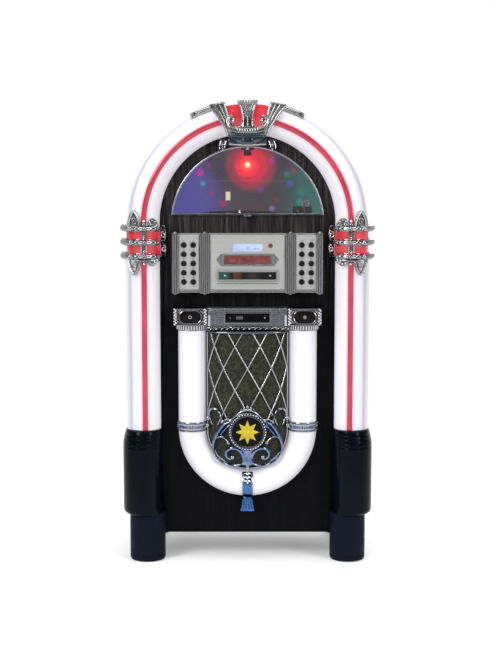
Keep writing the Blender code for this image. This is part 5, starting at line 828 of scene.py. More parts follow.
def makeLattice(spec):
    bm = bmesh.new()
    reach = radians(spec["reach"])
    top = clothSizes["top"] - 0.0003
    for slope, layer in ((1, 0.0), (-1, spec["layer"])):
        rise = slope * spec["halfPitch"] / spec["halfAngle"]
        for crossing in range(-6, 7, 2):
            start = spec["crossing"] - slope * crossing * spec["halfPitch"]
            ends = sorted((start - rise * reach, start + rise * reach))
            low, high = max(spec["low"], ends[0]), min(top - spec["head"], ends[1])
            if high - low < 0.02:
                continue
            count = max(3, int((high - low) / 0.007))
            points = []
            for i in range(count + 1):
                z = low + (high - low) * i / count
                x = clothSizes["half"] * sin((z - start) / rise)
                points.append((x, swell(x, z, spec["gap"] + spec["wire"] + layer), z))
            wireIn(bm, points, spec["wire"], 3, smooth=2)
    for crossing in range(-3, 4):        # small rivets where the wires cross
        for row in range(-4, 5):
            if (crossing + row) % 2:
                continue
            x = clothSizes["half"] * sin(crossing * spec["halfAngle"])
            z = spec["crossing"] + row * spec["halfPitch"]
            if spec["low"] + 0.01 < z < top - 0.01 and abs(crossing * spec["halfAngle"]) < reach - 0.1:
                ballIn(bm, (x, swell(x, z, spec["gap"] + 2 * spec["wire"]), z), spec["wire"] * 1.25, (1, 0.7, 1))
    side = clothSizes["half"] * sin(reach)
    rimY = swell(side, clothSizes["centreZ"], spec["gap"] + spec["wire"])
    bend = arcPoints(0, clothSizes["centreZ"], side, side, halfTurn, 2 * halfTurn, 48)
    wireIn(bm, [(-side, rimY, top)] + [(x, rimY, z) for x, z in bend] + [(side, rimY, top)], spec["rim"], 3, smooth=0)
    across = [clothSizes["half"] * sin(reach * i / 20) for i in range(-20, 21)]
    wireIn(bm, [(x, swell(x, top, spec["gap"] + spec["head"]), top - spec["head"]) for x in across], spec["head"], 3,
        smooth=0, slot=1)
    finishPiece(bm, "latticeWire", "cabinet", [chrome, paintedDeepShadeChrome], ["lattice_grille"])


makeLattice(latticeSizes)
print("grille done")

# cast ornament over the lower grille, with the clips that hold the tube

ornamentSizes = {"wire": 0.003, "off": 0.008, "collarZ": 0.346, "collarRadius": 0.0353, "collarHeight": 0.024,
    "tailWidth": 0.0245, "blockWidth": 0.036, "blockBottom": 0.129, "ball": 0.0046}

# lines on the right half, in millimetres from the centre plane and the floor
ornamentLines = {"sideScroll": ([(99, 369), (97, 381), (92, 391), (84, 394), (75, 390), (68, 378), (64, 362)],
    [0.9, 1.0, 1.2, 1.3, 1.2, 1.0, 0.7]), "leafBand": ([(43, 364), (56, 358), (70, 342), (80, 322), (86, 300),
    (85, 282), (75, 266), (60, 254), (43, 248), (26, 249), (8, 256)], [0.8, 1.7, 2.0, 1.9, 1.5, 1.2, 1.2, 1.2, 1.2,
    1.1, 0.9]), "innerBand": ([(38, 357), (50, 350), (62, 337), (71, 322)], [0.5, 1.0, 1.0, 0.4]),
    "lowerCurl": ([(83, 313), (75, 322), (66, 324), (57, 320), (49, 311)], [0.6, 1.0, 1.2, 1.1, 0.9]),
    "volute": ([(9, 262), (12, 276), (20, 288), (33, 294), (45, 292), (53, 283), (53, 272), (45, 265), (38, 269)],
    [1.5, 1.5, 1.4, 1.3, 1.3, 1.2, 1.1, 1.0, 0.9]), "coronetArch": ([(62, 362), (52, 369), (42, 368), (33, 375),
    (24, 384), (13, 391), (0, 394)], [0.7, 1.1, 1.1, 1.3, 1.4, 1.4, 1.4]), "coronetInner": ([(51, 352), (44, 360),
    (35, 369), (24, 378), (12, 384), (0, 386)], [0.8, 0.9, 0.9, 0.9, 0.9, 0.9])}
ornamentBalls = [(99, 368, 1.35), (64, 361, 0.9), (48, 309, 1.1), (38, 270, 1.25), (0, 401, 1.0), (8, 398, 0.8),
    (15, 394, 0.65), (43, 365, 1.0), (62, 363, 0.9), (0, 256, 1.1)]


def castIn(bm, line, radii, radius, off, flat=0.75, slot=0, both=True):
    points = [(x / 1000, swell(x / 1000, z / 1000, off), z / 1000) for x, z in line]
    sides = [radii[min(i, len(radii) - 1)] for i in range(len(points))]
    ring = [(radius * cos(a), radius * flat * sin(a)) for a in [2 * halfTurn * k / 10 for k in range(10)]]
    made = wireIn(bm, points, 0.001, 2, smooth=6, radii=sides, slot=slot, profile=ring)
    if both:
        mirrorIn(bm, made)


def makeOrnament(spec):
    bm = bmesh.new()
    blueParts = ("leafBand", "volute", "innerBand")
    for key, (line, radii) in ornamentLines.items():
        castIn(bm, line, radii, spec["wire"], spec["off"], 0.8, 1 if key in blueParts else 0)
        if key == "leafBand":          # a thin rib along its middle
            castIn(bm, line, [r * 0.4 for r in radii], spec["wire"], spec["off"] + spec["wire"] * 0.9, 0.8, 0)
    for x, z, share in ornamentBalls:
        at = (x / 1000, swell(x / 1000, z / 1000, spec["off"]), z / 1000)
        for side in ((-1, 1) if x else (1,)):
            ballIn(bm, (side * at[0], *at[1:]), spec["ball"] * share, (1, 0.85, 1), 14, 10)
    # hourglass between the lower volutes
    glass = [(27, 303), (19, 294), (10, 284), (8.5, 272), (12, 262), (15, 253), (0, 250)]
    loop = [(x / 1000, z / 1000) for x, z in glass] + [(-x / 1000, z / 1000) for x, z in glass[-2::-1]]
    loop += [(-0.014, 0.3), (0.014, 0.3)]
    depth = swell(0.0, 0.275, spec["off"])
    plateIn(bm, [loop], depth + 0.003, depth - 0.0026, 0.0012, 1)
    # a chain-like collar round each leg
    for side in (-1, 1):
        for row, size in ((-1, 0.9), (0, 1.25), (1, 0.9)):
            z = spec["collarZ"] + row * spec["collarHeight"] * 0.36
            for step in range(17):
                a = halfTurn + 0.3 + (halfTurn - 0.36) * step / 16
                r = spec["collarRadius"] + 0.001
                at = (uSizes["legX"] + r * cos(a), uSizes["axis"] + r * sin(a), z)
                shape = (1, 1, 0.72) if row else (0.62, 0.62, 1.15)
                ballIn(bm, (side * at[0], at[1], at[2]), 0.0036 * size, shape, 8, 6, 1 if (step + row) % 3 else 0)
        for row in (-1, 1):
            z = spec["collarZ"] + row * spec["collarHeight"] * 0.4
            ring = arcPoints(uSizes["legX"], uSizes["axis"], spec["collarRadius"], spec["collarRadius"],
                halfTurn + 0.28, 2 * halfTurn + 0.1, 32)
            wireIn(bm, [(side * x, y, z + row * 0.0012) for x, y in ring], 0.0016, 2, smooth=0)
        inner = uSizes["legX"] - spec["collarRadius"]
        y = swell(0.0985, 0.346, 0.007)
        wireIn(bm, [(side * (inner + 0.004), y - 0.001, 0.346), (side * 0.0985, y, 0.35)], 0.0034, 3, smooth=0)
        ballIn(bm, (side * 0.1008, y - 0.001, 0.349), 0.0048, (1, 0.9, 1.2))
    # strap over the bend, with a relief on its upper half and a flared block under it
    low, radius = uSizes["centreZ"] - uSizes["legX"], uSizes["radius"] + 0.0004
    half = spec["tailWidth"] / 2
    strap = [(uSizes["axis"] + (radius + 0.0023) * cos(a), low + (radius + 0.0023) * sin(a))
        for a in [halfTurn - 0.93 + (halfTurn / 2 + 0.93) * k / 40 for k in range(41)]]
    ribbon = [(-0.0022, -half), (-0.0022, half), (0.0012, half), (0.0024, half * 0.86), (0.0024, -half * 0.86),
        (0.0012, -half)]
    angles = [halfTurn - 0.93 + (halfTurn / 2 + 0.93) * k / 40 for k in range(41)]
    skinIn(bm, [[(w, y + d * cos(a), z + d * sin(a)) for d, w in ribbon] for a, (y, z) in zip(angles, strap)], 2)
    for a in angles[4:16:4]:           # leaves of the relief
        y, z = uSizes["axis"] + (radius + 0.0048) * cos(a), low + (radius + 0.0048) * sin(a)
        for side in (-1, 1):
            wireIn(bm, [(0, y, z), (side * half * 0.45, y - 0.0008, z + 0.0045), (side * half * 0.9, y, z - 0.001)],
                0.0019, 2, radii=[0.9, 1.25, 0.5], slot=3)
        ballIn(bm, (0, y - 0.0006, z), 0.003, (1, 0.8, 1.3), 10, 8, 3)
    for side in (-1, 1):
        edge = [(side * half, uSizes["axis"] + (radius + 0.0038) * cos(halfTurn - 0.93 + 0.0622 * k),
            low + (radius + 0.0038) * sin(halfTurn - 0.93 + 0.0622 * k)) for k in range(41)]
        wireIn(bm, edge, 0.0014, 2, smooth=0)
    top, bottom = low - radius + 0.003, spec["blockBottom"]
    front, back = uSizes["axis"] - radius + 0.0046, seatY
    rows = [(0, half * 0.92), (0.25, half * 0.84), (0.5, half * 0.98), (0.75, spec["blockWidth"] / 2 * 0.93),
        (0.93, spec["blockWidth"] / 2), (1.0, spec["blockWidth"] / 2 * 0.9)]
    right = [(w, top + (bottom - top) * share) for share, w in rows]
    plateIn(bm, [right + [(-x, z) for x, z in right[::-1]]], back, front, 0.0022, 2, segments=3)
    for step in range(-2, 3):
        rodIn(bm, (step * 0.0055, front - 0.0004, top - 0.006), (step * 0.0072, front - 0.0004, bottom + 0.006),
            0.0016, 0.0022, 10, 2)
    neckY = swell(0, 0.25, 0.008)
    wireIn(bm, [(0, neckY, 0.253), (0, neckY + 0.002, 0.243), (0, strap[0][0] - 0.001, strap[0][1] - 0.004)], 0.0055,
        3, radii=[0.9, 0.7, 1.1])
    finishPiece(bm, "castOrnament", "cabinet", [coolChrome, blueChrome, clipBlue, paintedLitChrome],
        ["scroll_ornament"], 44)


makeOrnament(ornamentSizes)

# medallion: beaded ring, black dish and a plain eight-point star

medallionSizes = {"z": 0.3375, "radius": 0.048, "disc": 0.0365, "back": -0.1709, "rise": 0.0085, "dish": 0.0045,
    "star": 0.03, "starInner": 0.0157, "starRise": 0.004, "beads": 40}


def starGold():
    mat = newFinish("starGold", Roughness=0.34, Specular_IOR_Level=0.4)
    tree = mat.node_tree
    lit = ramp(tree, noise(tree, place(tree), 50.0, 3), [(0.3, (0.56, 0.42, 0.012)), (0.7, (0.68, 0.53, 0.022))])
    # painted glow: the gold star gives off a little light, though it is no lamp
    return glowing(mat, tree, lit, 0.85, 0.1)


def makeMedallion(spec):
    back, r = spec["back"], spec["radius"]
    bm = bmesh.new()
    ring = [(0, 0), (r - 0.0015, 0), (r, 0.0015), (r, 0.0035), (r - 0.0012, 0.0052), (r - 0.0022, 0.0052),
        (spec["disc"] + 0.0062, 0.006), (spec["disc"] + 0.005, spec["rise"]), (spec["disc"] + 0.003, spec["rise"]),
        (spec["disc"], spec["dish"])]
    turnIn(bm, ring + [(0, spec["dish"])], (0, back, spec["z"]), "Y", 96, 0)
    turnIn(bm, [(spec["disc"] - 0.0002, spec["dish"] + 0.0002), (spec["disc"] * 0.8, spec["dish"] + 0.0005),
        (spec["disc"] * 0.45, spec["dish"] + 0.001), (0, spec["dish"] + 0.0012)], (0, back, spec["z"]), "Y", 64, 1)
    for i in range(spec["beads"]):
        a = 2 * halfTurn * i / spec["beads"]
        reach = r - 0.0035
        ballIn(bm, (reach * cos(a), back - 0.0054, spec["z"] + reach * sin(a)), 0.0023, (1, 1, 1), 8, 6, 3)
    points = []
    for i in range(16):
        reach = spec["starInner"] if i % 2 else spec["star"]
        a = halfTurn / 2 + halfTurn * i / 8
        points.append(bm.verts.new((reach * cos(a), back - spec["dish"] - 0.0016, spec["z"] + reach * sin(a))))
    base = bm.faces.new(points)
    fan = bmesh.ops.poke(bm, faces=[base])
    hub = fan["verts"][0]
    hub.co.y -= spec["starRise"]
    paint(points + [hub], 2)
    rim = [e for e in bm.edges if len(e.link_faces) == 1 and all(v in points for v in e.verts)]
    wall = bmesh.ops.extrude_edge_only(bm, edges=rim)["geom"]
    moved = [g for g in wall if isinstance(g, bmesh.types.BMVert)]
    bmesh.ops.translate(bm, vec=(0, 0.0016, 0), verts=moved)
    paint(moved, 2)
    finishPiece(bm, "medallion", "cabinet", [paintedDeepShadeChrome, glossBlack("dishBlack", (0.004, 0.004, 0.004)), starGold(),
        coolChrome], ["medallion"], 20, normals=True)


makeMedallion(medallionSizes)
print("ornament done")

# clasps round the columns: three bands, a beaded divider, leaves and fans, red lenses behind

claspSizes = {"heights": (0.7775, 0.812, 0.8465), "band": 0.007, "side": 0.0101, "front": 0.0111, "lensSide": 0.0006,
    "lensFront": 0.0016, "lens": 0.0022, "panes": ((0.2184, 0.2485), (0.264, 0.2948)), "leaf": (0.2795, 0.0163),
    "leafTop": 0.0445, "leafBottom": 0.0455, "fan": (0.235, 0.0165), "fanRise": 0.0265,
    "faceY": -0.1664}


def ropeIn(bm, points, radius, pitch, strands=3, slot=0):      # twisted strands along a line in the XZ plane
    total, runs = 0.0, [0.0]
    for a, b in zip(points, points[1:]):
        total += (Vector(b) - Vector(a)).length
        runs.append(total)
    steps = max(8, int(total / pitch * 6))
    for strand in range(strands):
        line = []
        for i in range(steps + 1):
            want = total * i / steps
            k = max(j for j, run in enumerate(runs) if run <= want + 1e-9)
            k = min(k, len(points) - 2)
            a, b = Vector(points[k]), Vector(points[k + 1])
            share = (want - runs[k]) / max(1e-9, runs[k + 1] - runs[k])
            along = (b - a).normalized()
            across = along.cross(Vector((0, 1, 0))).normalized()
            turn = 2 * halfTurn * (want / pitch + strand / strands)
            line.append(a.lerp(b, share) + (across * cos(turn) + Vector((0, 1, 0)) * sin(turn)) * radius * 0.5)
        wireIn(bm, [tuple(p) for p in line], radius * 0.58, 1, smooth=0, slot=slot)


def leafLine(cx, base, half, rise):
    shares = ((1.0, 0.0), (1.0, 0.18), (0.96, 0.36), (0.84, 0.55), (0.66, 0.72), (0.42, 0.88), (0.16, 0.985),
        (0.0, 1.0))
    right = [(cx + half * sx, base + rise * sz) for sx, sz in shares]
    return right + [(2 * cx - x, z) for x, z in right[-2::-1]]


def makeClasps(spec):
    low, mid, high = spec["heights"]
    outer = tubeSizes["inner"] + tubeSizes["width"]
    bandPlan = {"inner": tubeSizes["inner"] - spec["side"], "width": tubeSizes["width"] + 2 * spec["side"],
        "depth": tubeSizes["depth"] + spec["front"], "lead": tubeSizes["lead"]}
    red = litLens("claspRed", (0.56, 0.02, 0.032), (0.86, 0.075, 0.095), 0.46, 30.0)
    for side, sign in (("Left", -1), ("Right", 1)):
        bm = bmesh.new()
        path = wrapLine(tubeSizes["inner"] - spec["side"], outer + spec["side"], tubeSizes["depth"] + spec["front"],
            60)
        path.append((outer + spec["side"], -0.1015))
        roll = [p for p in path if p[0] > 0.287]
        for z in spec["heights"]:      # a thick plain roll round the outside, beads over the front
            wireIn(bm, [(x, y, z) for x, y in roll], spec["band"] * 1.12, 4, smooth=0)
            ballIn(bm, (*roll[0], z), spec["band"] * 1.12, (0.9, 1, 1), 16, 10)
            wireIn(bm, [(x, y + 0.001, z) for x, y in path if x < 0.289], spec["band"] * 0.66, 3, smooth=0, slot=2)
            for x, half in ((0.233, 0.01), (0.2735, 0.0085), (0.2535, 0.0055)):
                ballIn(bm, (x, frontAt(bandPlan, x) - 0.0016, z), half, (1, 0.0056 / half, 0.0066 / half), 18, 12, 1)
            ballIn(bm, (0.2085, -0.128, z), 0.0068, (1, 1, 1.05), 14, 10, 1)
        wireIn(bm, [(x, y + 0.0015, low - 0.0088) for x, y in path if x < 0.274], 0.0036, 3, smooth=0, slot=1)
        # posts and rails round the panes, and a twisted bar between them
        for x, r in ((0.2166, 0.0022), (0.2503, 0.0019), (0.262, 0.0019), (0.2968, 0.002)):
            y = frontAt(tubeSizes, min(x, 0.2975)) - spec["lensFront"] - spec["lens"] - 0.0014
            wireIn(bm, [(x, y, low), (x, y - 0.0006, mid), (x, y, high)], r, 3, smooth=0, slot=2)
        ropeIn(bm, [(0.2561, spec["faceY"] - 0.0045, low), (0.2561, spec["faceY"] - 0.0045, high)], 0.0034, 0.0085, 3,
            1)
        for lowX, highX in spec["panes"]:
            line = [(lowX + (highX - lowX) * k / 8) for k in range(9)]
            for z in (low + 0.0068, mid - 0.0068, mid + 0.0068, high - 0.0068):
                wireIn(bm, [(x, frontAt(tubeSizes, x) - spec["lensFront"] - spec["lens"] - 0.0006, z) for x in line],
                    0.0015, 2, smooth=0, slot=2)
        for z, way in (((high + mid) / 2, 1), ((low + mid) / 2, -1)):       # curls at the inner side
            curl = []
            for k in range(15):
                a, r = halfTurn / 2 - way * k * 0.52, 0.007 * (1 - k / 19)
                curl.append((0.209 + r * cos(a), -0.1345 - k * 0.0002, z + r * 1.25 * sin(a)))
            wireIn(bm, curl, 0.002, 2, smooth=2, radii=[1.3 - 0.03 * k for k in range(15)], slot=2)
            wireIn(bm, [(0.206, -0.13, z - 0.013), (0.2035, -0.133, z), (0.206, -0.13, z + 0.013)], 0.0018, 2, slot=0)
        y, cx, half = spec["faceY"] - 0.003, *spec["leaf"]
        for base, rise in ((high, spec["leafTop"]), (low, -spec["leafBottom"])):
            way = 1 if rise > 0 else -1
            line = leafLine(cx, base, half - 0.003, rise - way * 0.003)
            plateIn(bm, [leafLine(cx, base, half - 0.001, rise - way * 0.001)], spec["faceY"], spec["faceY"] - 0.0035,
                0.001, 2)
            wireIn(bm, [(x, y - 0.0006, z) for x, z in line], 0.0034, 3, smooth=0, slot=1)
            ropeIn(bm, [(x, y - 0.001, z) for x, z in line], 0.0042, 0.0058, 3, 0)
            curl = []                   # a scroll inside the leaf
            for k in range(20):
                a, r = halfTurn * 0.1 + k * 0.42, 0.0068 * (1 - k / 24)
                curl.append((cx - 0.0005 + r * cos(a), y - 0.0012, base + way * 0.0175 + way * r * 1.5 * sin(a)))
            wireIn(bm, curl, 0.0013, 2, smooth=2, radii=[1.4 - 0.04 * k for k in range(20)])
        cx, half = spec["fan"]
        for base, way in ((high, 1), (low, -1)):
            rise = way * spec["fanRise"] * (1 if way > 0 else 0.86)
            fan = [(cos(halfTurn * k / 24), sin(halfTurn * k / 24)) for k in range(25)]
            plateIn(bm, [[(cx + half * c, base + rise * s) for c, s in fan]], spec["faceY"] + 0.001,
                spec["faceY"] - 0.0028, 0.001, 2)
            for share, r, slot in ((0.95, 0.002, 0), (0.66, 0.0015, 1), (0.42, 0.0015, 0)):
                wireIn(bm, [(cx + half * share * c, y + 0.0002, base + rise * share * s) for c, s in fan], r, 2,
                    smooth=0, slot=slot)
            for k in range(5):
                c, s = cos(halfTurn * (0.14 + 0.18 * k)), sin(halfTurn * (0.14 + 0.18 * k))
                wireIn(bm, [(cx + half * 0.45 * c, y, base + rise * 0.45 * s), (cx + half * 0.9 * c, y,
                    base + rise * 0.9 * s)], 0.0011, 1, smooth=0, slot=1)
                ballIn(bm, (cx + half * 0.8 * c, y - 0.0004, base + rise * 0.8 * s), 0.0022, (1, 0.8, 1), 8, 6, 2)
            for k, size in ((0, 0.0056), (1, 0.004)):          # knob over the stripe
                ballIn(bm, (tubeSizes["stripe"] - 0.0006, y - 0.0008, base + way * (0.01 + 0.008 * k)), size,
                    (1.1, 0.9, 0.9), 14, 10, 1 if k == 0 else 2)
        bmesh.ops.scale(bm, vec=(sign, 1, 1), verts=bm.verts)
        finishPiece(bm, "clasp" + side, "cabinet", [satinChrome, paintedShadeChrome, paintedLitChrome],
            ["clasp_" + side.lower()], 50)
        bm = bmesh.new()
        wall = wrapLine(tubeSizes["inner"] - spec["lensSide"] - spec["lens"], outer + spec["lensSide"] + spec["lens"],
            tubeSizes["depth"] + spec["lensFront"] + spec["lens"], 48)
        wall += wrapLine(tubeSizes["inner"] - spec["lensSide"], outer + spec["lensSide"],
            tubeSizes["depth"] + spec["lensFront"], 48)[::-1]
        plate = bm.faces.new([bm.verts.new((sign * x, y, low + 0.0003)) for x, y in wall])
        raiseFace(bm, plate, high - low - 0.0006)
        finishPiece(bm, "claspLens" + side, "cabinet", red, ["clasp_lens_" + side.lower()], 50)


makeClasps(claspSizes)
print("clasps done")

# crown on top of the arch

crownSizes = {"back": -0.1679, "face": -0.1765, "front": -0.1805, "lensBack": -0.1661, "lensFront": -0.1675,
    "saddleRadius": 0.2993, "saddleAngle": 15.5, "armAngle": 27.4}

# the right half, in millimetres from the centre plane and the floor
crownEdge = [(43.8, 1052), (44.6, 1069), (46.5, 1076), (53, 1089), (58, 1098), (64, 1110), (71, 1121), (80, 1131),
    (89, 1139), (92.5, 1145), (84, 1149.5), (72, 1151), (60, 1153), (54, 1149), (51, 1143.8), (47.5, 1128),
    (46, 1119), (39, 1118), (35.5, 1112), (38.5, 1103), (31, 1097.5), (23, 1096), (15, 1099), (12.5, 1112),
    (14, 1128), (17.2, 1143), (23.0, 1150), (24.5, 1160)]
crownColumn = [(10.5, 1096), (11.5, 1108), (13.5, 1128), (18.5, 1146), (23.0, 1155), (23.6, 1160.5)]


def mm(points):
    return [(x / 1000, z / 1000) for x, z in points]


def bothSides(points):
    right = mm(points)
    return right + [(-x, z) for x, z in right[::-1]]


def reliefIn(bm, points, y, radius, radii=None, both=True, slot=0):     # a tapered rib on the crown's face
    made = wireIn(bm, [(x / 1000, y, z / 1000) for x, z in points], radius, 3, smooth=5, radii=radii, slot=slot)
    if both:
        mirrorIn(bm, made)


def makeCrown(spec):
    bm = bmesh.new()
    back, face = spec["back"], spec["face"]
    plateIn(bm, [bothSides(crownEdge)], back, face + 0.003, 0.0012)
    # column with its capital, dark slots at its foot (painted shade, black plates rather than recesses) and bright
    # ridges beside them (painted highlight)
    plateIn(bm, [bothSides(crownColumn)], back, face, 0.0008)
    for k in (-2, -1, 1, 2):
        reliefIn(bm, [(k * 2.6, 1122), (k * 3.9, 1136), (k * 6.6, 1151)], face - 0.0002, 0.0014, [0.6, 1.0, 1.1],
            False)
    for x in (-5.6, 5.6):
        plateIn(bm, [mm([(x - 2.7, 1097.5), (x + 2.7, 1097.5), (x + 1.9, 1112), (x * 0.9 + 0.2, 1121),
            (x - 1.9, 1112)])], face + 0.001, face - 0.0003, 0, 3)
    reliefIn(bm, [(0, 1097), (0, 1108), (0, 1122)], face - 0.0004, 0.0019, [1.1, 0.8, 0.5], False, 2)
    reliefIn(bm, [(11.5, 1096.5), (10.6, 1108), (11.6, 1122), (14.2, 1137), (18.5, 1149)], face - 0.0004, 0.0023,
        [1.1, 0.8, 0.9, 1.2, 0.9], slot=2)
    plateIn(bm, [bothSides([(19.5, 1151), (25, 1155.5), (25.2, 1160.4)])], face + 0.004, face - 0.0018, 0.0014, 0)
    for k in range(-3, 4):
        ballIn(bm, (k * 0.0066, face - 0.0022, 1.1572), 0.0026, (1, 0.8, 0.9), 10, 7, 2 if abs(k) < 2 else 0)
    # ribbons of the wings
    wings = [([(91, 1144), (76, 1126), (64, 1108), (54, 1090), (47, 1072)], [1.1, 1.2, 1.1, 1.0, 0.8], 0),
        ([(80, 1148.5), (68, 1130), (58, 1111), (51, 1093)], [1.0, 1.1, 1.0, 0.6], 0),
        ([(69, 1150), (61, 1133), (54, 1117), (49, 1101)], [0.9, 1.0, 0.9, 0.5], 0),
        ([(57.5, 1151), (53, 1138), (49.5, 1124), (48, 1114)], [0.7, 0.9, 1.0, 0.8], 2)]
    for line, radii, slot in wings:
        reliefIn(bm, line, face + 0.0026, 0.0026, radii, slot=slot)
    for k in range(4):                 # scalloped upper ends of the ribbons
        reliefIn(bm, [(60 + k * 8.6, 1151.5 - 0.5 * k), (64.5 + k * 8.6, 1154 - 1.6 * k),
            (68.5 + k * 8.6, 1150.5 - 1.2 * k)], face + 0.002, 0.0021)
    # volutes beside the panes, each with a bright back of painted highlight
    curl = []
    for k in range(17):
        a, r = halfTurn * 0.62 - k * 0.4, 9.6 * (1 - k / 21)
        curl.append((37.0 + r * cos(a), 1112 + r * 1.05 * sin(a)))
    reliefIn(bm, [(18, 1091), (30, 1092.5), (40, 1097), (46.5, 1105), (47.5, 1114), (44, 1120.5)] + curl[1:],
        face + 0.0002, 0.0027, [0.7, 1.0, 1.2, 1.25, 1.2, 1.0] + [1.05 - 0.035 * k for k in range(16)])
    reliefIn(bm, [(44, 1094), (49, 1104), (50.5, 1115)], face - 0.0008, 0.0024, [0.5, 1.3, 0.4], slot=2)
    reliefIn(bm, [(36.5, 1109.5), (33.5, 1113), (36, 1116)], face - 0.0016, 0.0022, [0.8, 1.2, 0.7], slot=2)
    # bead row, leaf row and ribbed base
    for k in range(-4, 5):
        x, drop = k * 6.2, 0.14 * k * k
        ballIn(bm, (x / 1000, face - 0.0008, (1087.5 + drop) / 1000), 0.0027, (0.8, 0.8, 1.35), 10, 8, 2)
    for z, r in ((1091.5, 0.002), (1082.5, 0.0026), (1077.0, 0.0022)):
        reliefIn(bm, [(0, z), (22, z + 0.6), (42, z + 5)], face + 0.0004, r, [1.1, 1, 0.7], slot=0 if z > 1080 else 1)
    # bow of flat facets at the foot
    for loop, out in (([(-9, 1071.5), (9, 1071.5), (14, 1054), (-14, 1054)], 0.0022),
            ([(11, 1071.5), (45, 1073), (16, 1055)], 0.0008), ([(-11, 1071.5), (-16, 1055), (-45, 1073)], 0.0008),
            ([(46, 1071), (46, 1053.5), (19, 1053.5)], 0.0016), ([(-46, 1071), (-19, 1053.5), (-46, 1053.5)],
            0.0016)):
        plateIn(bm, [mm(loop)], face + 0.003, face - out + 0.001, 0.0008, 1)
    reliefIn(bm, [(-46, 1073.5), (0, 1071.6), (46, 1073.5)], face + 0.0004, 0.0018, None, False, 1)
    reliefIn(bm, [(-45.5, 1053.5), (0, 1051.8), (45.5, 1053.5)], face + 0.001, 0.002, None, False, 2)
    # saddle over the tube, and the two side arms with three ridges each
    top = halfTurn / 2
    low, high = spec["saddleRadius"], spec["saddleRadius"] + 0.0034
    for start, end in ((-4.6, 4.6), (10.6, spec["saddleAngle"] + 2), (-spec["saddleAngle"] - 2, -10.6)):
        start, end = top + radians(start), top + radians(end)
        loop = arcPoints(0, archZ, high, high, start, end, 12) + arcPoints(0, archZ, low, low, end, start, 12)
        plateIn(bm, [loop], -0.1015, face + 0.0045, 0.001)
    # three ridges of each arm run down over the tube's shoulder to a row of loops
    arm = [(0.3012, -0.132, 0), (0.2988, -0.1395, 2), (0.2952, -0.1465, 0), (0.2915, -0.1525, 0)]
    for radius, y, slot in arm:
        start, end = radians(16.0), radians(spec["armAngle"])
        line = [(radius * sin(start + (end - start) * k / 12), y,
            archZ + radius * cos(start + (end - start) * k / 12)) for k in range(13)]
        mirrorIn(bm, wireIn(bm, line, 0.0024, 3, smooth=0, slot=slot))
    for angle in (16.6, 24.2, 25.9, 27.6):
        a = radians(angle)
        line = [(r * sin(a), y - 0.0012, archZ + r * cos(a)) for r, y, slot in arm]
        mirrorIn(bm, wireIn(bm, line, 0.0023, 2, slot=3 if angle > 25 and angle < 27 else 0))
    # painted shade: the black finish of the slots at the column's foot
    slotShade = matteBlack("crownSlotShade", (0.006, 0.006, 0.007), 0.5)
    # a darker copy of the plate for the faceted base, painted shade, with a blue-green cast that is a painted
    # reflection
    base = chromePlate("crownBase", (0.13, 0.14, 0.155), 0.12, (0.06, 0.12, 0.2))
    finishPiece(bm, "crown", "cabinet", [satinChrome, base, paintedLitChrome, slotShade], ["crown"], 46)
    bm = bmesh.new()
    glass = [(13, 1094), (40, 1094), (50, 1118), (54, 1145.2), (40, 1148.2), (27, 1149.8), (13, 1150.4)]
    plateIn(bm, [bothSides(glass)], spec["lensBack"], spec["lensFront"], 0.0003)
    red = litLens("crownRed", (0.62, 0.018, 0.028), (0.9, 0.075, 0.1), 0.46, 22.0)
    finishPiece(bm, "crownLens", "cabinet", red, ["crown_lens"], 40)


makeCrown(crownSizes)
print("crown done")

# window: segment frame, pane, pull, and the two ribbed hinges

windowSizes = {"radius": 0.191, "sill": 0.877, "trim": 0.0045, "front": -0.1258, "hingeX": 0.061, "hingeY": -0.1256,
    "hingeZ": 1.0535, "knuckle": 0.0046, "width": 0.0058, "gap": 0.0005, "pane": 0.003}


def windowGlass():
    mat = newFinish("windowGlass", Roughness=0.02, IOR=1.45, Transmission_Weight=1.0, Base_Color=(0.93, 0.94, 0.96),
        Specular_IOR_Level=0.35)
    tree = mat.node_tree
    dust = noise(tree, place(tree), 45.0, 3)
    return feed(mat, Roughness=ramp(tree, dust, [(0.4, 0.0), (0.9, 0.03)]))


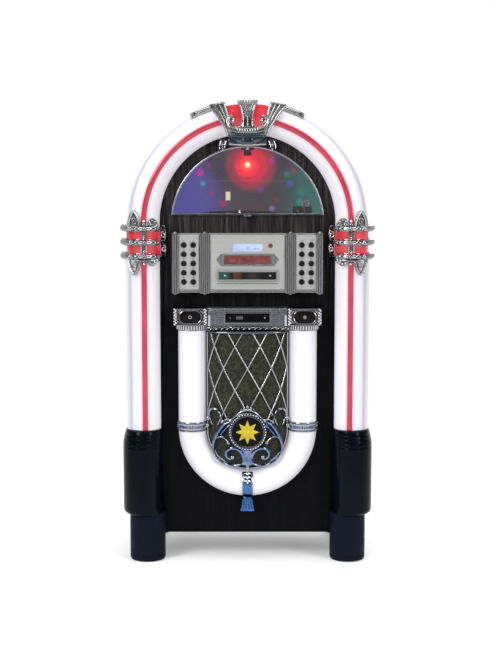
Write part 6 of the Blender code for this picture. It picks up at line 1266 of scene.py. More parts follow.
def makeWindow(spec):
    front, r, sill, trim = spec["front"], spec["radius"], spec["sill"], spec["trim"]
    trimFinish = chromePlate("windowTrim", (0.43, 0.42, 0.47), 0.16)
    bm = bmesh.new()
    plateIn(bm, [segmentLoop(r, sill), segmentLoop(r - trim, sill + trim)], seatY, front, 0.0014, segments=3)
    for side in (-1, 1):               # straps up to the hinges, with a knuckle on each
        x, half = side * spec["hingeX"], spec["width"] / 2 - spec["gap"]
        low = archZ + sqrt(r * r - (spec["hingeX"] - 0.0029) ** 2) - trim
        boxIn(bm, (x - half, front - 0.0013, low), (x + half, front + 0.0013, spec["hingeZ"] - 0.0034), 0.0005)
        barrel = [(0.0021, -half), (spec["knuckle"] - 0.0004, -half), (spec["knuckle"], -half + 0.0004),
            (spec["knuckle"], half - 0.0004), (spec["knuckle"] - 0.0004, half), (0.0021, half), (0.0021, -half)]
        made = turnIn(bm, barrel, (0, 0, 0), "Z", 32)
        bmesh.ops.rotate(bm, verts=made, cent=(0, 0, 0), matrix=Matrix.Rotation(halfTurn / 2, 3, "Y"))
        bmesh.ops.translate(bm, vec=(x, spec["hingeY"], spec["hingeZ"]), verts=made)
    # two-lobed pull on the sill
    for side in (-1, 1):
        loop = [(side * 0.0006, sill - 0.0036), (side * 0.0096, sill - 0.003), (side * 0.0098, sill + 0.001),
            (side * 0.007, sill + 0.004), (side * 0.003, sill + 0.0036), (side * 0.0006, sill + 0.0016)]
        plateIn(bm, [loop[::side]], front + 0.0005, front - 0.0085, 0.0011, 1, segments=3)
        ballIn(bm, (side * 0.0052, front - 0.0084, sill + 0.0004), 0.003, (1.2, 0.5, 0.9), 12, 8, 1)
    boxIn(bm, (-0.0065, front - 0.006, sill - 0.002), (0.0065, front + 0.001, sill + 0.0022), 0.0008)
    reach = sqrt(r * r - (archZ - sill - 0.0004) ** 2) - 0.0024
    boxIn(bm, (-reach, front - 0.0005, sill + 0.0004), (reach, front + 0.001, sill + trim - 0.0012), 0.0006, 2, 1)
    finishPiece(bm, "windowFrame", "window", [trimFinish, paintedDeepShadeChrome], ["window_frame"], 40)
    bm = bmesh.new()
    mid = (seatY + front) / 2
    plateIn(bm, [segmentLoop(r - trim - 0.0003, sill + trim + 0.0003)], mid + spec["pane"] / 2,
        mid - spec["pane"] / 2, 0.0003)
    finishPiece(bm, "windowPane", "window", windowGlass(), ["window_pane"], 4)
    bm = bmesh.new()
    w, k = spec["width"], spec["knuckle"]
    end = spec["hingeX"] + w * 1.5 + 0.0016
    rodIn(bm, (-end, spec["hingeY"], spec["hingeZ"]), (end, spec["hingeY"], spec["hingeZ"]), 0.0016, segments=16,
        slot=1)
    for side in (-1, 1):
        x = side * spec["hingeX"]
        for step in (-1, 1):
            ear = x + step * w
            rodIn(bm, (ear - w / 2, spec["hingeY"], spec["hingeZ"]), (ear + w / 2, spec["hingeY"], spec["hingeZ"]), k,
                segments=32)
            boxIn(bm, (ear - w / 2 + 0.0003, spec["hingeY"] - k / 2, spec["hingeZ"]), (ear + w / 2 - 0.0003,
                seatY - 0.0003, spec["hingeZ"] + 0.0072), 0.0004)
        plateIn(bm, [[(x - w * 1.5, spec["hingeZ"] + 0.0051), (x + w * 1.5, spec["hingeZ"] + 0.0051),
            (x + w * 1.4, spec["hingeZ"] + 0.0102), (x + w * 0.8, spec["hingeZ"] + 0.0111),
            (x - w * 0.8, spec["hingeZ"] + 0.0111), (x - w * 1.4, spec["hingeZ"] + 0.0102)]], seatY - 0.0003,
            seatY - 0.0026, 0.0005)
        # curved ribs down both sides of the strap
        for rib in (((0.065, 7.0), (0.068, -1.5), (0.0693, -8.0), (0.0692, -12.6)), ((0.052, 7.0), (0.0556, -1.0),
                (0.0566, -6.0), (0.0564, -9.4))):
            wireIn(bm, [(side * rx, -0.129, spec["hingeZ"] + rz / 1000) for rx, rz in rib], 0.0014, 2)
    finishPiece(bm, "windowHinges", "cabinet", [paintedShadeChrome, plasticBlack], ["window_hinge"], 40)


makeWindow(windowSizes)
print("window done")

# control console: grey plate, fluted pilasters, display, sensor, badge frame, song buttons with their numbers

consoleSizes = {"half": 0.1725, "low": 0.686, "high": 0.832, "face": -0.1498, "plate": 0.004, "rise": 0.0055,
    "outer": (0.179, 0.017, 3), "inner": (0.1065, 0.0241, 5), "tip": 0.006, "buttonHole": 0.0066, "columnX": 0.1464,
    "columnPitch": 0.0234, "topZ": 0.8049, "rowPitch": 0.023, "badgeZ": 0.768, "badge": (0.1546, 0.03, 0.011),
    "field": (0.115, 0.0205), "display": (0.075, 0.0201, 0.7984), "sensor": (0.0573, 0.803, 0.0055),
    "door": (0.1514, 0.0263, 0.72845)}


def rectLoop(x, z, width, height, corner=0.0):
    if not corner:
        return [(x - width / 2, z - height / 2), (x + width / 2, z - height / 2), (x + width / 2, z + height / 2),
            (x - width / 2, z + height / 2)]
    loop = []
    for k, (sx, sz) in enumerate(((1, 1), (-1, 1), (-1, -1), (1, -1))):
        loop += arcPoints(x + sx * (width / 2 - corner), z + sz * (height / 2 - corner), corner, corner,
            halfTurn / 2 * k, halfTurn / 2 * (k + 1), 6)
    return loop


def buttonSpots(spec):                 # row by row, the left plate first
    spots = []
    for side in (-1, 1):
        for row in range(5):
            for column in (-1, 1):
                spots.append((side * spec["columnX"] + column * spec["columnPitch"] / 2,
                    spec["topZ"] - row * spec["rowPitch"]))
    return spots


def figuresIn(bm, text, at, height, depth, slot=0):      # plain figures, raised by a print's thickness
    words = bpy.data.curves.new("figures", "FONT")
    words.body, words.size, words.extrude = text, height, depth / 2
    words.align_x, words.align_y = "CENTER", "CENTER"
    curveIn(bm, words, Matrix.Translation(at) @ Matrix.Rotation(halfTurn / 2, 4, "X"), slot)


def flutedIn(bm, x, width, back, front, ribs, low, high, slot=0):
    rib = width / ribs / 2
    plan = [(x - width / 2, back)]
    for k in range(ribs):
        mid = x - width / 2 + rib * (2 * k + 1)
        plan += arcPoints(mid, front + rib * 0.9, rib, rib * 0.9, halfTurn, 2 * halfTurn, 10)[:-1]
    plan += [(x + width / 2, front + rib * 0.9), (x + width / 2, back)]
    before = set(bm.verts)
    face = bm.faces.new([bm.verts.new((px, py, low)) for px, py in plan])
    raiseFace(bm, face, high - low)
    paint([v for v in bm.verts if v not in before], slot)


def makeConsole(spec):
    face, low, high, half = spec["face"], spec["low"], spec["high"], spec["half"]
    grey = satinPaint("fasciaGrey", (0.455, 0.462, 0.452))
    trim = brushedPlate("brushedTrim", (0.27, 0.27, 0.28), 0.22)
    ink = matteBlack("printInk", (0.03, 0.03, 0.032), 0.6)
    bm = bmesh.new()
    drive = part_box("disc_drive")
    dx, dlow, dhigh = drive[1][0] + 0.0003, drive[0][2] - 0.0003, drive[1][2] + 0.0003
    loops = [rectLoop(0, (low + high) / 2, 2 * half, high - low)]
    loops += [ringLoop(x, z, spec["buttonHole"], 32) for x, z in buttonSpots(spec)]
    loops.append(rectLoop(0, spec["display"][2], spec["display"][0] + 0.0006, spec["display"][1] + 0.0006))
    loops.append(ringLoop(*spec["sensor"][:2], spec["sensor"][2] + 0.0003, 32))
    loops.append([(dx, dlow), (dx, dhigh), (-dx, dhigh), (-dx, dlow)])
    plateIn(bm, loops, face + spec["plate"], face, 0.0004)
    for x0, x1, z0, z1 in ((-half, half, high - 0.004, high), (-half, half, low, low + 0.004), (-half, -half + 0.004,
            low, high), (half - 0.004, half, low, high)):
        boxIn(bm, (x0, face + spec["plate"] - 0.0005, z0), (x1, seatY, z1), 0.0003, 1)
    for side in (-1, 1):
        x, width, ribs = spec["outer"]
        flutedIn(bm, side * x, width, seatY, face - spec["rise"], ribs, low - spec["tip"] + 0.004,
            high + spec["tip"] - 0.004, 1)
        for z, tall in ((high + spec["tip"] - 0.005, 1), (low - spec["tip"] + 0.005, -1)):      # finials
            for k, r in ((0, 0.0068), (1, 0.005)):
                ballIn(bm, (side * x, face - spec["rise"] + 0.0075, z + tall * 0.0022 * k), r, (1, 0.9, 0.62), 20, 12,
                    1)
        x, width, ribs = spec["inner"]
        flutedIn(bm, side * x, width, face + 0.002, face - spec["rise"], ribs, low - spec["tip"] + 0.004,
            high + spec["tip"] - 0.004, 1)
        for z, tall in ((high + spec["tip"] - 0.005, 1), (low - spec["tip"] + 0.005, -1)):
            for k, r in ((0, 0.0062), (1, 0.0044)):
                ballIn(bm, (side * x, face - spec["rise"] + 0.0062, z + tall * 0.0024 * k), r, (1, 0.8, 0.62), 20, 12,
                    1)
        for edge in (-1, 1):           # smooth strips beside the flutes
            boxIn(bm, (side * x + edge * (width / 2 + 0.0012) - 0.0013, face - 0.0018, low + 0.001),
                (side * x + edge * (width / 2 + 0.0012) + 0.0013, face + 0.001, high - 0.001), 0.0006, 2, 1)
    # mouldings along the foot of each plate
    for x0, x1 in ((-0.17, -0.121), (-0.092, 0.092), (0.121, 0.17)):
        boxIn(bm, (x0, face - 0.0026, low + 0.001), (x1, face + 0.001, low + 0.0052), 0.0012, 3, 1)
        boxIn(bm, (x0, face - 0.0012, low + 0.0064), (x1, face + 0.001, low + 0.008), 0.0005, 2, 1)
        boxIn(bm, (x0, face - 0.0008, high - 0.0022), (x1, face + 0.001, high - 0.0008), 0.0005, 2, 1)
    # pointed badge frame with fins at its ends, and a bare field of plain cut glass
    width, height, point = spec["badge"]
    z, reach = spec["badgeZ"], width / 2
    shape = [(reach, z), (reach - point, z + height / 2), (-reach + point, z + height / 2), (-reach, z),
        (-reach + point, z - height / 2), (reach - point, z - height / 2)]
    fieldW, fieldH = spec["field"]
    plateIn(bm, [shape, rectLoop(0, z, fieldW, fieldH)], face + 0.001, face - 0.0014, 0.0005, 1)
    for k in range(-4, 5):
        rise = k * 0.0031
        ends = (fieldW / 2 + 0.0012, reach - abs(rise) / (height / 2) * point - 0.0016)
        for side in (-1, 1):
            rodIn(bm, (side * ends[0], face - 0.0014, z + rise), (side * ends[1], face - 0.0014, z + rise), 0.0011,
                segments=10, slot=1)
    for edge in (-1, 1):
        rodIn(bm, (-reach + point, face - 0.0012, z + edge * (height / 2 - 0.0016)), (reach - point, face - 0.0012,
            z + edge * (height / 2 - 0.0016)), 0.0014, segments=10, slot=1)
    boxIn(bm, (-fieldW / 2, face - 0.0004, z - fieldH / 2), (fieldW / 2, face + 0.001, z + fieldH / 2), 0.0001, 1, 3)
    # groove line under the drawer and a frame round it
    dw = spec["door"][0]
    boxIn(bm, (-dw / 2 - 0.001, face - 0.0006, 0.708), (dw / 2 + 0.001, face + 0.001, 0.7094), 0.0003, 1, 1)
    plateIn(bm, [rectLoop(0, spec["display"][2], 0.0795, 0.0245, 0.001), rectLoop(0, spec["display"][2], 0.075,
        0.0201)], face + 0.001, face - 0.0006, 0.0003, 0)
    for number, (x, bz) in enumerate(buttonSpots(spec)):
        figuresIn(bm, str(number + 1), (x, face - 0.0001, bz + 0.0108), 0.0062, 0.0003, 2)
        turnIn(bm, [(0.0066, -0.001), (0.0066, 0.0004), (0.0073, 0.0005), (0.0076, 0)], (x, face, bz), "Y", 28, 1)
    badgeRed = litLens("badgeRed", (0.15, 0.012, 0.016), (0.34, 0.06, 0.062), 0.14, 90.0)
    finishPiece(bm, "controlPlate", "cabinet", [grey, trim, ink, badgeRed], ["control_fascia"], 34)
    makeDisplay(spec)


def displayBlue():
    mat = newFinish("displayBlue", Roughness=0.12, Specular_IOR_Level=0.45)
    tree = mat.node_tree
    cells = addNode(tree, "TexChecker", None, {"Vector": place(tree), "Scale": 900.0, "Color1": (1, 1, 1, 1),
        "Color2": (0.93, 0.94, 0.97, 1)})
    cloud = ramp(tree, noise(tree, place(tree, (1, 1, 2)), 16.0, 2), [(0.35, (0.4, 0.52, 0.83)),
        (0.7, (0.62, 0.72, 0.93))])
    return glowing(mat, tree, mixed(tree, 1.0, cloud, cells, "MULTIPLY"), 0.6, 0.42)


def makeDisplay(spec):
    face = spec["face"]
    width, height, z = spec["display"]
    blue = displayBlue()
    bm = bmesh.new()
    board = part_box("display_board")
    boxIn(bm, (board[0][0], board[1][1] - 0.0018, board[0][2]), board[1], 0.0004, 1, 0)
    boxIn(bm, (-width / 2, face + 0.0008, z - height / 2), (width / 2, board[1][1] - 0.001, z + height / 2), 0.0003,
        1, 1)
    figuresIn(bm, "01", (0.002, face + 0.0007, z - 0.0012), 0.0085, 0.0003, 2)
    for k in range(7):                 # plain level bars
        tall = 0.0012 + 0.0007 * ((k * 5) % 4)
        boxIn(bm, (0.015 + k * 0.002, face + 0.0006, z - 0.004), (0.0162 + k * 0.002, face + 0.0009,
            z - 0.004 + tall), 0, 1, 2)
    sx, sz, sr = spec["sensor"]
    dome = [(sr, -0.005), (sr, 0.0), (sr * 0.93, 0.0004), (sr * 0.7, 0.0007), (0, 0.0008)]
    turnIn(bm, dome + [(0, -0.005)], (sx, face, sz), "Y", 32, 3)
    figures = matteBlack("displayInk", (0.1, 0.14, 0.3), 0.5)
    red = litLens("sensorRed", (0.2, 0.006, 0.012), (0.42, 0.02, 0.035), 0.12, 300.0)
    finishPiece(bm, "displayBoard", "cabinet", [plasticBlack, blue, figures, red], ["display_board"],
        34)


makeConsole(consoleSizes)

# song buttons: turned caps with a dished top and a rim

buttonSizes = {"radius": 0.006, "front": 0.0032, "edge": 0.0007, "flange": 0.0013, "plate": 0.0043,
    "flangeThick": 0.0018}


def makeButtons(spec):
    capBlack = matteBlack("capBlack", (0.0065, 0.0065, 0.007), 0.3, 1200.0)
    r, f = spec["radius"], spec["front"]
    profile = [(0, f - 0.0005), (r * 0.45, f - 0.0004), (r * 0.72, f), (r - spec["edge"], f),
        (r - 0.0002, f - 0.0003), (r, f - spec["edge"]), (r, -spec["plate"]), (r + spec["flange"], -spec["plate"]),
        (r + spec["flange"], -spec["plate"] - spec["flangeThick"]), (0, -spec["plate"] - spec["flangeThick"])]
    for number, (x, z) in enumerate(buttonSpots(consoleSizes)):
        bm = bmesh.new()
        turnIn(bm, profile, (x, consoleSizes["face"], z), "Y", 32)
        name = "{:02d}".format(number + 1)
        finishPiece(bm, "songButton" + name, "song_button_" + name + "_key", capBlack,
            ["song_button_" + name], 30)


makeButtons(buttonSizes)
print("console done")

# disc drawer: tray with its mirror-black door

drawerSizes = {"door": (0.1514, 0.0263, 0.72845), "thick": 0.0045, "back": -0.1501, "corner": 0.0012,
    "glass": (0.143, 0.0185), "screwX": 0.056, "tray": 0.134}


def mirrorBlack():
    mat = newFinish("mirrorBlack", Roughness=0.06, Specular_IOR_Level=0.15)
    tree = mat.node_tree
    across = addNode(tree, "SeparateXYZ", None, {0: place(tree)})
    # painted reflection: the room's green and brown show faintly in the left half
    tint = ramp(tree, calc(tree, "ADD", calc(tree, "MULTIPLY", across, 6.0), 0.5), [(0.02, (0.028, 0.105, 0.082)),
        (0.2, (0.022, 0.08, 0.062)), (0.27, (0.006, 0.01, 0.009)), (0.31, (0.11, 0.042, 0.024)),
        (0.38, (0.085, 0.03, 0.018)), (0.44, (0.01, 0.006, 0.006)), (0.58, (0.035, 0.032, 0.028)),
        (0.72, (0.006, 0.006, 0.006))])
    return feed(mat, Base_Color=mixed(tree, calc(tree, "MULTIPLY", noise(tree, place(tree), 30.0, 3), 0.35), tint,
        (0.004, 0.004, 0.005)))


def makeDrawer(spec):
    width, height, z = spec["door"]
    frameGrey = satinPaint("doorGrey", (0.3, 0.3, 0.3), 0.32)
    bm = bmesh.new()
    plateIn(bm, [rectLoop(0, z, width, height, spec["corner"])], spec["back"], spec["back"] - spec["thick"] + 0.0006,
        0.0008, 0)
    gw, gh = spec["glass"]
    plateIn(bm, [rectLoop(0, z, width, height, spec["corner"]), rectLoop(0, z, gw, gh, 0.001)],
        spec["back"] - spec["thick"] + 0.001, spec["back"] - spec["thick"], 0.0004, 0)
    boxIn(bm, (-gw / 2 - 0.0002, spec["back"] - spec["thick"] + 0.0005, z - gh / 2 - 0.0002),
        (gw / 2 + 0.0002, spec["back"] - 0.001, z + gh / 2 + 0.0002), 0.0002, 1, 1)
    for side in (-1, 1):
        screwIn(bm, (side * spec["screwX"], spec["back"] - spec["thick"] + 0.0009, z + 0.0003), 0.0024, 2)
    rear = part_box("disc_tray")[1][1]
    half, bottom = spec["tray"] / 2, z - 0.007
    boxIn(bm, (-half, spec["back"] - 0.001, bottom), (half, rear, bottom + 0.0035), 0.0004, 1, 3)
    # rim round the disc's well
    well = ringLoop(0, spec["back"] + 0.0685, 0.0605, 64)
    loops = [[(-half, spec["back"]), (half, spec["back"]), (half, rear), (-half, rear)], well]
    slabIn(bm, loops, bottom + 0.0036, bottom + 0.0068, 0, 3)
    turnIn(bm, [(0.0605, 0.0), (0.06, 0.0002), (0.042, 0.0002), (0.041, -0.0006), (0.0, -0.0006)],
        (0, spec["back"] + 0.0685, bottom + 0.004), "Z", 64, 3)
    finishPiece(bm, "discDrawer", "disc_drawer", [frameGrey, mirrorBlack(), brushedSteel, plasticBlack],
        ["disc_tray"], 34)


makeDrawer(drawerSizes)

# port bar: ribbed silver bar between two framed switch blocks

portSizes = {"bar": (0.103, 0.602, 0.648), "barFace": -0.1538, "block": (0.101, 0.184, 0.605, 0.648),
    "blockFace": -0.1628, "switch": (0.1425, 0.6262, 0.052, 0.029), "plate": (0.11, 0.022, 0.6235), "recess": 0.002,
    "plateThick": 0.003, "collarTop": 0.605, "collarLow": 0.5903, "legX": 0.1395}


def makePortBar(spec):
    halfBar, low, high = spec["bar"]
    face = spec["barFace"]
    bm = bmesh.new()
    silver = brushedPlate("ribbedSilver", (0.23, 0.245, 0.27), 0.3, (3, 500, 500))
    blockDark = matteBlack("blockDark", (0.02, 0.018, 0.018), 0.3)
    # body of the bar round the port window
    pw, ph, pz = spec["plate"]
    plateIn(bm, [rectLoop(0, (low + high) / 2, 2 * halfBar, high - low), rectLoop(0, pz, pw + 0.0006, ph + 0.0006)],
        seatY, face + 0.0012, 0.0004, 1)
    ribs = 9
    pitch = (high - low - 0.006) / ribs
    for k in range(ribs):
        z = low + 0.0045 + pitch * (k + 0.5)
        spans = [(-halfBar + 0.004, halfBar - 0.004)]
        if abs(z - pz) < ph / 2 + 0.003:
            spans = [(-halfBar + 0.004, -pw / 2 - 0.003), (pw / 2 + 0.003, halfBar - 0.004)]
        for x0, x1 in spans:
            rodIn(bm, (x0, face + 0.001, z), (x1, face + 0.001, z), pitch * 0.46, segments=12, slot=1)
    for side in (-1, 1):               # bright upright strips
        for x, half, slot in ((0.0575, 0.001, 0), (0.079, 0.001, 0), (0.0955, 0.003, 3)):
            boxIn(bm, (side * x - half, face - 0.0012, low + 0.001), (side * x + half, face + 0.002, high - 0.001),
                0.0008, 3, slot)
    plateIn(bm, [rectLoop(0, pz, pw + 0.007, ph + 0.007, 0.002), rectLoop(0, pz, pw + 0.0008, ph + 0.0008, 0.001)],
        face + 0.002, face - 0.001, 0.0008, 0)
    boxIn(bm, (-halfBar, face - 0.0008, high - 0.0028), (halfBar, face + 0.003, high - 0.0002), 0.001, 2, 0)
    boxIn(bm, (-halfBar, face - 0.0004, low + 0.0002), (halfBar, face + 0.003, low + 0.003), 0.001, 2, 0)
    # dark valance under the bar, with scallops along its foot
    boxIn(bm, (-0.1004, -0.149, 0.594), (0.1004, seatY, low + 0.001), 0.0008, 2, 4)
    for k in range(15):
        x = -0.0966 + 0.0138 * k
        drop = [(x - 0.0066, 0.6012), (x - 0.006, 0.596), (x, 0.5922), (x + 0.006, 0.596), (x + 0.0066, 0.6012)]
        wireIn(bm, [(px, -0.15, pz) for px, pz in drop], 0.0012, 2, smooth=3)
        ballIn(bm, (x, -0.15, 0.5985), 0.003, (1.3, 0.7, 0.8), 10, 7, 0 if k % 4 else 3)
    sx, sz, sw, sh = spec["switch"]
    x0, x1, blow, bhigh = spec["block"]
    bface = spec["blockFace"]
    for side in (-1, 1):
        mid = side * (x0 + x1) / 2
        wide = x1 - x0
        oval = ovalLoop(side * sx, sz, sw + 0.0014, sh + 0.0014, 16)
        plateIn(bm, [rectLoop(mid, (blow + bhigh) / 2, wide, bhigh - blow), oval], seatY, bface + 0.0012, 0.001, 0)
        boxIn(bm, (mid - wide / 2 + 0.004, bface + 0.0095, blow + 0.003), (mid + wide / 2 - 0.004, bface + 0.0125,
            bhigh - 0.003), 0, 1, 2)
        # dark field, a raised lip and an octagon of beads round the oval
        plateIn(bm, [rectLoop(mid, (blow + bhigh) / 2, wide - 0.015, bhigh - blow - 0.006), oval], bface + 0.003,
            bface + 0.0002, 0.0004, 4)
        wireIn(bm, [(x, bface + 0.0002, z) for x, z in ovalLoop(side * sx, sz, sw + 0.0036, sh + 0.0036, 16)], 0.0013,
            2, cyclic=True, smooth=0)
        octagon = [(0.034, 0.008), (0.024, 0.0172), (-0.024, 0.0172), (-0.034, 0.008), (-0.034, -0.008),
            (-0.024, -0.0172), (0.024, -0.0172), (0.034, -0.008)]
        for (ax, az), (bx, bz) in zip(octagon, octagon[1:] + octagon[:1]):
            count = max(2, int(hypot(bx - ax, bz - az) / 0.003))
            for k in range(count):
                ballIn(bm, (side * sx + ax + (bx - ax) * k / count, bface + 0.0008, sz + az + (bz - az) * k / count),
                    0.0013, (1, 1, 1), 8, 6, 3 if abs(az - bz) > 0.002 else 0)
        for row in range(11):          # zig-zag beading up both ends of the block
            z = blow + 0.0028 + (bhigh - blow - 0.0056) * row / 10
            for edge in (-1, 1):
                x = mid + edge * (wide / 2 - 0.004) + (0.0014 if row % 2 else -0.0014)
                ballIn(bm, (x, bface + 0.001, z), 0.0028, (1.15, 0.9, 0.85), 10, 7, 3)
        for z in (blow + 0.0014, bhigh - 0.0014):
            wireIn(bm, [(mid - wide / 2 + 0.001, bface + 0.0012, z), (mid + wide / 2 - 0.001, bface + 0.0012, z)],
                0.0013, 2, smooth=0)
        for cx in (-1, 1):             # flowers in the corners
            for cz in (-1, 1):
                at = (side * sx + cx * 0.0325, bface + 0.001, sz + cz * 0.015)
                ballIn(bm, at, 0.0019, (1, 0.9, 1), 8, 6)
                for k in range(6):
                    a = halfTurn * k / 3
                    ballIn(bm, (at[0] + 0.0026 * cos(a), at[1] + 0.0003, at[2] + 0.0026 * sin(a)), 0.0014,
                        (1, 0.8, 1), 8, 6)
        # fluted ring under the block, round the leg of the lit tube
        reach = (x1 - (2 * sx - x1)) / 2 - 0.0045
        plan = arcPoints(side * spec["legX"], seatY - 0.0045, reach, 0.034, halfTurn, 2 * halfTurn, 48)
        plan += [(side * spec["legX"] + reach, seatY), (side * spec["legX"] - reach, seatY)]
        base = bm.faces.new([bm.verts.new((x, y, spec["collarLow"])) for x, y in plan])
        raiseFace(bm, base, spec["collarTop"] + 0.001 - spec["collarLow"])
        for k in range(17):
            a = halfTurn + halfTurn * (k + 0.5) / 17
            x, y = side * spec["legX"] + reach * cos(a), seatY - 0.0045 + 0.034 * sin(a)
            rodIn(bm, (x, y, spec["collarLow"] + 0.0022), (x, y, spec["collarTop"] - 0.0012), 0.0027, segments=12,
                slot=3)
        for z in (spec["collarLow"] + 0.0014, spec["collarTop"] - 0.0006):
            ring = arcPoints(side * spec["legX"], seatY - 0.0045, reach, 0.034, halfTurn, 2 * halfTurn, 40)
            wireIn(bm, [(x, y, z) for x, y in ring], 0.0015, 2, smooth=0)
    finishPiece(bm, "portBar", "cabinet", [paintedShadeChrome, silver, plasticBlack, paintedLitChrome, blockDark],
        ["port_console"], 40)


makePortBar(portSizes)


def makePortWindow(spec):              # dark window with its two sockets
    pw, ph, pz = spec["plate"]
    front = spec["barFace"] + spec["recess"]
    smoke = matteBlack("portSmoke", (0.002, 0.002, 0.003), 0.16, 700.0, 0.05)
    bm = bmesh.new()
    usb, card = rectLoop(-0.02, pz, 0.0135, 0.006), rectLoop(0.012, pz, 0.026, 0.003)
    plateIn(bm, [rectLoop(0, pz, pw, ph, 0.001), usb, card], front + spec["plateThick"], front, 0.0003, 0)
    boxIn(bm, (-0.0262, front + 0.001, pz - 0.001), (-0.0138, front + 0.0026, pz + 0.0004), 0.0001, 1, 1)
    plateIn(bm, [rectLoop(-0.02, pz, 0.0151, 0.0076), usb], front + 0.001, front - 0.0004, 0.0002, 1)
    plateIn(bm, [rectLoop(0.012, pz, 0.028, 0.0048), card], front + 0.001, front - 0.0003, 0.0001, 2)
    turnIn(bm, [(0.0021, 0), (0.0021, 0.0004), (0.0015, 0.0006), (0, 0.0006)], (0.043, front, pz), "Y", 20, 1)
    turnIn(bm, [(0.0012, 0), (0.0012, 0.0003), (0, 0.0005)], (-0.043, front, pz), "Y", 16, 1)
    finishPiece(bm, "portWindow", "cabinet", [smoke, brushedSteel, plasticBlack], ["port_plate"], 34)


makePortWindow(portSizes)


def makeSwitches(spec):                # two oval keys with a plain power mark and a plain lamp mark
    sx, sz, sw, sh = spec["switch"]
    front = spec["blockFace"] - 0.003
    keyBlack = glossBlack("keyBlack", (0.006, 0.0052, 0.005))
    mark = newFinish("keyMark", Roughness=0.5)
    tree = mark.node_tree
    # painted glow: the marks give off a little light, though no lamp lights them
    glowing(mark, tree, ramp(tree, noise(tree, place(tree), 400.0, 2), [(0.3, (0.62, 0.6, 0.57)),
        (0.7, (0.8, 0.78, 0.74))]), 0.8, 0.12)
    for name, side in (("power", -1), ("light", 1)):
        bm = bmesh.new()
        x = side * sx
        plateIn(bm, [ovalLoop(x, sz, sw, sh, 20)], front + 0.01, front + 0.0008, 0.0012, 0, segments=4)
        plateIn(bm, [ovalLoop(x, sz, sw - 0.009, sh - 0.009, 20)], front + 0.003, front, 0.0008, 0, segments=3)
        if side < 0:
            ring = [(x + 0.0036 * cos(a), front - 0.0001, sz + 0.0036 * sin(a))
                for a in [halfTurn * 0.5 + 0.62 + (2 * halfTurn - 1.24) * k / 24 for k in range(25)]]
            wireIn(bm, ring, 0.0005, 1, smooth=0, slot=1)
            wireIn(bm, [(x, front - 0.0001, sz + 0.0012), (x, front - 0.0001, sz + 0.005)], 0.0005, 1, smooth=0,
                slot=1)
        else:
            ring = [(x + 0.0022 * cos(a), front - 0.0001, sz + 0.0022 * sin(a)) for a in [2 * halfTurn * k / 20
                for k in range(20)]]
            wireIn(bm, ring, 0.0005, 1, cyclic=True, smooth=0, slot=1)
            for k in range(8):
                a = halfTurn * k / 4
                wireIn(bm, [(x + 0.0034 * cos(a), front - 0.0001, sz + 0.0034 * sin(a)), (x + 0.0048 * cos(a),
                    front - 0.0001, sz + 0.0048 * sin(a))], 0.0004, 1, smooth=0, slot=1)
        finishPiece(bm, name + "Key", name + "_switch", [keyBlack, mark], [name + "_button"], 34)


makeSwitches(portSizes)
print("port bar done")

# turntable, tonearm and lamp behind the window

deckSizes = {"x": (-0.15, 0.19), "y": (-0.0952, 0.1428), "z": (0.852, 0.865), "corner": 0.012, "platter": (-0.02,
    0.01), "platterRadius": 0.108, "platterZ": 0.8658, "arm": (0.153, 0.075), "axisZ": 0.894, "reach": 0.15,
    "tail": 0.034}


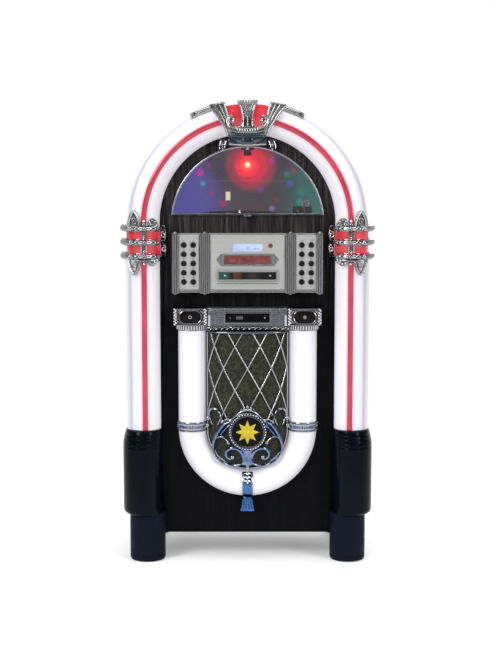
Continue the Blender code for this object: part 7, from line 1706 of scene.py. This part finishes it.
def makeTurntable(spec):
    (x0, x1), (y0, y1), (z0, z1), c = spec["x"], spec["y"], spec["z"], spec["corner"]
    bm = bmesh.new()
    px, py = spec["platter"]
    ax, ay = spec["arm"]
    loops = [rectLoop((x0 + x1) / 2, (y0 + y1) / 2, x1 - x0, y1 - y0, c), ringLoop(px, py, 0.0065, 32),
        ringLoop(ax, ay, 0.0065, 32)]
    slabIn(bm, loops, z0, z1, 0.001, 0, 3)
    rest = (ax, ay - 0.055)
    turnIn(bm, [(0.006, 0), (0.006, 0.001), (0.004, 0.0018), (0.004, spec["axisZ"] - 0.0045 - z1),
        (0.0, spec["axisZ"] - 0.004 - z1)], (rest[0], rest[1], z1), "Z", 24, 0)
    turnIn(bm, [(0.0075, 0.0), (0.0075, 0.001), (0.0068, 0.0016), (0, 0.0016)], (x0 + 0.02, y0 + 0.02, z1), "Z", 24,
        1)
    boxIn(bm, (x0 + 0.012, y0 + 0.04, z1 - 0.0005), (x0 + 0.022, y0 + 0.06, z1 + 0.0012), 0.0004, 2, 1)
    boxIn(bm, (0.117, 0.04, z1 - 0.0005), (0.142, 0.07, 0.8878), 0.0012, 2)       # lift box beside the arm
    turnIn(bm, [(0.003, 0.0), (0.003, 0.0016), (0.0024, 0.0022), (0, 0.0022)], (0.13, 0.0402, 0.876), "Y", 20, 1)
    finishPiece(bm, "deck", "cabinet", [matteBlack("deckBlack", (0.012, 0.011, 0.013), 0.35), brushedSteel],
        ["turntable_deck"], 34)
    bm = bmesh.new()
    r, z = spec["platterRadius"], spec["platterZ"]
    body = [(0.005, -0.0082), (0.005, 0.0), (r - 0.001, 0.0), (r, 0.001), (r, 0.0058), (r - 0.0012, 0.007),
        (r - 0.0045, 0.007), (r - 0.0055, 0.006)]
    turnIn(bm, [(0, -0.0082)] + body, (px, py, z), "Z", 96, 0)
    mat = [(r - 0.0055, 0.006)]
    steps = 44
    for k in range(steps):             # grooves of the rubber mat
        radius = (r - 0.0065) - (r - 0.034) * k / steps
        mat += [(radius, 0.006 if k % 2 else 0.0066)]
    mat += [(0.022, 0.0066), (0.021, 0.006), (0.0038, 0.006)]
    turnIn(bm, mat, (px, py, z), "Z", 96, 1)
    turnIn(bm, [(0.0038, 0.006), (0.0035, 0.0066), (0.0035, 0.014), (0.0026, 0.0158), (0, 0.016)], (px, py, z), "Z",
        24, 2)
    for k in range(72):                # dots round the rim
        a = 2 * halfTurn * k / 72
        ballIn(bm, (px + r * cos(a), py + r * sin(a), z + 0.0034), 0.0012, (1, 1, 1), 6, 4, 2)
    finishPiece(bm, "platter", "turntable_platter", [matteBlack("platterBlack", (0.01, 0.01, 0.011), 0.3),
        matteBlack("matRubber", (0.014, 0.014, 0.015), 0.7, 600.0), brushedSteel], ["platter"], 30)


def makeTonearm(spec):
    x, y = spec["arm"]
    z1, axis = spec["z"][1], spec["axisZ"]
    bm = bmesh.new()
    turnIn(bm, [(0, -0.0074), (0.005, -0.0074), (0.005, 0.0005), (0.0158, 0.0005), (0.016, 0.0012), (0.016, 0.0102),
        (0.015, 0.0118), (0.0118, 0.012), (0, 0.012)], (x, y, z1), "Z", 48, 0)
    turnIn(bm, [(0.0163, 0.003), (0.0166, 0.0036), (0.0163, 0.0042)], (x, y, z1), "Z", 48, 0)
    for side in (-1, 1):               # cheeks of the yoke with their pivot screws
        boxIn(bm, (x + side * 0.008 - 0.003, y - 0.0055, z1 + 0.01), (x + side * 0.008 + 0.003, y + 0.0055,
            axis + 0.004), 0.0012, 3, 0)
        rodIn(bm, (x + side * 0.0108, y, axis), (x + side * 0.0112, y, axis), 0.003, segments=20, slot=1)
    # a lighter copy of the satin plate: painted light, so the arm shows in the dark compartment
    paintedLitArmSatin = chromePlate("paintedLitArmSatin", (0.62, 0.61, 0.63), 0.3)
    finishPiece(bm, "armPivot", "tonearm_base", [paintedLitArmSatin, plasticBlack], ["tonearm_pivot"], 34)
    bm = bmesh.new()
    tip = y - spec["reach"]
    wireIn(bm, [(x, tip, axis), (x, tip + 0.05, axis), (x, y, axis), (x, y + 0.016, axis)], 0.0032, 5, smooth=4)
    weight = [(0.0032, -0.018), (0.0092, -0.018), (0.0105, -0.0168), (0.0105, -0.006), (0.0098, -0.0052),
        (0.0105, -0.0044), (0.0105, -0.0012), (0.0094, 0.0), (0, 0.0)]
    turnIn(bm, [(r, -(h)) for r, h in weight], (x, y + spec["tail"], axis), "Y", 40, 0)
    rodIn(bm, (x - 0.011, y, axis), (x + 0.011, y, axis), 0.0014, segments=12)
    low = axis + 0.0032 - 0.01
    # black headshell with its lift and stylus
    boxIn(bm, (x - 0.009, tip - 0.016, low + 0.0016), (x + 0.009, tip + 0.016, axis + 0.0016), 0.0016, 3, 1)
    boxIn(bm, (x - 0.006, tip - 0.014, low), (x + 0.006, tip + 0.01, low + 0.003), 0.0008, 2, 1)
    wireIn(bm, [(x + 0.0075, tip - 0.006, axis - 0.001), (x + 0.0086, tip - 0.01, axis - 0.0005),
        (x + 0.0084, tip - 0.015, axis + 0.001)], 0.0008, 2, slot=0)
    turnIn(bm, [(0.0055, -0.002), (0.0055, 0.002), (0.0047, 0.0024), (0, 0.0024)], (x, tip + 0.019, axis), "Y", 24, 0)
    finishPiece(bm, "tonearm", "arm", [paintedLitArmSatin, plasticBlack], ["tonearm"], 34)


makeTurntable(deckSizes)
makeTonearm(deckSizes)

lampSizes = {"y": 0.03, "z": 0.992, "radius": 0.03, "neck": 0.009, "socketRadius": 0.017, "socketLow": 1.034,
    "flange": 0.034, "facets": (18, 9)}


def lampGlow(spec):                    # red lamp with a pale heart on its front side
    mat = newFinish("lampGlow", Roughness=0.1, Specular_IOR_Level=0.5, Coat_Weight=0.5, Coat_Roughness=0.04)
    tree = mat.node_tree
    heart = addNode(tree, "VectorMath", {"operation": "DISTANCE"},
        {0: place(tree), 1: (0.0, spec["y"] - spec["radius"], spec["z"] + 0.006)}, out=1)
    colour = ramp(tree, calc(tree, "MULTIPLY", heart, 34.0), [(0.1, (1.0, 0.9, 0.62)), (0.2, (1.0, 0.45, 0.16)),
        (0.34, (0.95, 0.06, 0.06)), (0.9, (0.8, 0.018, 0.045))])
    feed(mat, Base_Color=mixed(tree, 1.0, colour, (0.5, 0.5, 0.5), "MULTIPLY"), Emission_Color=colour)
    tree.nodes["Principled BSDF"].inputs["Emission Strength"].default_value = 1.1
    return mat


def makeLamp(spec):
    bm = bmesh.new()
    y, z, r = spec["y"], spec["z"], spec["radius"]
    u, v = spec["facets"]
    bmesh.ops.create_uvsphere(bm, u_segments=u, v_segments=v, radius=r, matrix=Matrix.Translation((0, y, z)))
    for face in list(bm.faces):
        if len(face.verts) == 4:
            bmesh.ops.inset_individual(bm, faces=[face], thickness=0.0009, depth=0.0004)
    turnIn(bm, [(0.0, r * 0.94), (spec["neck"] + 0.002, r * 0.93), (spec["neck"] + 0.001, r * 1.1),
        (spec["neck"], 0.0415), (0.004, 0.0415), (0.004, 0.0535), (0, 0.0535)], (0, y, z), "Z", 32, 1)
    turnIn(bm, [(r * 0.3, -r * 0.955), (r * 0.26, -r * 1.0), (0, -r * 1.0)], (0, y, z), "Z", 24, 1)
    finishPiece(bm, "lampBall", "lamp", [lampGlow(spec), plasticBlack], ["lamp_ball"], 12)
    bm = bmesh.new()
    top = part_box("lamp_socket")[1][2]
    turnIn(bm, [(0.0045, spec["socketLow"] + 0.0005), (spec["socketRadius"] - 0.001, spec["socketLow"]),
        (spec["socketRadius"], spec["socketLow"] + 0.001), (spec["socketRadius"], top - 0.009),
        (spec["socketRadius"] + 0.004, top - 0.007), (spec["flange"] - 0.001, top - 0.006),
        (spec["flange"], top - 0.005), (spec["flange"], top - 0.0004), (0, top)], (0, y, 0), "Z", 48, 0)
    for k in range(3):
        a = 2 * halfTurn * k / 3 + 0.5
        ballIn(bm, (0.026 * cos(a), y + 0.026 * sin(a), top - 0.0064), 0.003, (1, 1, 0.5), 12, 8, 0)
    finishPiece(bm, "lampSocket", "cabinet", [chrome], ["lamp_socket"], 34)


makeLamp(lampSizes)

# back wall of the compartment: a thin board in front of the hardboard that carries painted light

glowSizes = {"radius": 0.2728, "low": 0.8522, "front": 0.1748, "back": 0.1764}
glowSpots = [((-0.127, 0.97), 0.014, (0.62, 0.02, 0.3)), ((-0.104, 0.988), 0.011, (0.3, 0.02, 0.16)),
    ((-0.1185, 0.941), 0.01, (0.03, 0.4, 0.45)), ((-0.096, 0.915), 0.009, (0.34, 0.02, 0.14)),
    ((-0.066, 0.888), 0.013, (0.4, 0.022, 0.13)), ((0.075, 0.9), 0.01, (0.3, 0.025, 0.035)), ((0.035, 0.925), 0.013,
    (0.09, 0.055, 0.3)), ((0.062, 1.0), 0.015, (0.36, 0.025, 0.32)), ((0.105, 0.965), 0.013, (0.025, 0.22, 0.16)),
    ((0.1125, 0.94), 0.013, (0.085, 0.075, 0.5)), ((0.1225, 0.975), 0.009, (0.42, 0.02, 0.06)),
    ((0.1425, 0.918), 0.017, (0.02, 0.24, 0.18)), ((0.14, 0.8925), 0.015, (0.03, 0.26, 0.2)), ((0.065, 0.875), 0.011,
    (0.26, 0.18, 0.42))]


def wallGlow(spots):                   # painted coloured light on a dark wall: washes, soft spots, the lamp's red halo, and a painted reflection of a lit window
    mat = newFinish("wallGlow", Roughness=0.6, Specular_IOR_Level=0.15)
    tree = mat.node_tree
    where = place(tree)
    split = tree.nodes.new("ShaderNodeSeparateXYZ")
    tree.links.new(where, split.inputs[0])
    x, z = split.outputs[0], split.outputs[2]
    sway = calc(tree, "MULTIPLY", calc(tree, "SUBTRACT", noise(tree, where, 7.0, 2), 0.5), 0.1)
    across = calc(tree, "ADD", calc(tree, "MULTIPLY", calc(tree, "ADD", x, sway), 2.2), 0.5)
    colour = ramp(tree, across, [(0.06, (0.085, 0.065, 0.36)), (0.22, (0.1, 0.082, 0.36)), (0.33, (0.08, 0.06, 0.15)),
        (0.44, (0.08, 0.05, 0.066)), (0.56, (0.076, 0.048, 0.058)), (0.68, (0.052, 0.062, 0.07)),
        (0.8, (0.038, 0.12, 0.115)), (0.92, (0.045, 0.175, 0.14))])
    high = calc(tree, "SUBTRACT", calc(tree, "MULTIPLY", calc(tree, "SUBTRACT", z, 0.86), 5.0), calc(tree, "MULTIPLY",
        calc(tree, "ABSOLUTE", calc(tree, "ADD", x, sway)), 4.0))
    colour = mixed(tree, ramp(tree, high, [(0.0, 0.0), (0.35, 1.0)], "EASE"), colour, (0.058, 0.046, 0.075))
    # a faint painted shelf line, seen in the pane
    line = calc(tree, "SUBTRACT", 1.0, calc(tree, "DIVIDE", calc(tree, "ABSOLUTE", calc(tree, "SUBTRACT", z, 0.948)),
        0.0016), True)
    line = calc(tree, "MULTIPLY", line, ramp(tree, calc(tree, "ABSOLUTE", x), [(0.095, 0.3), (0.115, 0.0)]))
    colour = mixed(tree, line, colour, (0.3, 0.25, 0.3))
    for (sx, sz), size, tint in spots:
        away = addNode(tree, "VectorMath", {"operation": "DISTANCE"}, {0: addNode(tree, "CombineXYZ", None,
            {0: x, 2: z}), 1: (sx, 0, sz)}, out=1)
        near = ramp(tree, calc(tree, "DIVIDE", away, size), [(0.0, 1.0), (0.35, 0.75), (1.0, 0.0)], "EASE")
        colour = mixed(tree, near, colour, tint)
    # painted light: the lamp's red halo on the wall
    halo = addNode(tree, "VectorMath", {"operation": "DISTANCE"}, {0: addNode(tree, "CombineXYZ", None, {0: x, 2: z}),
        1: (0.009, 0, 0.989)}, out=1)
    red = ramp(tree, calc(tree, "MULTIPLY", halo, 12.0), [(0.0, 1.0), (0.44, 0.92), (0.62, 0.4), (0.92, 0.0)], "EASE")
    colour = mixed(tree, red, colour, (0.84, 0.026, 0.062))
    # painted reflection of a lit window in the pane, put on the back wall as a cream patch
    paintedWindowReflection = None
    for at, half in ((x, (-0.052, 0.0068)), (z, (0.9079, 0.0125))):
        inside = calc(tree, "SUBTRACT", 1.0, calc(tree, "DIVIDE", calc(tree, "ABSOLUTE", calc(tree, "SUBTRACT", at,
            half[0])), half[1]), True)
        inside = calc(tree, "MULTIPLY", inside, 6.0, True)
        paintedWindowReflection = inside if paintedWindowReflection is None else calc(tree, "MULTIPLY", paintedWindowReflection, inside)
    colour = mixed(tree, paintedWindowReflection, colour, (0.88, 0.8, 0.52))
    feed(mat, Base_Color=mixed(tree, 1.0, colour, (0.25, 0.25, 0.25), "MULTIPLY"), Emission_Color=colour)
    tree.nodes["Principled BSDF"].inputs["Emission Strength"].default_value = 0.82
    return mat


def makeGlowBoard(spec):
    bm = bmesh.new()
    start = asin((spec["low"] - archZ) / spec["radius"])
    loop = arcPoints(0, archZ, spec["radius"], spec["radius"], start, halfTurn - start, 72)
    plateIn(bm, [loop], spec["back"], spec["front"], 0.0004)
    finishPiece(bm, "glowBoard", "cabinet", wallGlow(glowSpots), (), 40)


makeGlowBoard(glowSizes)
print("turntable and lamp done")

# nodes that keep their own shape
dress(ash, "base_board", "turntable_shelf")
dress(brushedSteel, "disc_drive", "amplifier_box")
dress(plasticBlack, "mains_inlet", "loudspeaker")
print("inner parts dressed")
